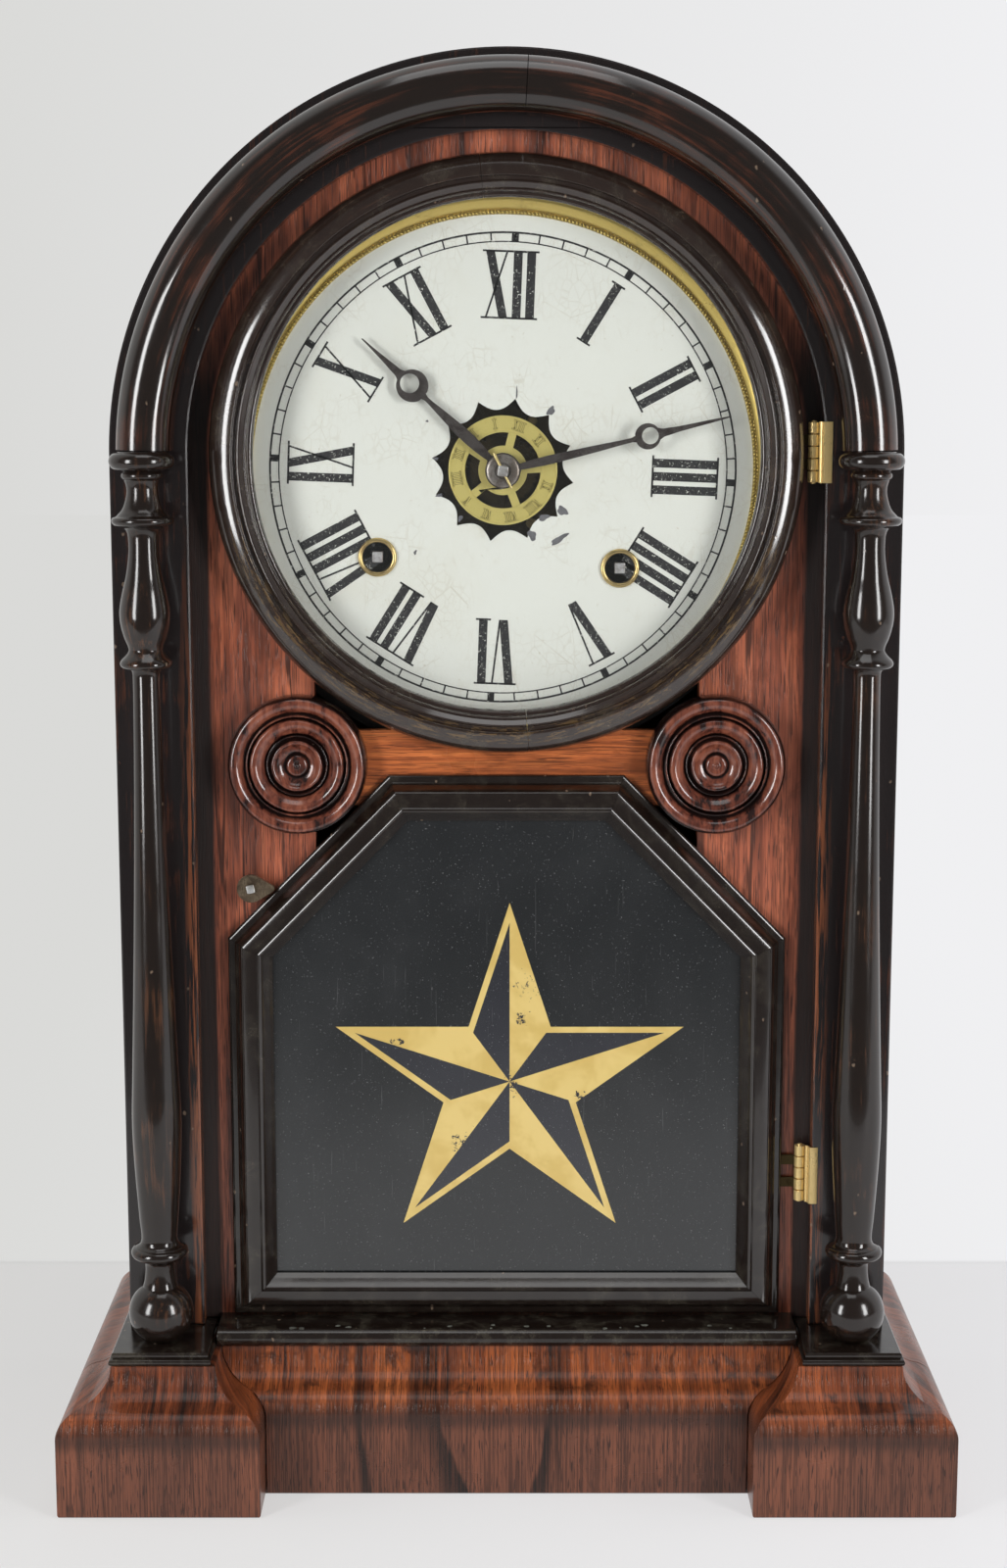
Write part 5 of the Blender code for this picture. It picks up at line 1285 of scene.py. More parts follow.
class MarkRing:
    """A ring of equal marks, made by Geometry Nodes."""

    def __init__(self, mark: Mark) -> None:
        """Build the tree for one shape of mark.

        Args:
            mark: Shape that is repeated.
        """
        tree = bpy.data.node_groups.new("ring_of_" + mark.value, "GeometryNodeTree")
        kinds = {"Count": "Int", "Radius": "Float", "Size": "Vector", "Tilt": "Vector", "Material": "Material"}
        self.inputs = {key: tree.interface.new_socket(key, in_out="INPUT", socket_type="NodeSocket" + kind)
                       for key, kind in kinds.items()}
        tree.interface.new_socket("Geometry", in_out="OUTPUT", socket_type="NodeSocketGeometry")
        self.tree = tree
        book = NodeBook(tree)
        given = book.node("NodeGroupInput").outputs
        ring = book.node("GeometryNodeMeshCircle", None, {"Vertices": given["Count"], "Radius": given["Radius"]})
        if mark is Mark.BAR:
            shape = book.node("GeometryNodeMeshCube")
        else:
            shape = book.node("GeometryNodeMeshUVSphere", None, {"Segments": 8, "Rings": 5, "Radius": 0.5})
        sized = book.node("GeometryNodeTransform", None, {"Geometry": shape.outputs["Mesh"], "Scale": given["Size"]})
        tilted = book.node("GeometryNodeTransform", None, {"Geometry": sized.outputs[0], "Rotation": given["Tilt"]})
        outward = book.node("FunctionNodeAlignRotationToVector", {"axis": "X", "pivot_axis": "Z"},
                            {"Vector": book.node("GeometryNodeInputPosition").outputs[0]})
        many = book.node("GeometryNodeInstanceOnPoints", None, {
            "Points": ring.outputs["Mesh"], "Instance": tilted.outputs[0], "Rotation": outward.outputs[0]})
        real = book.node("GeometryNodeRealizeInstances", None, {"Geometry": many.outputs[0]})
        dressed = book.node("GeometryNodeSetMaterial", None, {
            "Geometry": real.outputs[0], "Material": given["Material"]})
        book.node("NodeGroupOutput", None, {0: dressed.outputs[0]})

    def make(self, name: str, count: int, radius: float, size: Triple, tilt: float, centre: Triple, turn: float,
             material: Material) -> bpy.types.Object:
        """Make one ring that faces the front.

        Args:
            name: Name of the object.
            count: Number of marks.
            radius: Radius to the middle of the marks.
            size: Length outwards, width round the ring and height of a mark.
            tilt: Slant of each mark from its own outward line, in degrees.
            centre: Centre of the ring.
            turn: Clockwise turn of the ring in degrees.
            material: Finish.

        Returns:
            An object with a plain mesh.
        """
        obj = bpy.data.objects.new(name, bpy.data.meshes.new(name))
        bpy.context.scene.collection.objects.link(obj)
        modifier = obj.modifiers.new("marks", "NODES")
        modifier.node_group = self.tree
        values = {"Count": count, "Radius": radius * MM, "Size": [s * MM for s in size],
                  "Tilt": (0.0, 0.0, math.radians(tilt)), "Material": material}
        for key, value in values.items():
            modifier[self.inputs[key].identifier] = value
        SubAssembly.settle(obj)
        facing = Matrix.Rotation(math.radians(90.0), 4, "X") @ Matrix.Rotation(math.radians(90.0 - turn), 4, "Z")
        obj.data.transform(Matrix.Translation(Vector(centre) * MM) @ facing)
        return obj


@dataclass
class Palette:
    """Every finish of the clock, made once."""

    foot_veneer: Material
    rail_veneer: Material
    panel_veneer: Material
    case_veneer: Material
    frame_black: Material
    waist_veneer: Material
    roundel_wood: Material
    upright_black: Material
    moulding_black: Material
    level_black: Material
    arch_black: Material
    roof_black: Material
    ring_black: Material
    brass: Material
    dark_brass: Material
    bright_brass: Material
    sash_brass: Material
    ring_brass: Material
    hinge_brass: Material
    worn_steel: Material
    disc_brass: Material
    steel: Material
    bright_steel: Material
    button_metal: Material
    flake: Material
    zinc: Material
    hand_steel: Material
    dial_white: Material
    ink: Material
    gilt: Material
    tablet: Material
    shade: Material
    pane: Material
    pine: Material

    @classmethod
    def mixed(cls, arch_centre: Point, dial_centre: Point) -> "Palette":
        """Mix the finishes.

        Args:
            arch_centre: X and Z of the arch's centre, which its grain follows.
            dial_centre: X and Z of the dial's centre.

        Returns:
            The palette.
        """
        return cls(
            foot_veneer=BentVeneer(shift=1.0).material("foot_veneer"),
            rail_veneer=BentVeneer((0.4, 0.108, 0.03), (0.21, 0.052, 0.017), shift=4.0, flames=(
                Flame(-22.5, -11.0, 15.0, Side.LEFT), Flame(13.5, 7.0, 9.0, Side.RIGHT),
                Flame(-47.0, -43.0, 5.0, Side.LEFT))).material("rail_veneer"),
            panel_veneer=Veneer(Grain.UPRIGHT, (0.57, 0.165, 0.08), (0.33, 0.088, 0.044), (0.048, 0.017, 0.012),
                                14.0, 8.0, 0.06, 0.34, 0.5,
                                (93.4, arch_centre[1], 350.0)).material("panel_veneer"),
            case_veneer=Veneer(Grain.UPRIGHT, (0.16, 0.048, 0.022), (0.06, 0.019, 0.011), (0.018, 0.009, 0.007), 24.0,
                               12.0).material("case_veneer"),
            frame_black=Ebonised(black=(0.014, 0.0105, 0.0105), brown=(0.075, 0.026, 0.014),
                                 rubbed=(0.27, 0.085, 0.035), shift=21.0, edge=100.4).material("frame_black"),
            waist_veneer=Veneer(Grain.ACROSS, (0.66, 0.2, 0.058), (0.47, 0.125, 0.037), (0.2, 0.054, 0.02), 9.0, 16.0,
                                0.03).material("waist_veneer"),
            roundel_wood=TurnedWood((66.8, 235.6), (
                (16.7, 1.1), (15.3, 0.9), (9.9, 1.0), (8.7, 1.2), (3.8, 0.9), (21.9, 1.2))).material("roundel_wood"),
            upright_black=Ebonised(wear=0.62, gloss=0.2).material("upright_black"),
            moulding_black=Ebonised(wear=0.0, shift=7.0, dust=0.25, polish=0.62).material("moulding_black"),
            level_black=Ebonised(Grain.ACROSS, wear=0.1, shift=2.0, dust=0.45).material("level_black"),
            arch_black=Ebonised(ring_centre=arch_centre, brown=(0.068, 0.021, 0.011), wear=0.8,
                                gloss=0.19, polish=0.62).material("arch_black"),
            roof_black=Ebonised(ring_centre=arch_centre, brown=(0.068, 0.021, 0.011), wear=0.8,
                                gloss=0.4, polish=0.35).material("roof_black"),
            ring_black=Ebonised(ring_centre=arch_centre, black=(0.021, 0.0125, 0.0095), brown=(0.06, 0.031, 0.02),
                                wear=0.45, gloss=0.19, shift=5.0, dust=0.3, flecks=(83.8, 90.4),
                                polish=0.7).material("ring_black"),
            brass=AgedBrass().material("aged_brass"),
            # Brass darkened as painted shade, for the hinge leaves behind the door and the works seen through the
            # dial's centre
            dark_brass=AgedBrass((0.075, 0.055, 0.026), (0.03, 0.022, 0.011), 0.6, 0.5).material("dark_brass"),
            bright_brass=AgedBrass((0.66, 0.54, 0.24), (0.46, 0.36, 0.14), 0.3, 0.3, 0.7).material("bright_brass"),
            sash_brass=AgedBrass((0.56, 0.43, 0.125), (0.3, 0.22, 0.06), 0.35, 0.3, 0.8).material("sash_brass"),
            # Dark brass for the strokes under the alarm disc's raised figures: painted shade round their edges
            ring_brass=AgedBrass((0.2, 0.16, 0.045), (0.13, 0.1, 0.03), 0.4, 0.4, 0.5).material("ring_brass"),
            hinge_brass=AgedBrass((0.86, 0.64, 0.28), (0.56, 0.38, 0.13), 0.2, 0.28, 0.55).material("hinge_brass"),
            worn_steel=DarkSteel((0.4, 0.4, 0.4), (0.22, 0.21, 0.2), 0.42, 0.2).material("worn_steel"),
            disc_brass=AgedBrass((0.72, 0.62, 0.2), (0.5, 0.41, 0.12), 0.25, 0.3, 0.5).material("disc_brass"),
            steel=DarkSteel((0.3, 0.275, 0.25), (0.15, 0.125, 0.105), 0.36).material("old_steel"),
            bright_steel=DarkSteel((0.62, 0.62, 0.61), (0.34, 0.33, 0.31), 0.4).material("bright_steel"),
            button_metal=DarkSteel((0.22, 0.17, 0.115), (0.085, 0.06, 0.04), 0.28, 0.7).material("button_metal"),
            flake=DarkSteel((0.12, 0.125, 0.105), (0.06, 0.06, 0.05), 0.7, 0.0).material("flake"),
            zinc=DarkSteel((0.13, 0.13, 0.138), (0.09, 0.09, 0.096), 0.6, 0.2).material("bare_zinc"),
            hand_steel=DarkSteel((0.085, 0.074, 0.07), (0.042, 0.034, 0.031), 0.46).material("hand_steel"),
            dial_white=DialPaint(dial_centre).material("dial_white"),
            ink=Ink().material("dial_ink"),
            gilt=GiltLeaf().material("gilt_leaf"),
            tablet=TabletBlack().material("tablet_black"),
            shade=TabletBlack((0.02, 0.021, 0.027), (0.07, 0.075, 0.09)).material("star_shade"),
            pane=PaneGlass().material("pane_glass"),
            pine=Pine().material("old_pine"),
        )


@dataclass
class Base(SubAssembly):
    """Ogee feet and sides, the set-back rail, the caps and the dust strip."""

    palette: Palette
    half: float = 142.8
    front: float = -66.7
    back: float = 66.7
    face: float = 26.0
    ridge: float = 8.0
    cove: float = 10.8
    sweep: float = 80.0
    board: float = 22.0
    foot_length: float = 64.7
    foot_depth: float = 45.0
    rail_setback: float = 17.5
    cap_inner: float = 94.9
    cap_outer: float = 127.8
    cap_low: float = 44.8
    cap_high: float = 48.8
    cap_front: float = -51.7
    strip_back: float = -20.2
    strip_depth: float = 17.0
    strip_rise: float = 6.0
    flake_count: int = 17

    def section(self) -> list[Point]:
        """Depth behind the face and height of the ogee, from the floor up.

        Returns:
            Points of the open section.
        """
        points = [(0.9, 0.0), (0.25, 0.3), (0.0, 1.0), (0.0, self.face)]
        points += arc((self.ridge, self.face), self.ridge, 180.0, 180.0 - self.sweep, 12)[1:]
        depth, height = points[-1]
        turn = math.radians(self.sweep)
        middle = (depth - self.cove * math.cos(turn), height + self.cove * math.sin(turn))
        return points + arc(middle, self.cove, -self.sweep, 0.0, 14)[1:]

    @staticmethod
    def wrap(bm: Mesh, places: Sequence[Point]) -> Mesh:
        """Note at each corner how far across and up the veneer it lies.

        Args:
            bm: Mesh of a veneered piece.
            places: Lengths across and up, in the order of its corners.

        Returns:
            The mesh.
        """
        layer = bm.verts.layers.float_vector.new(GRAIN)
        for vert, (across, up) in zip(bm.verts, places):
            vert[layer] = Vector((across * MM, 0.0, up * MM))
        return bm

    def levelled(self, levels: Sequence[Level], lengths: Sequence[float], back: float) -> Mesh:
        """A stacked block with its veneer wrapped round the front and both ends.

        Args:
            levels: Left, right, front and height of each level.
            lengths: Length up the section to each level.
            back: Y of the flat back.

        Returns:
            The mesh.
        """
        places: list[Point] = []
        for (left, right, front, _), up in zip(levels, lengths):
            places += [(left, up), (right, up), (right + back - front, up), (left - back + front, up)]
        return self.wrap(stacked(levels, back), places)

    def build(self) -> None:
        """Make the base's pieces."""
        wood, black = self.palette.foot_veneer, self.palette.level_black
        section = self.section()
        top = section[-1][1]
        lengths = [0.0]
        for (d0, z0), (d1, z1) in zip(section, section[1:]):
            lengths.append(lengths[-1] + math.hypot(d1 - d0, z1 - z0))
        inner = self.half - self.foot_length
        foot_back = self.front + self.foot_depth
        for side in Side:
            levels = []
            for d, z in section:
                x0, x1 = sorted((side.value * (inner + d), side.value * (self.half - d)))
                levels.append((x0, x1, self.front + d, z))
            self.piece("foot_" + side.word, self.levelled(levels, lengths, foot_back), wood, "case", "veneer",
                       ["base_foot_" + side.word], 1.5)
            loop = section + [(self.board, top), (self.board, 0.0)]
            span = (foot_back + 0.1, self.back)
            run = spanned(*[[(side.value * (self.half - d), y, z) for d, z in loop] for y in span])
            ups = lengths + [lengths[-1] + 6.0, lengths[-1] + 50.0]
            self.wrap(run, [(y, up) for y in span for up in ups])
            self.piece("side_run_" + side.word, run, wood, "case", "veneer", ["base_side_" + side.word], 0.4)
            self.piece("cap_" + side.word, self.cap(side), black, "case", "ebonised", ["foot_cap_" + side.word])
        reach = inner - GAP
        rail_front = self.front + self.rail_setback
        levels = [(-reach - d, reach + d, rail_front + d, z) for d, z in section]
        self.piece("rail_front", self.levelled(levels, lengths, rail_front + self.board), self.palette.rail_veneer,
                   "case", "veneer", ["base_front_rail"], 0.3)
        self.piece("dust_strip", self.strip(), black, "case", "ebonised", ["base_dust_strip"], 0.25)
        self.piece("strip_flakes", self.flakes(), self.palette.flake, "case", "ebonised", smooth=10.0)
        low, high = box_of("case_floor")
        self.piece("floor_board", block(low, (high[0], self.back - GAP, high[2] + GAP)), self.palette.pine,
                   "case", "pine", ["case_floor"], 0.15)

    def cap(self, side: Side) -> Mesh:
        """The cap on a foot, its edge worked in two beads.

        Args:
            side: Hand of the foot.

        Returns:
            A closed mesh.
        """
        x0, x1 = sorted((side.value * self.cap_inner, side.value * self.cap_outer))
        middle = (self.cap_low + self.cap_high) / 2
        edge = [(0.4, self.cap_low)]
        for low, high, back in ((self.cap_low, middle - 0.1, 0.0), (middle + 0.1, self.cap_high, 0.9)):
            r = (high - low) / 2
            edge += [(back + r * 0.7 * (1.0 - math.cos(math.radians(a))), low + r + r * math.sin(math.radians(a)))
                     for a in (-70, -40, 0, 40, 70)]
        edge.append((2.2, self.cap_high))
        return stacked([(x0 + d, x1 - d, self.cap_front + d, z) for d, z in edge], self.back)

    def flakes(self) -> Mesh:
        """Fallen flakes of old paint that lie on the dust strip.

        Returns:
            All the flakes.
        """
        chance = random.Random(7)
        top = self.cap_low + self.strip_rise
        shapes = []
        for _ in range(self.flake_count):
            x, y = chance.uniform(-78.0, 80.0), chance.uniform(-35.0, -31.5)
            size = chance.choice((0.5, 0.7, 0.9, 1.2, 1.5))
            ring = []
            for k in range(7):
                a = math.radians(360.0 / 7 * k)
                reach = size * chance.uniform(0.55, 1.1)
                ring.append((x + reach * math.cos(a), y + 0.8 * reach * math.sin(a)))
            shapes.append(prism(ring, top - 0.1, top + 0.12))
        return together(*shapes)

    def strip(self) -> Mesh:
        """The dust strip under the door, with a rounded nose.

        Returns:
            A closed mesh.
        """
        half, low, back = self.cap_inner - GAP, self.cap_low, self.strip_back
        nose = self.strip_rise / 2
        loop = [(back, low), (back, low + self.strip_rise)]
        loop += arc((back - self.strip_depth + nose, low + nose), nose, 90.0, 270.0, 14)
        return spanned(*[[(x, y, z) for y, z in loop] for x in (-half, half)])


@dataclass
class Case(SubAssembly):
    """Sides and bent roof, backboard, front frame, arch moulding and front panel."""

    palette: Palette
    half: float = 124.2
    wall: float = 8.0
    foot: float = 49.1
    centre_z: float = ARCH_CENTRE[1]
    frame_front: float = -26.2
    frame_back: float = -20.2
    frame_band: float = 24.4
    panel_front: float = -19.9
    panel_back: float = -12.9
    board_front: float = 60.9
    back: float = 66.7
    moulding_radius: float = 112.5
    moulding_half: float = 8.5
    moulding_rise: float = 14.7
    moulding_foot: float = 335.4
    crown_joint: float = 86.9
    hair: float = 0.06
    opening_radius: float = 90.0
    opening_inset: float = 6.5
    waist: float = 61.5
    steps: int = 120

    def arch(self, half: float) -> list[Point]:
        """Outline of an upright with a round top, anticlockwise."""
        return [(-half, self.foot), (half, self.foot)] + arc((0.0, self.centre_z), half, 0.0, 180.0, self.steps)

    def build(self, lower: Sequence[Point]) -> None:
        """Make the case's pieces.

        Args:
            lower: Outline of the door's lower frame, which the panel's opening follows.
        """
        p = self.palette
        wall_back, inner = self.board_front - GAP, self.half - self.wall
        for side in Side:
            x0, x1 = sorted((side.value * inner, side.value * self.half))
            wall = block((x0, self.panel_front, self.foot), (x1, wall_back, self.centre_z - 0.05))
            self.piece("side_" + side.word, wall, p.case_veneer, "case", "veneer", ["case_side_" + side.word], 0.3)
        roof = [(self.half, self.panel_front), (self.half, wall_back), (inner, wall_back), (inner, self.panel_front)]
        self.piece("roof", lathe(roof, self.steps, (0.0, self.centre_z), Axis.FORWARD, True, 0.0, 180.0),
                   p.roof_black, "case", "veneer", ["case_arch"], 0.3)
        self.piece("back_board", slab(self.arch(self.half), self.board_front, self.back), p.pine, "case", "pine",
                   ["backboard"], 0.4)
        band = self.half - self.frame_band
        outline = [(-self.half, self.foot), (-band, self.foot)]
        outline += arc((0.0, self.centre_z), band, 180.0, 0.0, self.steps)
        outline += [(band, self.foot), (self.half, self.foot)]
        outline += arc((0.0, self.centre_z), self.half, 0.0, 180.0, self.steps)
        frame = self.chamfered(slab(outline, self.frame_front, self.frame_back), self.frame_front)
        self.piece("face_frame", frame, p.frame_black, "case", "ebonised", ["front_frame"], smooth=12.0)
        self.piece("arch", self.moulding(), p.arch_black, "case", "ebonised", ["arch_moulding"])
        self.piece("panel", slab(self.arch(inner - GAP), self.panel_front, self.panel_back, [self.opening(lower)]),
                   p.panel_veneer, "case", "veneer", ["front_panel"], 0.4)

    @staticmethod
    def chamfered(flat: Mesh, front: float, width: float = 0.55, depth: float = 0.25) -> Mesh:
        """Take the front edges off a flat piece.

        Args:
            flat: The piece.
            front: Y of its front.
            width: Width of the chamfer across the front.
            depth: Its depth.

        Returns:
            The same piece.
        """
        bmesh.ops.recalc_face_normals(flat, faces=flat.faces)
        face = [f for f in flat.faces if all(abs(v.co.y - front) < 1e-4 for v in f.verts)]
        bmesh.ops.inset_region(flat, faces=face, thickness=width, use_boundary=True, use_even_offset=True)
        for vert in flat.verts:
            if abs(vert.co.y - front) < 1e-4 and any(abs(f.normal.y) < 0.5 for f in vert.link_faces):
                vert.co.y += depth
        return flat

    def moulding(self) -> Mesh:
        """The half-round arch in two lengths that meet right of the crown.

        Returns:
            Both lengths.
        """
        base = self.frame_front - 0.1
        flat = self.moulding_rise - self.moulding_half
        section = [(self.moulding_radius + self.moulding_half, base)]
        section += [(self.moulding_radius + x, base - flat - r)
                    for x, r in arc((0.0, 0.0), self.moulding_half, 0.0, 180.0, 24)]
        section.append((self.moulding_radius - self.moulding_half, base))
        lift = math.degrees(math.asin((self.moulding_foot - self.centre_z) / self.moulding_radius))
        joint, hair = self.crown_joint, self.hair
        centre = (0.0, self.centre_z)
        return together(
            lathe(section, 60, centre, Axis.FORWARD, True, lift, joint - hair - lift),
            lathe(section, 62, centre, Axis.FORWARD, True, joint + hair, 180.0 - lift - joint - hair))

    def opening(self, lower: Sequence[Point]) -> list[Point]:
        """Figure-eight hole in the panel behind the door.

        Args:
            lower: Outline of the door's lower frame.

        Returns:
            The hole's edge.
        """
        sunk = inset(lower, self.opening_inset)
        right = sunk[2]
        slope = (sunk[3][1] - right[1]) / (sunk[3][0] - right[0])
        waist_z = right[1] + slope * (self.waist - right[0])
        lift = math.degrees(math.acos(self.waist / self.opening_radius))
        points = [sunk[0], sunk[1], right, (self.waist, waist_z)]
        points += arc((0.0, self.centre_z), self.opening_radius, -lift, 180.0 + lift, self.steps)
        return points + [(-self.waist, waist_z), sunk[5]]


@dataclass
class Columns(SubAssembly):
    """The two turned columns."""

    palette: Palette
    x: float = 112.2
    y: float = -38.7
    foot: float = 49.1
    height: float = 286.0

    def section(self) -> list[Point]:
        """Radius and height of the turning, from the ball foot to the collar.

        Returns:
            Points of the section.
        """
        ball = arc((0.0, 9.3), 10.4, -62.0, 57.0, 22)
        neck = flowing([ball[-1], (5.1, 20.5), (4.75, 24.6), (5.3, 26.6), (7.0, 27.7), (7.0, 27.7)], 5)
        bead = arc((7.4, 29.7), 1.75, -80.0, 80.0, 12)
        shaft = flowing([(7.6, 31.6), (6.3, 32.6), (5.8, 34.6), (6.3, 41.0), (7.5, 60.0), (7.9, 74.0), (7.5, 87.0),
                         (6.4, 119.0), (5.4, 152.0), (4.7, 182.0), (4.35, 205.0), (4.3, 216.6), (4.5, 218.0),
                         (5.2, 219.0), (5.2, 219.0)], 6)
        ring = flowing([(5.2, 219.0), (6.9, 219.25), (7.9, 220.0), (8.1, 220.9), (7.6, 221.9), (6.4, 223.2),
                        (5.55, 224.3), (5.3, 225.0)], 5)
        vase = flowing([(5.3, 225.0), (5.6, 226.2), (6.7, 229.0), (7.7, 233.2), (7.9, 237.0), (7.1, 242.0),
                        (5.6, 248.4), (4.75, 254.6), (4.7, 258.8), (5.1, 261.4), (6.4, 262.9), (8.9, 263.6),
                        (8.9, 263.6)], 6)
        lip = arc((8.5, 264.9), 1.2, -50.0, 80.0, 8)
        scotia = flowing([(8.2, 266.3), (8.2, 266.3), (6.2, 268.7), (5.0, 272.6), (4.9, 275.0), (5.5, 277.2),
                          (5.9, 277.6), (5.9, 277.6)], 6)
        bead_top = arc((5.2, 278.7), 1.2, -60.0, 60.0, 8)
        collar = arc((7.5, self.height - 2.9), 2.65, -84.0, 84.0, 14)
        whole = [(0.0, 0.0), *ball, *neck, *bead, *shaft, *ring, *vase, *lip, *scotia, *bead_top,
                 (5.6, 280.1), *collar, (7.4, self.height), (0.0, self.height)]
        return [(r, self.foot + min(max(h, 0.0), self.height)) for r, h in distinct(whole)]

    def build(self) -> None:
        """Turn both columns."""
        for side in Side:
            column = lathe(self.section(), 56, (side.value * self.x, self.y), Axis.UPRIGHT)
            self.piece("turned_column_" + side.word, column, self.palette.upright_black, "case", "ebonised",
                       ["column_" + side.word])


@dataclass
class Door(SubAssembly):
    """Figure-eight door: ring, lower frame, waist rail, roundels and panes."""

    palette: Palette
    back: float = -21.2
    centre_z: float = ARCH_CENTRE[1]
    ring_outer: float = 93.3
    ring_inner: float = 79.5
    ring_rise: float = 9.5
    ring_joints: Point = (-85.6, 95.2)
    hair: float = 0.035
    rail: Triple = (60.0, 222.0, 246.4)
    rail_thick: float = 4.0
    rebate: float = 2.5
    glass: float = 1.9
    half: float = 90.2
    bottom: float = 51.5
    shoulder: float = 178.7
    top: float = 232.0
    top_half: float = 37.7
    moulding: float = 14.5
    moulding_rise: float = 7.8
    seam: float = 0.05
    roundel_x: float = 66.8
    roundel_z: float = 235.6
    roundel: float = 22.4
    roundel_rise: float = 8.5

    def outline(self) -> list[Point]:
        """Outline of the lower frame, anticlockwise from its lower left corner."""
        return [(-self.half, self.bottom), (self.half, self.bottom), (self.half, self.shoulder),
                (self.top_half, self.top), (-self.top_half, self.top), (-self.half, self.shoulder)]

    def build(self) -> None:
        """Make the door's pieces."""
        p = self.palette
        self.piece("ring", self.ring(), p.ring_black, "door", "ebonised", ["door_ring"])
        self.piece("lower_frame", mitred(self.outline(), self.section(), self.back, self.seam), p.moulding_black,
                   "door", "ebonised", ["door_lower_frame"])
        half, low, high = self.rail
        near = self.back + GAP
        self.piece("waist_rail", block((-half, near, low), (half, near + self.rail_thick, high)), p.waist_veneer,
                   "door", "veneer", ["door_rail"], 0.4)
        for side in Side:
            self.piece("roundel_turned_" + side.word,
                       lathe(self.roundel_section(), 72, (side.value * self.roundel_x, self.roundel_z), Axis.FORWARD),
                       p.roundel_wood, "door", "ebonised", ["roundel_" + side.word])
        radius = self.ring_inner + self.rebate - GAP
        front = self.back - self.glass
        pane = [(0.0, self.back), (radius, self.back), (radius, front), (0.0, front)]
        self.piece("dial_pane", lathe(pane, 96, (0.0, self.centre_z), Axis.FORWARD), p.pane, "door", "clear_glass",
                   ["dial_glass"])

    def ring(self) -> Mesh:
        """The round frame in two half rings, with a rounded outside and stepped beads inside.

        Returns:
            Both half rings.
        """
        outer, inner, rise = self.ring_outer, self.ring_inner, self.ring_rise
        width = outer - inner
        sight = self.glass + GAP
        face = [(outer, 0.0), (outer, 2.0)]
        steps = (
            ((0.05, 3.4), (0.4, 4.9), (1.1, 6.3), (2.1, 7.4), (3.3, 8.2), (4.6, 8.85), (5.8, 9.25), (6.7, 9.46),
             (7.2, rise), (7.42, rise - 0.12), (7.5, rise - 0.5)),
            ((7.55, rise - 1.5), (7.8, rise - 1.8), (8.7, rise - 1.8), (8.95, rise - 1.6)),
            ((9.05, rise - 1.15), (9.3, rise - 0.95), (9.6, rise - 1.05), (10.4, rise - 1.75), (11.1, rise - 2.4)),
            ((11.2, rise - 2.75), (11.4, rise - 2.6), (11.75, rise - 2.65), (12.0, rise - 3.0), (12.3, rise - 3.7)),
            ((12.4, rise - 4.0), (12.9, rise - 4.05), (13.35, rise - 4.3), (width - 0.08, rise - 5.0),
             (width, rise - 5.6)))
        for step in steps:
            face += flowing([(outer - away, up) for away, up in step], 4)
        face += [(inner, sight), (inner + self.rebate, sight), (inner + self.rebate, 0.0)]
        section = [(radius, self.back - depth) for radius, depth in distinct(face)]
        centre = (0.0, self.centre_z)
        (low, high), hair = self.ring_joints, self.hair
        return together(
            lathe(section, 80, centre, Axis.FORWARD, True, low + hair, high - low - 2 * hair),
            lathe(section, 80, centre, Axis.FORWARD, True, high + hair, 360.0 - (high - low) - 2 * hair))

    def section(self) -> list[Point]:
        """(inset, rise) points of the lower frame's moulding.

        Returns:
            The closed section.
        """
        rise, sight = self.moulding_rise, self.glass + GAP
        lap = self.moulding - self.rebate
        points = [(0.0, 0.0), (0.0, 1.2), (0.1, 1.5), (0.3, 1.7), (0.8, 1.95), (1.2, 2.04), (2.3, 2.06), (2.6, 2.3),
                  (3.1, 3.1), (3.8, 4.6), (4.45, 5.75), (4.6, 5.98), (4.76, 6.28), (5.25, 6.53), (6.2, 6.8), (7.6, 7.0),
                  (9.55, 7.08), (9.66, rise - 0.5), (9.8, rise - 0.34), (10.3, rise - 0.08), (10.55, rise),
                  (10.85, rise - 0.14), (11.2, rise - 0.5), (12.1, rise - 1.6), (13.0, sight + 2.5),
                  (13.9, sight + 1.5), (self.moulding, sight + 0.8)]
        return points + [(self.moulding, sight), (lap, sight), (lap, 0.0)]

    def roundel_section(self) -> list[Point]:
        """Radius and Y of the turned roundel.

        Returns:
            Points from the middle of its back to its front.
        """
        rim = flowing([(1.0, 0.0), (1.0, 0.0), (1.0, 0.28), (0.985, 0.58), (0.95, 0.75), (0.905, 0.81), (0.85, 0.78),
                       (0.795, 0.66), (0.76, 0.52), (0.75, 0.5), (0.75, 0.5)], 5)
        ridge = flowing([(0.738, 0.56), (0.725, 0.62), (0.71, 0.64), (0.695, 0.6), (0.685, 0.52), (0.685, 0.52),
                         (0.675, 0.62), (0.655, 0.76), (0.63, 0.81), (0.585, 0.8), (0.53, 0.7), (0.47, 0.54),
                         (0.447, 0.44), (0.447, 0.44)], 5)
        saucer = flowing([(0.442, 0.5), (0.43, 0.56), (0.415, 0.54), (0.395, 0.46), (0.395, 0.46), (0.375, 0.52),
                          (0.362, 0.66), (0.343, 0.71), (0.32, 0.69), (0.28, 0.58), (0.23, 0.49), (0.175, 0.44),
                          (0.175, 0.44)], 5)
        button = flowing([(0.16, 0.5), (0.15, 0.6), (0.12, 0.66), (0.085, 0.66), (0.055, 0.65), (0.04, 0.7),
                          (0.02, 0.76), (0.0, 0.77)], 5)
        run = [(0.0, 0.0), *rim, *ridge, *saucer, *button]
        return [(self.roundel * radius, self.back - self.roundel_rise * depth) for radius, depth in run]


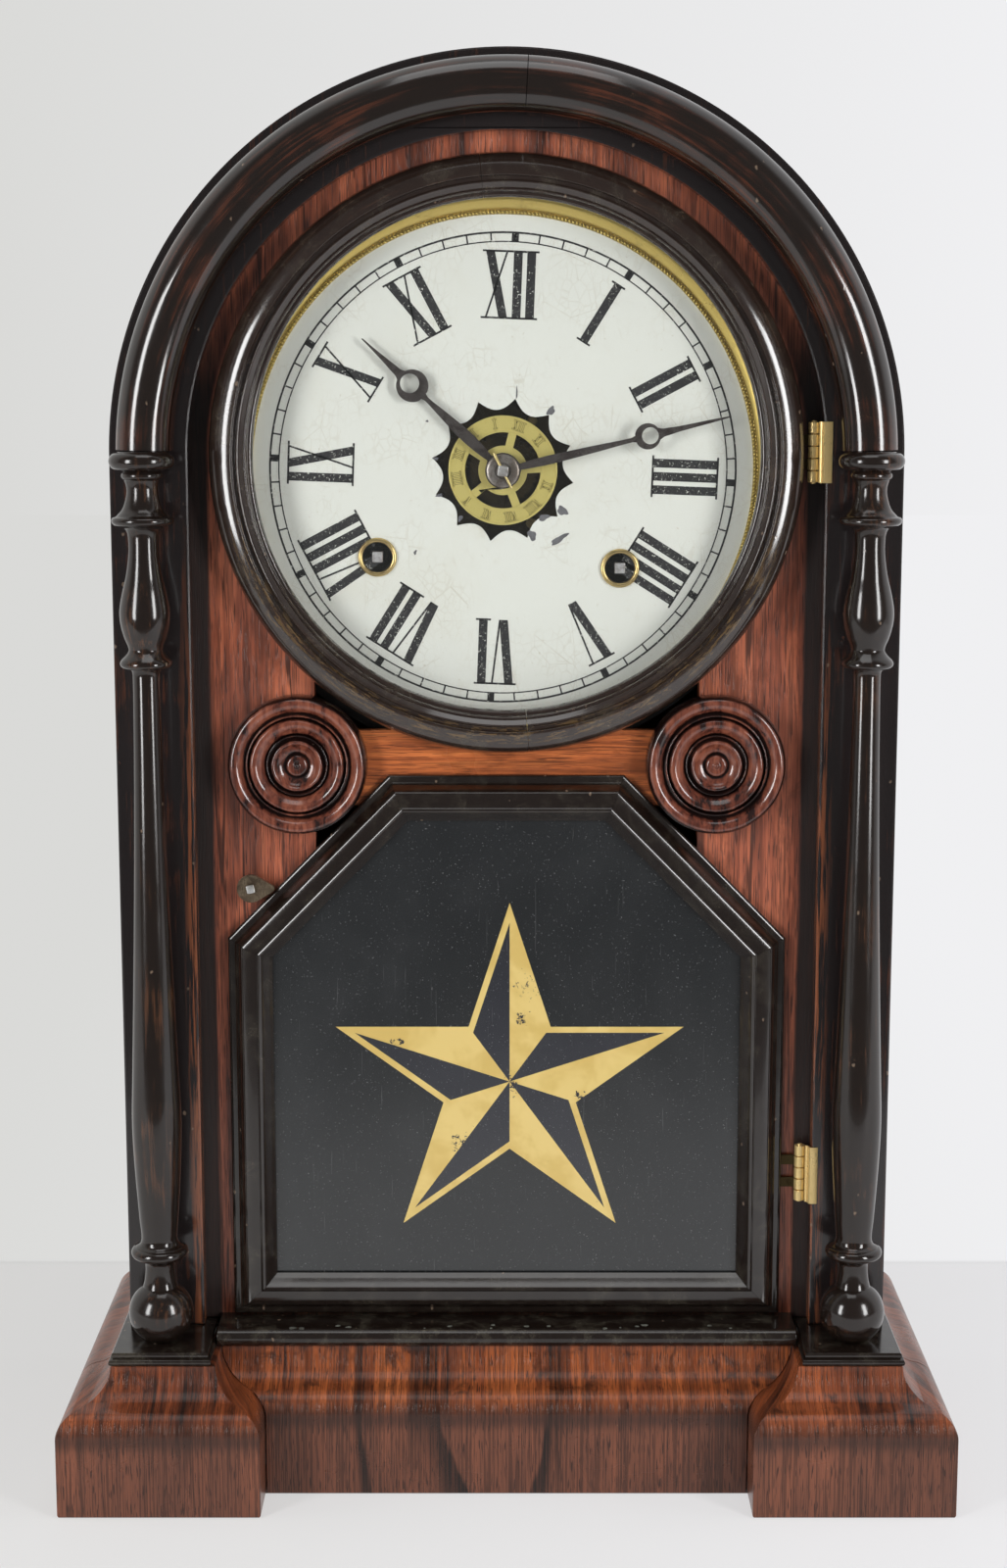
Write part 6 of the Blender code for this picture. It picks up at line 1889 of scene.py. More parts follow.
@dataclass
class Tablet(SubAssembly):
    """Black glass in the lower frame with the gilt five-pointed star."""

    palette: Palette
    back: float = -21.2
    glass: float = 1.9
    lap: float = 12.3
    star: Point = (1.0, 130.9)
    reach: float = 59.5
    arms: int = 5
    waist_share: float = 0.382
    border: float = 2.0
    leaf: float = 0.08

    def build(self, outline: Sequence[Point]) -> None:
        """Make the glass and the star.

        Args:
            outline: Outline of the lower frame.
        """
        front = self.back - self.glass
        self.piece("tablet", slab(inset(outline, self.lap), front, self.back), self.palette.tablet, "door",
                   "black_glass", ["tablet_glass"], 0.15)
        pitch = 360.0 / self.arms
        tips = [self.spot(pitch * k, self.reach) for k in range(self.arms)]
        waists = [self.spot(pitch * (k + 0.5), self.reach * self.waist_share) for k in range(self.arms)]
        bright, shade = [], []
        for k in range(self.arms):
            right = [self.star, tips[k], waists[k]]
            left = [self.star, waists[k - 1], tips[k]]
            bright.append(slab(right, front - self.leaf, front + LET_IN))
            shade.append(slab(left, front - self.leaf * 0.5, front + LET_IN))
            edge = self.strip(waists[k - 1], tips[k])
            bright.append(slab(edge, front - self.leaf, front + LET_IN))
        self.piece("star_gilt", together(*bright), self.palette.gilt, "door", "black_glass", smooth=5.0)
        self.piece("star_shade", together(*shade), self.palette.shade, "door", "black_glass", smooth=5.0)

    def spot(self, clockwise: float, reach: float) -> Point:
        """Point of the star at an angle from twelve."""
        return swung((0.0, reach), self.star, -clockwise)

    def strip(self, waist: Point, tip: Point) -> list[Point]:
        """The gilt border along the dark edge of an arm.

        Args:
            waist: Inner corner of the arm.
            tip: Point of the arm.

        Returns:
            The border's outline.
        """
        a, b, middle = Vector(waist), Vector(tip), Vector(self.star)
        along = (b - a).normalized()
        inward = Vector((-along.y, along.x))
        if inward.dot(middle - a) < 0.0:
            inward = -inward
        toward = (middle - a).normalized()
        c = a + toward * (self.border / max(abs(toward.dot(inward)), 0.2))
        back = (middle - b).normalized()
        d = b + back * (self.border / max(abs(back.dot(inward)), 0.15))
        return [(a.x, a.y), (b.x, b.y), (d.x, d.y), (c.x, c.y)]


@dataclass
class Hardware(SubAssembly):
    """Two butt hinges and the turn button."""

    palette: Palette
    hinge_x: float = 96.2
    hinge_y: float = -22.7
    knuckle: float = 1.75
    height: float = 19.0
    knuckles: int = 5
    gap: float = 0.32
    upper_z: float = 325.0
    lower_z: float = 90.5
    latch: Point = (-82.3, 195.4)
    latch_back: float = -20.2
    latch_step: float = -23.5
    latch_front: float = -25.0
    latch_radius: float = 4.5
    latch_nose: float = 6.4
    latch_tip: float = 1.2
    screw_half: float = 1.35
    screw_turn: float = 12.0

    def build(self) -> None:
        """Make the hinges and the button."""
        for word, foot in (("upper", self.upper_z), ("lower", self.lower_z)):
            self.piece(word + "_hinge_case", self.case_half(foot), self.palette.hinge_brass, "case", "brass",
                       [word + "_hinge_case_leaf"])
            self.piece(word + "_hinge_knuckles", together(*self.barrel(foot, 1)), self.palette.hinge_brass, "door",
                       "brass", [word + "_hinge_door_leaf"])
            # The leaf and tabs in shaded brass are painted shade where they show beside the door
            self.piece(word + "_hinge_plate", self.door_leaf(foot), self.palette.dark_brass, "door", "brass")
        self.button()

    def barrel(self, foot: float, first: int) -> list[Mesh]:
        """Every second knuckle of a hinge, with eased ends.

        Args:
            foot: Z of the hinge's foot.
            first: First knuckle, counted from 0 at the foot.

        Returns:
            The knuckles.
        """
        pitch, r, ease = self.height / self.knuckles, self.knuckle, 0.16
        tubes = []
        for i in range(first, self.knuckles, 2):
            low, high = foot + pitch * i + self.gap / 2, foot + pitch * (i + 1) - self.gap / 2
            wall = [(0.9, low), (r - ease, low), (r, low + ease), (r, high - ease), (r - ease, high), (0.9, high)]
            tubes.append(lathe(wall, 28, (self.hinge_x, self.hinge_y), Axis.UPRIGHT, True))
        return tubes

    def case_half(self, foot: float) -> Mesh:
        """The case's knuckles, the pin and the leaf bent over the frame's edge.

        Args:
            foot: Z of the hinge's foot.

        Returns:
            The case's half of the hinge.
        """
        x, y = self.hinge_x, self.hinge_y
        top = foot + self.height
        pin = lathe([(0.0, foot - 0.3), (0.7, foot - 0.3), (0.88, foot),
                     (0.88, top), (0.7, top + 0.3), (0.0, top + 0.3)],
                    20, (x, y), Axis.UPRIGHT)
        bend = [(x + 1.55, y - 1.2), (x + 1.75, y - 1.6), (x + 2.2, y - 1.85), (x + 2.4, y - 2.4), (x + 2.6, y - 3.5),
                (x + 3.0, y - 3.95), (x + 5.0, y - 4.05), (x + 5.4, y - 3.9), (x + 5.5, y - 3.55), (x + 3.4, y - 3.55),
                (x + 3.0, y - 3.0), (x + 2.85, y - 1.6), (x + 2.4, y - 1.3), (x + 1.95, y - 0.75)]
        return together(pin, prism(bend, foot, top), *self.barrel(foot, 0))

    def door_leaf(self, foot: float) -> Mesh:
        """The leaf behind the door and the tabs that roll into its knuckles.

        Args:
            foot: Z of the hinge's foot.

        Returns:
            The leaf and its tabs.
        """
        x, y = self.hinge_x, self.hinge_y
        pitch = self.height / self.knuckles
        leaf = block((x - 12.0, y + 1.8, foot), (x - 6.2, y + 2.5, foot + self.height))
        tabs = [block((x - 6.2, y + 1.5, foot + pitch * i + 0.3), (x - 0.6, y + 2.2, foot + pitch * (i + 1) - 0.3))
                for i in (1, 3)]
        return together(leaf, *tabs)

    def button(self) -> None:
        """The turn button with its tapered nose, and the square-headed screw it turns on."""
        x, z = self.latch
        slope = math.degrees(math.acos((self.latch_radius - self.latch_tip) / self.latch_nose))
        edge = arc(self.latch, self.latch_radius, slope, 360.0 - slope, 44)
        edge += arc((x + self.latch_nose, z), self.latch_tip, -slope, slope, 10)
        plate = slab(edge, self.latch_front, self.latch_step)
        r = self.latch_radius - 1.0
        step = self.latch_step + 0.2
        boss = lathe([(0.0, self.latch_back), (r, self.latch_back), (r, step), (0.0, step)], 32, self.latch,
                     Axis.FORWARD)
        self.piece("turn_button", together(plate, boss), self.palette.button_metal, "latch", "brass",
                   ["latch_button"], 0.35)
        head = square(self.latch, self.screw_half, self.screw_turn)
        screw = slab(head, self.latch_front - 1.3, self.latch_front - 0.15)
        self.piece("button_screw", screw, self.palette.bright_steel, "case", "steel", ["latch_screw"], 0.4)


@dataclass
class RomanHand:
    """Draws Roman numerals as strokes in a small upright frame."""

    thick: float
    thin: float
    height: float
    pitch: float
    letter: float

    def strokes(self, word: str) -> list[list[Point]]:
        """Outlines of a numeral's strokes, centred across, from its foot at 0 to its height.

        Args:
            word: Numeral in the letters I, V and X.

        Returns:
            Four-sided outlines of (across, up) points.
        """
        widths = [self.pitch if c == "I" else self.letter for c in word]
        left = -sum(widths) / 2
        quads: list[list[Point]] = []
        for c, width in zip(word, widths):
            a, b = left + 0.08 * width, left + 0.92 * width
            middle = left + width / 2
            if c == "I":
                quads.append(self.bar(middle, middle, self.thick))
            elif c == "V":
                foot = middle + 0.1 * width
                quads.append(self.bar(foot - self.thick * 0.3, a + self.thick * 0.5, self.thick))
                quads.append(self.bar(foot + self.thin * 0.5, b - self.thin, self.thin))
            else:
                quads.append(self.bar(b - self.thick * 0.5, a + self.thick * 0.5, self.thick))
                quads.append(self.bar(a + self.thin, b - self.thin, self.thin))
            for level in (0.0, self.height):
                if c == "V" and level == 0.0:
                    continue
                over = 0.5 * self.thin if c == "I" else 0.03 * width
                x0, x1 = left - over, left + width + over
                low, high = level - self.thin / 2, level + self.thin / 2
                quads.append([(x0, low), (x1, low), (x1, high), (x0, high)])
            left += width
        return quads

    def bar(self, foot: float, head: float, width: float) -> list[Point]:
        """A stroke from the foot line to the head line."""
        half = width / 2
        return [(foot - half, 0.0), (foot + half, 0.0), (head + half, self.height), (head - half, self.height)]


@dataclass
class Dial(SubAssembly):
    """Painted dial with its numerals and minute track, the brass sash and the grommets."""

    palette: Palette
    x: float = DIAL_CENTRE[0]
    z: float = DIAL_CENTRE[1]
    face: float = -12.6
    thick: float = 1.0
    radius: float = 93.0
    turn: float = 2.6
    track_turn: float = 0.5
    hour_turn: float = -0.4
    track_outer: float = 74.0
    track_inner: float = 71.2
    numeral_foot: float = 47.6
    numeral_height: float = 20.6
    cusp: float = 22.8
    waist: float = 19.1
    scallops: int = 12
    scallop_turn: float = 22.6
    scallop_steps: int = 10
    chip_steps: int = 18
    chip_growth: float = 1.2
    winding: Point = (38.8, -29.3)
    eye_hole: float = 5.9
    grommet_outer: float = 6.2
    grommet_inner: float = 4.7
    sash_inner: float = 79.5
    sash_outer: float = 85.0
    rope_count: int = 430
    rope_radius: float = 80.15
    rope_bead: Triple = (1.7, 0.95, 1.5)
    rope_tilt: float = 34.0
    ink_rise: float = 0.05

    def spot(self, across: float, up: float, clockwise: float = 0.0) -> Point:
        """Place on the dial of a point drawn upright at an hour.

        Args:
            across: Distance to the right of the hour's line.
            up: Distance from the dial's middle.
            clockwise: Angle of the hour from twelve, in degrees.

        Returns:
            X and Z of the point.
        """
        return swung((across, up), (self.x, self.z), -(clockwise + self.turn))

    def scallop(self) -> list[Point]:
        """Edge of the centre hole: scallops that meet in outward points.

        Returns:
            Points of the edge.
        """
        points = []
        pitch = 360.0 / self.scallops
        for i in range(self.scallops):
            for k in range(self.scallop_steps):
                share = k / self.scallop_steps
                bulge = 1.0 - abs(2.0 * share - 1.0) ** 2.2
                angle = 90.0 - self.scallop_turn - pitch * (i + share)
                reach = self.cusp - (self.cusp - self.waist) * bulge
                points.append(self.spot(0.0, reach, angle))
        return points[::-1]

    def build(self) -> None:
        """Make the dial's pieces."""
        p = self.palette
        holes = [self.scallop()]
        eyes = {side: self.spot(side.value * self.winding[0], self.winding[1]) for side in Side}
        holes += [circle(self.eye_hole, 40, eye) for eye in eyes.values()]
        self.piece("dial", slab(circle(self.radius, 128, (self.x, self.z)), self.face, self.face + self.thick, holes),
                   p.dial_white, "case", "dial_paint", ["dial_pan"])
        self.piece("dial_numerals", self.numerals(), p.ink, "case", "dial_paint", smooth=5.0)
        self.piece("dial_chips", self.chips(), p.zinc, "case", "dial_paint", smooth=5.0)
        self.track()
        self.sash()
        for side, eye in eyes.items():
            lip = [(self.grommet_inner, self.face + 1.8), (self.grommet_inner, self.face - 0.5)]
            lip += [(5.45 + 0.75 * math.cos(math.radians(a)), self.face - 0.45 - 0.75 * math.sin(math.radians(a)))
                    for a in range(170, -1, -17)]
            lip += [(self.grommet_outer, self.face - 0.02), (5.6, self.face - 0.02), (5.6, self.face + 1.8)]
            self.piece("grommet_ring_" + side.word, lathe(lip, 56, eye, Axis.FORWARD, True), p.brass, "case", "brass",
                       ["grommet_" + side.word])

    def chips(self) -> Mesh:
        """Places where the paint has flaked off, mostly round the centre hole.

        Returns:
            All the chips.
        """
        # Across, up, half length, half width and slope of each chip
        flakes = ((15.2, 18.7, 1.3, 0.9, 50.0), (19.0, -12.8, 1.5, 1.1, -30.0), (13.1, -14.9, 1.5, 0.8, 20.0),
                  (9.3, -20.6, 1.5, 1.0, -60.0), (-13.6, -15.2, 0.9, 0.5, 60.0), (-20.3, -7.9, 0.9, 0.4, 15.0),
                  (-21.4, 3.7, 0.8, 0.4, 0.0), (4.4, 24.4, 1.6, 0.22, 88.0), (18.0, -21.8, 2.7, 0.75, 34.0),
                  (-28.0, -26.0, 0.7, 0.35, 70.0), (-24.0, 15.5, 0.4, 0.3, 0.0))
        shapes = []
        for k, (x, z, long, wide, slope) in enumerate(flakes):
            edge = []
            for i in range(self.chip_steps):
                a = math.tau * i / self.chip_steps
                ragged = self.chip_growth * (1.0 + 0.16 * math.sin(3.0 * a + k) + 0.1 * math.sin(5.0 * a + 2.0 * k))
                edge.append(swung((long * ragged * math.cos(a), wide * ragged * math.sin(a)),
                                  (self.x + x, self.z + z), slope))
            shapes.append(slab(edge, self.face - 0.02, self.face + LET_IN))
        return together(*shapes)

    def numerals(self) -> Mesh:
        """The twelve hours, feet towards the middle.

        Returns:
            Every stroke.
        """
        hand = RomanHand(thick=2.75, thin=0.62, height=self.numeral_height, pitch=4.2, letter=8.8)
        shapes = []
        for hour, word in enumerate(HOURS):
            for quad in hand.strokes(word):
                edge = [self.spot(u, self.numeral_foot + v, HOUR_DEG * hour + self.hour_turn) for u, v in quad]
                shapes.append(slab(edge, self.face - self.ink_rise, self.face + LET_IN))
        return together(*shapes)

    def track(self) -> None:
        """The minute track: two hairline rings, sixty ticks and twelve blocks."""
        centre = (self.x, self.z)
        rings = [hoop(radius, line, self.face - self.ink_rise, self.face + LET_IN, 180, centre)
                 for radius, line in ((self.track_outer, 0.62), (self.track_inner, 0.4))]
        self.piece("minute_rings", together(*rings), self.palette.ink, "case", "dial_paint")
        marks = MarkRing(Mark.BAR)
        middle = (self.track_outer + self.track_inner) / 2
        length = self.track_outer - self.track_inner
        spot = (self.x, self.face + 0.05, self.z)
        for name, count, width in (("minute_ticks", 60, 0.5), ("hour_blocks", 12, 2.2)):
            size = (length, width, 2.0 * self.ink_rise + 0.1)
            ring = marks.make(name, count, middle, size, 0.0, spot, self.turn + self.track_turn, self.palette.ink)
            self.place(ring, self.palette.ink, "case", "dial_paint")

    def sash(self) -> None:
        """The brass sash round the dial, with a roped edge."""
        back = self.face - 0.02
        shape = [(self.sash_outer, back), (self.sash_outer, back - 3.2)]
        shape += flowing([(self.sash_outer - 0.3, back - 3.4), (84.0, back - 3.3), (83.0, back - 2.8),
                          (82.0, back - 2.2), (81.2, back - 1.5), (80.9, back - 0.9),
                          (self.sash_inner, back - 0.7)], 4)
        shape.append((self.sash_inner, back))
        self.piece("sash", lathe(shape, 144, (self.x, self.z), Axis.FORWARD, True), self.palette.sash_brass, "case",
                   "brass", ["dial_sash"])
        beads = MarkRing(Mark.BEAD)
        rope = beads.make("sash_rope", self.rope_count, self.rope_radius, self.rope_bead, self.rope_tilt,
                          (self.x, back - 0.95, self.z), 0.0, self.palette.sash_brass)
        self.place(rope, self.palette.sash_brass, "case", "brass", smooth=60.0)


@dataclass
class Hands(SubAssembly):
    """Hour and minute hands, the alarm disc under them and the pin that holds them."""

    palette: Palette
    x: float = DIAL_CENTRE[0]
    z: float = DIAL_CENTRE[1]
    alarm_face: float = -13.0
    hour_face: float = -15.4
    minute_face: float = -17.6
    thick: float = 0.8
    boss: float = 5.6
    minute_angle: float = 76.7
    minute_length: float = 74.0
    minute_eye: Triple = (47.0, 4.1, 2.65)
    minute_belly: float = 1.4
    hour_angle: float = 312.9
    hour_length: float = 60.5
    hour_eye: Triple = (39.0, 5.1, 3.05)
    hour_belly: float = 1.85
    hour_pipe: float = 3.7
    cannon_pipe: float = 2.6
    disc_outer: float = 17.3
    disc_rim: float = 12.0
    disc_hub: float = 7.8
    spoke: float = 2.6
    spokes: int = 5
    spoke_start: float = 3.0
    figure_foot: float = 13.4
    figure_height: float = 2.8
    figure_turn: float = 20.0
    arbor_half: float = 1.6
    arbor_turn: float = -8.0
    pin_tilt: float = -27.0

    def outline(self, length: float, eye: Triple, belly: float, angle: float) -> tuple[list[Point], list[Point]]:
        """Edge of a hand and of its eye.

        Args:
            length: Length from the axis to the tip.
            eye: Reach, radius and hole radius of the eye.
            belly: Half the width of the stem at its widest.
            angle: Clockwise angle from twelve, in degrees.

        Returns:
            The hand's edge and the eye's edge.
        """
        reach, outer, hole = eye
        collar = arc((0.0, 0.0), self.boss, -90.0, 68.0, 28)
        stem = flowing([(1.0, self.boss + 0.2), (0.4 + 0.6 * belly, self.boss + 4.0), (belly, self.boss + 10.0),
                        (0.5 + 0.4 * belly, (reach - outer + self.boss) / 2 + 6.0), (0.7, reach - outer - 1.2),
                        (1.1, reach - outer + 0.3)], 4)
        round_eye = arc((0.0, reach), outer, -70.0, 64.0, 22)
        tip = flowing([(1.9, reach + outer - 0.4), (1.3, reach + outer + 1.0), (1.15, reach + outer + 2.8),
                       (0.85, reach + outer + 6.0), (0.45, length - 5.0), (0.18, length)], 4)
        half = collar + stem + round_eye + tip
        whole = half + [(-a, b) for a, b in reversed(half[1:])]
        ring = circle(hole, 32, (0.0, reach + (outer - hole) * 0.55))
        centre = (self.x, self.z)
        return [swung(p, centre, -angle) for p in whole], [swung(p, centre, -angle) for p in ring]

    def build(self) -> None:
        """Make the hands, disc and pin."""
        p = self.palette
        centre = (self.x, self.z)
        for word, length, eye, belly, angle, face, bore in (
                ("hour", self.hour_length, self.hour_eye, self.hour_belly, self.hour_angle, self.hour_face,
                 self.hour_pipe),
                ("minute", self.minute_length, self.minute_eye, self.minute_belly, self.minute_angle, self.minute_face,
                 self.cannon_pipe)):
            edge, hole = self.outline(length, eye, belly, angle)
            self.piece(word + "_pointer", slab(edge, face, face + self.thick, [hole, circle(bore, 32, centre)]),
                       p.hand_steel, word + "_hand", "steel", [word + "_hand"], 0.14)
        self.piece("alarm_ring", self.disc(), p.disc_brass, "alarm_disc", "brass", ["alarm_disc"], 0.1)
        # The wider dark strokes under each raised figure are painted shade round its edges
        for name, thick, thin, rise, metal in (("alarm_hours_edge", 0.62, 0.4, 0.1, p.ring_brass),
                                               ("alarm_hours", 0.34, 0.18, 0.28, p.disc_brass)):
            hand = RomanHand(thick, thin, height=self.figure_height, pitch=1.05, letter=1.8)
            self.piece(name, self.disc_hours(hand, rise), metal, "alarm_disc", "brass", smooth=5.0)
        front = self.minute_face
        dome = flowing([(5.3, front - 0.05), (5.3, front - 0.05), (5.1, front - 0.5), (4.2, front - 0.75),
                        (2.5, front - 0.85), (2.5, front - 0.85)], 4) + [(2.5, front - 0.05)]
        self.piece("hand_collet", lathe(dome, 40, centre, Axis.FORWARD, True), p.steel, "minute_hand", "steel")
        arbor = slab(square(centre, self.arbor_half, self.arbor_turn), front - 2.6, front - 1.0)
        self.piece("arbor_square", arbor, p.bright_steel, "centre_wheel", "steel", bevel=0.25)
        self.piece("taper_pin", self.pin(), p.bright_brass, "centre_wheel", "brass")

    def disc(self) -> Mesh:
        """The pierced alarm disc with its five spokes and stepped rim.

        Returns:
            The plate and its rims.
        """
        centre = (self.x, self.z)
        windows = []
        pitch = 360.0 / self.spokes
        inner = math.degrees(math.asin(self.spoke / 2 / self.disc_hub))
        outer = math.degrees(math.asin(self.spoke / 2 / self.disc_rim))
        for i in range(self.spokes):
            low = self.spoke_start + pitch * i
            windows.append(arc(centre, self.disc_rim, low + outer, low + pitch - outer, 14)
                           + arc(centre, self.disc_hub, low + pitch - inner, low + inner, 8))
        windows.append(circle(self.hour_pipe, 28, centre))
        plate = slab(circle(self.disc_outer, 84, centre), self.alarm_face, self.alarm_face + 1.0, windows)
        rims = [hoop(radius, width, self.alarm_face - 0.22, self.alarm_face + 0.3, 84, centre)
                for radius, width in ((self.disc_outer - 0.35, 0.5), (self.disc_rim + 0.5, 0.6))]
        return together(plate, *rims)

    def disc_hours(self, hand: RomanHand, rise: float) -> Mesh:
        """Raised hours on the alarm disc, running backwards round it.

        Args:
            hand: Hand that the figures are drawn in.
            rise: Height of the figures.

        Returns:
            The figures.
        """
        shapes = []
        for hour, word in enumerate(HOURS[:1] + HOURS[:0:-1]):
            angle = -(HOUR_DEG * hour + self.figure_turn)
            for quad in hand.strokes(word):
                edge = [swung((u, self.figure_foot + v), (self.x, self.z), angle) for u, v in quad]
                shapes.append(slab(edge, self.alarm_face - rise, self.alarm_face + LET_IN))
        return together(*shapes)

    def pin(self) -> Mesh:
        """The tapered wire pushed across the arbor.

        Returns:
            A closed mesh.
        """
        profile = [(0.0, -6.2), (0.32, -6.1), (0.5, 6.0), (0.4, 6.3), (0.0, 6.35)]
        bm = lathe(profile, 14, (0.0, 0.0), Axis.UPRIGHT)
        tilt = Matrix.Rotation(math.radians(self.pin_tilt), 4, "Y")
        tilt.translation = (self.x, self.minute_face - 1.5, self.z)
        bmesh.ops.transform(bm, matrix=tilt, verts=bm.verts)
        return bm


@dataclass
class Movement(SubAssembly):
    """Plates, wheels, pendulum, gong and bell inside the case."""

    palette: Palette
    end_half: float = 1.7
    reach: float = 1.0
    bell_wall: float = 1.1
    bell_bore: float = 0.14

    def build(self) -> None:
        """Dress the works."""
        p = self.palette
        # Front plate and wheels in shaded brass: painted shade behind the dial's centre hole
        self.dress(["movement_front_plate", "hour_wheel", "minute_wheel"], p.dark_brass)
        self.piece("bell", self.bell(), p.brass, "case", "brass", ["alarm_bell"], smooth=40.0)
        self.dress(["movement_back_plate", "second_wheel", "third_wheel", "escape_wheel", "pendulum_bob"], p.brass)
        self.dress(["time_great_wheel", "strike_great_wheel"], p.hand_steel)
        for word in ("time", "strike"):
            body = word + "_great_wheel"
            low, high = box_of(body)
            end = square(((low[0] + high[0]) / 2, (low[2] + high[2]) / 2), self.end_half)
            self.piece("winding_end_" + word, slab(end, low[1] - self.reach, low[1] + 1.2), p.worn_steel, body,
                       "steel", bevel=0.4)
        self.dress(["centre_wheel", "cannon_pinion", "verge", "pendulum_rod",
                    "coil_gong", "gong_block", "strike_hammer", "alarm_bell_post", "alarm_hammer"], p.steel)
        self.dress(["mounting_strip_left", "mounting_strip_right"], p.pine)

    def bell(self) -> Mesh:
        """The alarm bell, turned in a round-shouldered section.

        Returns:
            A closed mesh.
        """
        low, high = box_of("alarm_bell")
        wide, tall, wall = (high[0] - low[0]) / 2, high[2] - low[2], self.bell_wall
        turns = [math.radians(8.0 * i) for i in range(10)]
        outer = [(wide * math.cos(a), low[2] + tall * math.sin(a)) for a in turns]
        outer += [(wide * self.bell_bore, high[2]), (wide * self.bell_bore, high[2] - wall)]
        inner = [((wide - wall) * math.cos(a), low[2] + (tall - wall) * math.sin(a)) for a in reversed(turns)]
        return lathe(outer + inner, 64, ((low[0] + high[0]) / 2, (low[1] + high[1]) / 2), Axis.UPRIGHT, True)


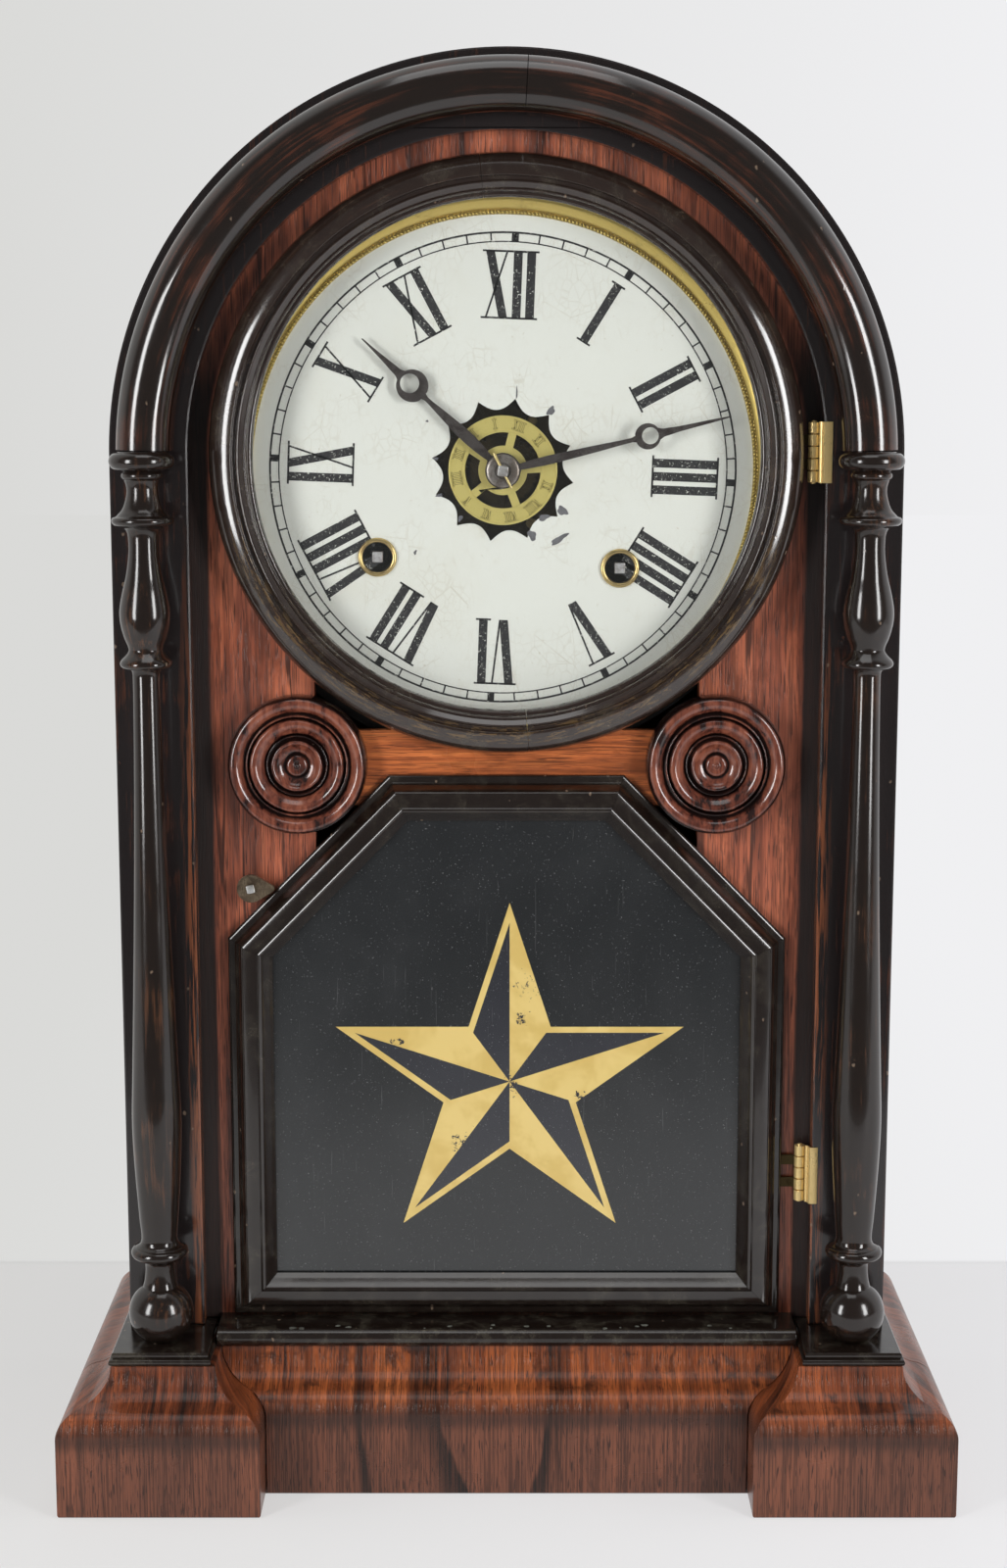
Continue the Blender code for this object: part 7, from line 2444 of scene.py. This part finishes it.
@dataclass
class Studio:
    """Floor, pale surroundings, soft lamps and the camera."""

    table_edge: float = 0.165
    table_front: float = -0.45
    table_half: float = 6.0
    edge_blur: float = 0.004
    wall: Colour = (0.87, 0.87, 0.885)
    table: Colour = (0.78, 0.775, 0.785)
    lit_table: Colour = (0.97, 0.965, 0.985)
    shaded_table: Colour = (0.79, 0.785, 0.765)
    shade_wall: Colour = (0.7, 0.7, 0.685)
    ambient: float = 0.17
    room: float = 0.14
    lift: float = 0.6
    lens: float = 56.7
    sensor: float = 36.0
    camera: Triple = (-0.001, -0.8032, 0.3556)
    pitch: float = 80.8
    aim: Triple = (0.0, 0.0, 0.23)

    def build(self) -> None:
        """Set the stage."""
        self.floor()
        self.world()
        self.lamp("softbox_left", (-0.66, -0.66, 0.37), (0.2, 0.54), 4.9)
        self.lamp("softbox_right", (0.66, -0.66, 0.37), (0.2, 0.54), 5.2)
        self.lamp("tent_left", (-1.0, -0.1, 0.42), (0.6, 0.9), 4.2, False)
        self.lamp("tent_right", (1.0, -0.1, 0.42), (0.6, 0.9), 4.6, False)
        self.lamp("overhead", (0.0, -0.3, 1.45), (0.7, 0.6), 2.5)
        data = bpy.data.cameras.new("camera")
        data.lens = self.lens
        data.sensor_width = self.sensor
        data.sensor_fit = "AUTO"
        shot = bpy.data.objects.new("camera", data)
        shot.location = self.camera
        shot.rotation_euler = (math.radians(self.pitch), 0.0, 0.0)
        bpy.context.scene.collection.objects.link(shot)
        bpy.context.scene.camera = shot
        bpy.context.scene.view_settings.view_transform = "Standard"

    def floor(self) -> None:
        """A wide pale table top, with a plain wall tone behind its edge. For camera and glossy rays both glow, painted
        shaded towards the left and lit towards the right.
        """
        bm = bmesh.new()
        near, wide = self.table_front, self.table_half
        bm.faces.new([bm.verts.new((x, y, 0.0)) for x, y in (
            (-wide, near), (wide, near), (wide, wide), (-wide, wide))])
        mesh = bpy.data.meshes.new("floor")
        bm.to_mesh(mesh)
        bm.free()
        obj = bpy.data.objects.new("floor", mesh)
        book = ShaderBook("table_top")
        cloud = book.noise(220.0, 3.0, 0.5)
        tone = book.mix(cloud.stepped(0.3, 0.7), self.table, tuple(0.97 * c for c in self.table))
        book.surface(tone, 0.6, cloud, 0.02, Specular_IOR_Level=0.2)
        behind = book.component(1).stepped(self.table_edge - self.edge_blur, self.table_edge + self.edge_blur)
        path = book.node("ShaderNodeLightPath")
        seen = Field(book, path.outputs["Is Camera Ray"]).larger(Field(book, path.outputs["Is Glossy Ray"]))
        # Painted light: the glow runs from shaded on the left to lit on the right
        side_light = book.component(0).stepped(-0.3, 0.3)
        bright = book.mix(behind, self.lit_table, self.wall)
        dull = book.mix(behind, self.shaded_table, self.shade_wall)
        glow = book.node("ShaderNodeEmission", None, {"Color": book.mix(side_light, dull, bright), "Strength": 1.0})
        mixed = book.blend(behind.larger(self.lift) * seen, book.shader.outputs[0], glow.outputs[0])
        book.feed(book.tree.nodes["Material Output"].inputs["Surface"], mixed)
        mesh.materials.append(book.material)
        bpy.context.scene.collection.objects.link(obj)

    def world(self) -> None:
        """Even light from all round, seen as a pale wall painted shaded on the left and lit on the right."""
        world = bpy.data.worlds.new("studio")
        bpy.context.scene.world = world
        world.use_nodes = True
        book = NodeBook(world.node_tree)
        plain = book.tree.nodes["Background"]
        book.feed(plain.inputs["Color"], (1.0, 1.0, 1.0))
        book.feed(plain.inputs["Strength"], self.ambient)
        lit, shaded, room = (book.node("ShaderNodeBackground", None, {"Color": colour}).outputs[0]
                             for colour in (self.wall, self.shade_wall, (self.room, self.room, self.room)))
        path = book.node("ShaderNodeLightPath").outputs
        generated = book.node("ShaderNodeTexCoord").outputs["Generated"]
        ways = book.node("ShaderNodeSeparateXYZ", None, {0: generated}).outputs
        # Painted shade on the wall's left and painted light on its right
        across = book.node("ShaderNodeMapRange", None, {"Value": ways[0], "From Min": -0.2, "From Max": 0.2})
        wall = book.blend(across.outputs[0], shaded, lit)
        mirrored = book.blend(Field(book, ways[1]).stepped(-0.35, 0.1), room, wall)
        bounced = book.blend(path["Is Glossy Ray"], plain.outputs[0], mirrored)
        passed = book.blend(path["Is Transmission Ray"], bounced, wall)
        shown = book.blend(path["Is Camera Ray"], passed, wall)
        book.feed(book.tree.nodes["World Output"].inputs["Surface"], shown)

    def lamp(self, name: str, place: Triple, size: Point, power: float, mirrored: bool = True) -> None:
        """Hang a softbox that faces the clock.

        Args:
            name: Name of the lamp.
            place: Where it hangs.
            size: Width and height in metres.
            power: Power in watts.
            mirrored: Whether polished surfaces show it.
        """
        data = bpy.data.lights.new(name, "AREA")
        data.shape = "RECTANGLE"
        data.size, data.size_y = size
        data.energy = power
        obj = bpy.data.objects.new(name, data)
        obj.location = place
        obj.visible_glossy = mirrored
        way = Vector(self.aim) - Vector(place)
        obj.rotation_euler = way.to_track_quat("-Z", "Y").to_euler()
        bpy.context.scene.collection.objects.link(obj)


def main() -> None:
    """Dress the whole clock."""
    logging.basicConfig(level=logging.INFO, format="%(name)s: %(message)s")
    Studio().build()
    palette = Palette.mixed(ARCH_CENTRE, DIAL_CENTRE)
    door = Door(palette)
    Base(palette).build()
    Case(palette).build(door.outline())
    Columns(palette).build()
    door.build()
    Tablet(palette).build(door.outline())
    Hardware(palette).build()
    Dial(palette).build()
    Hands(palette).build()
    Movement(palette).build()


if __name__ == "__main__":
    main()
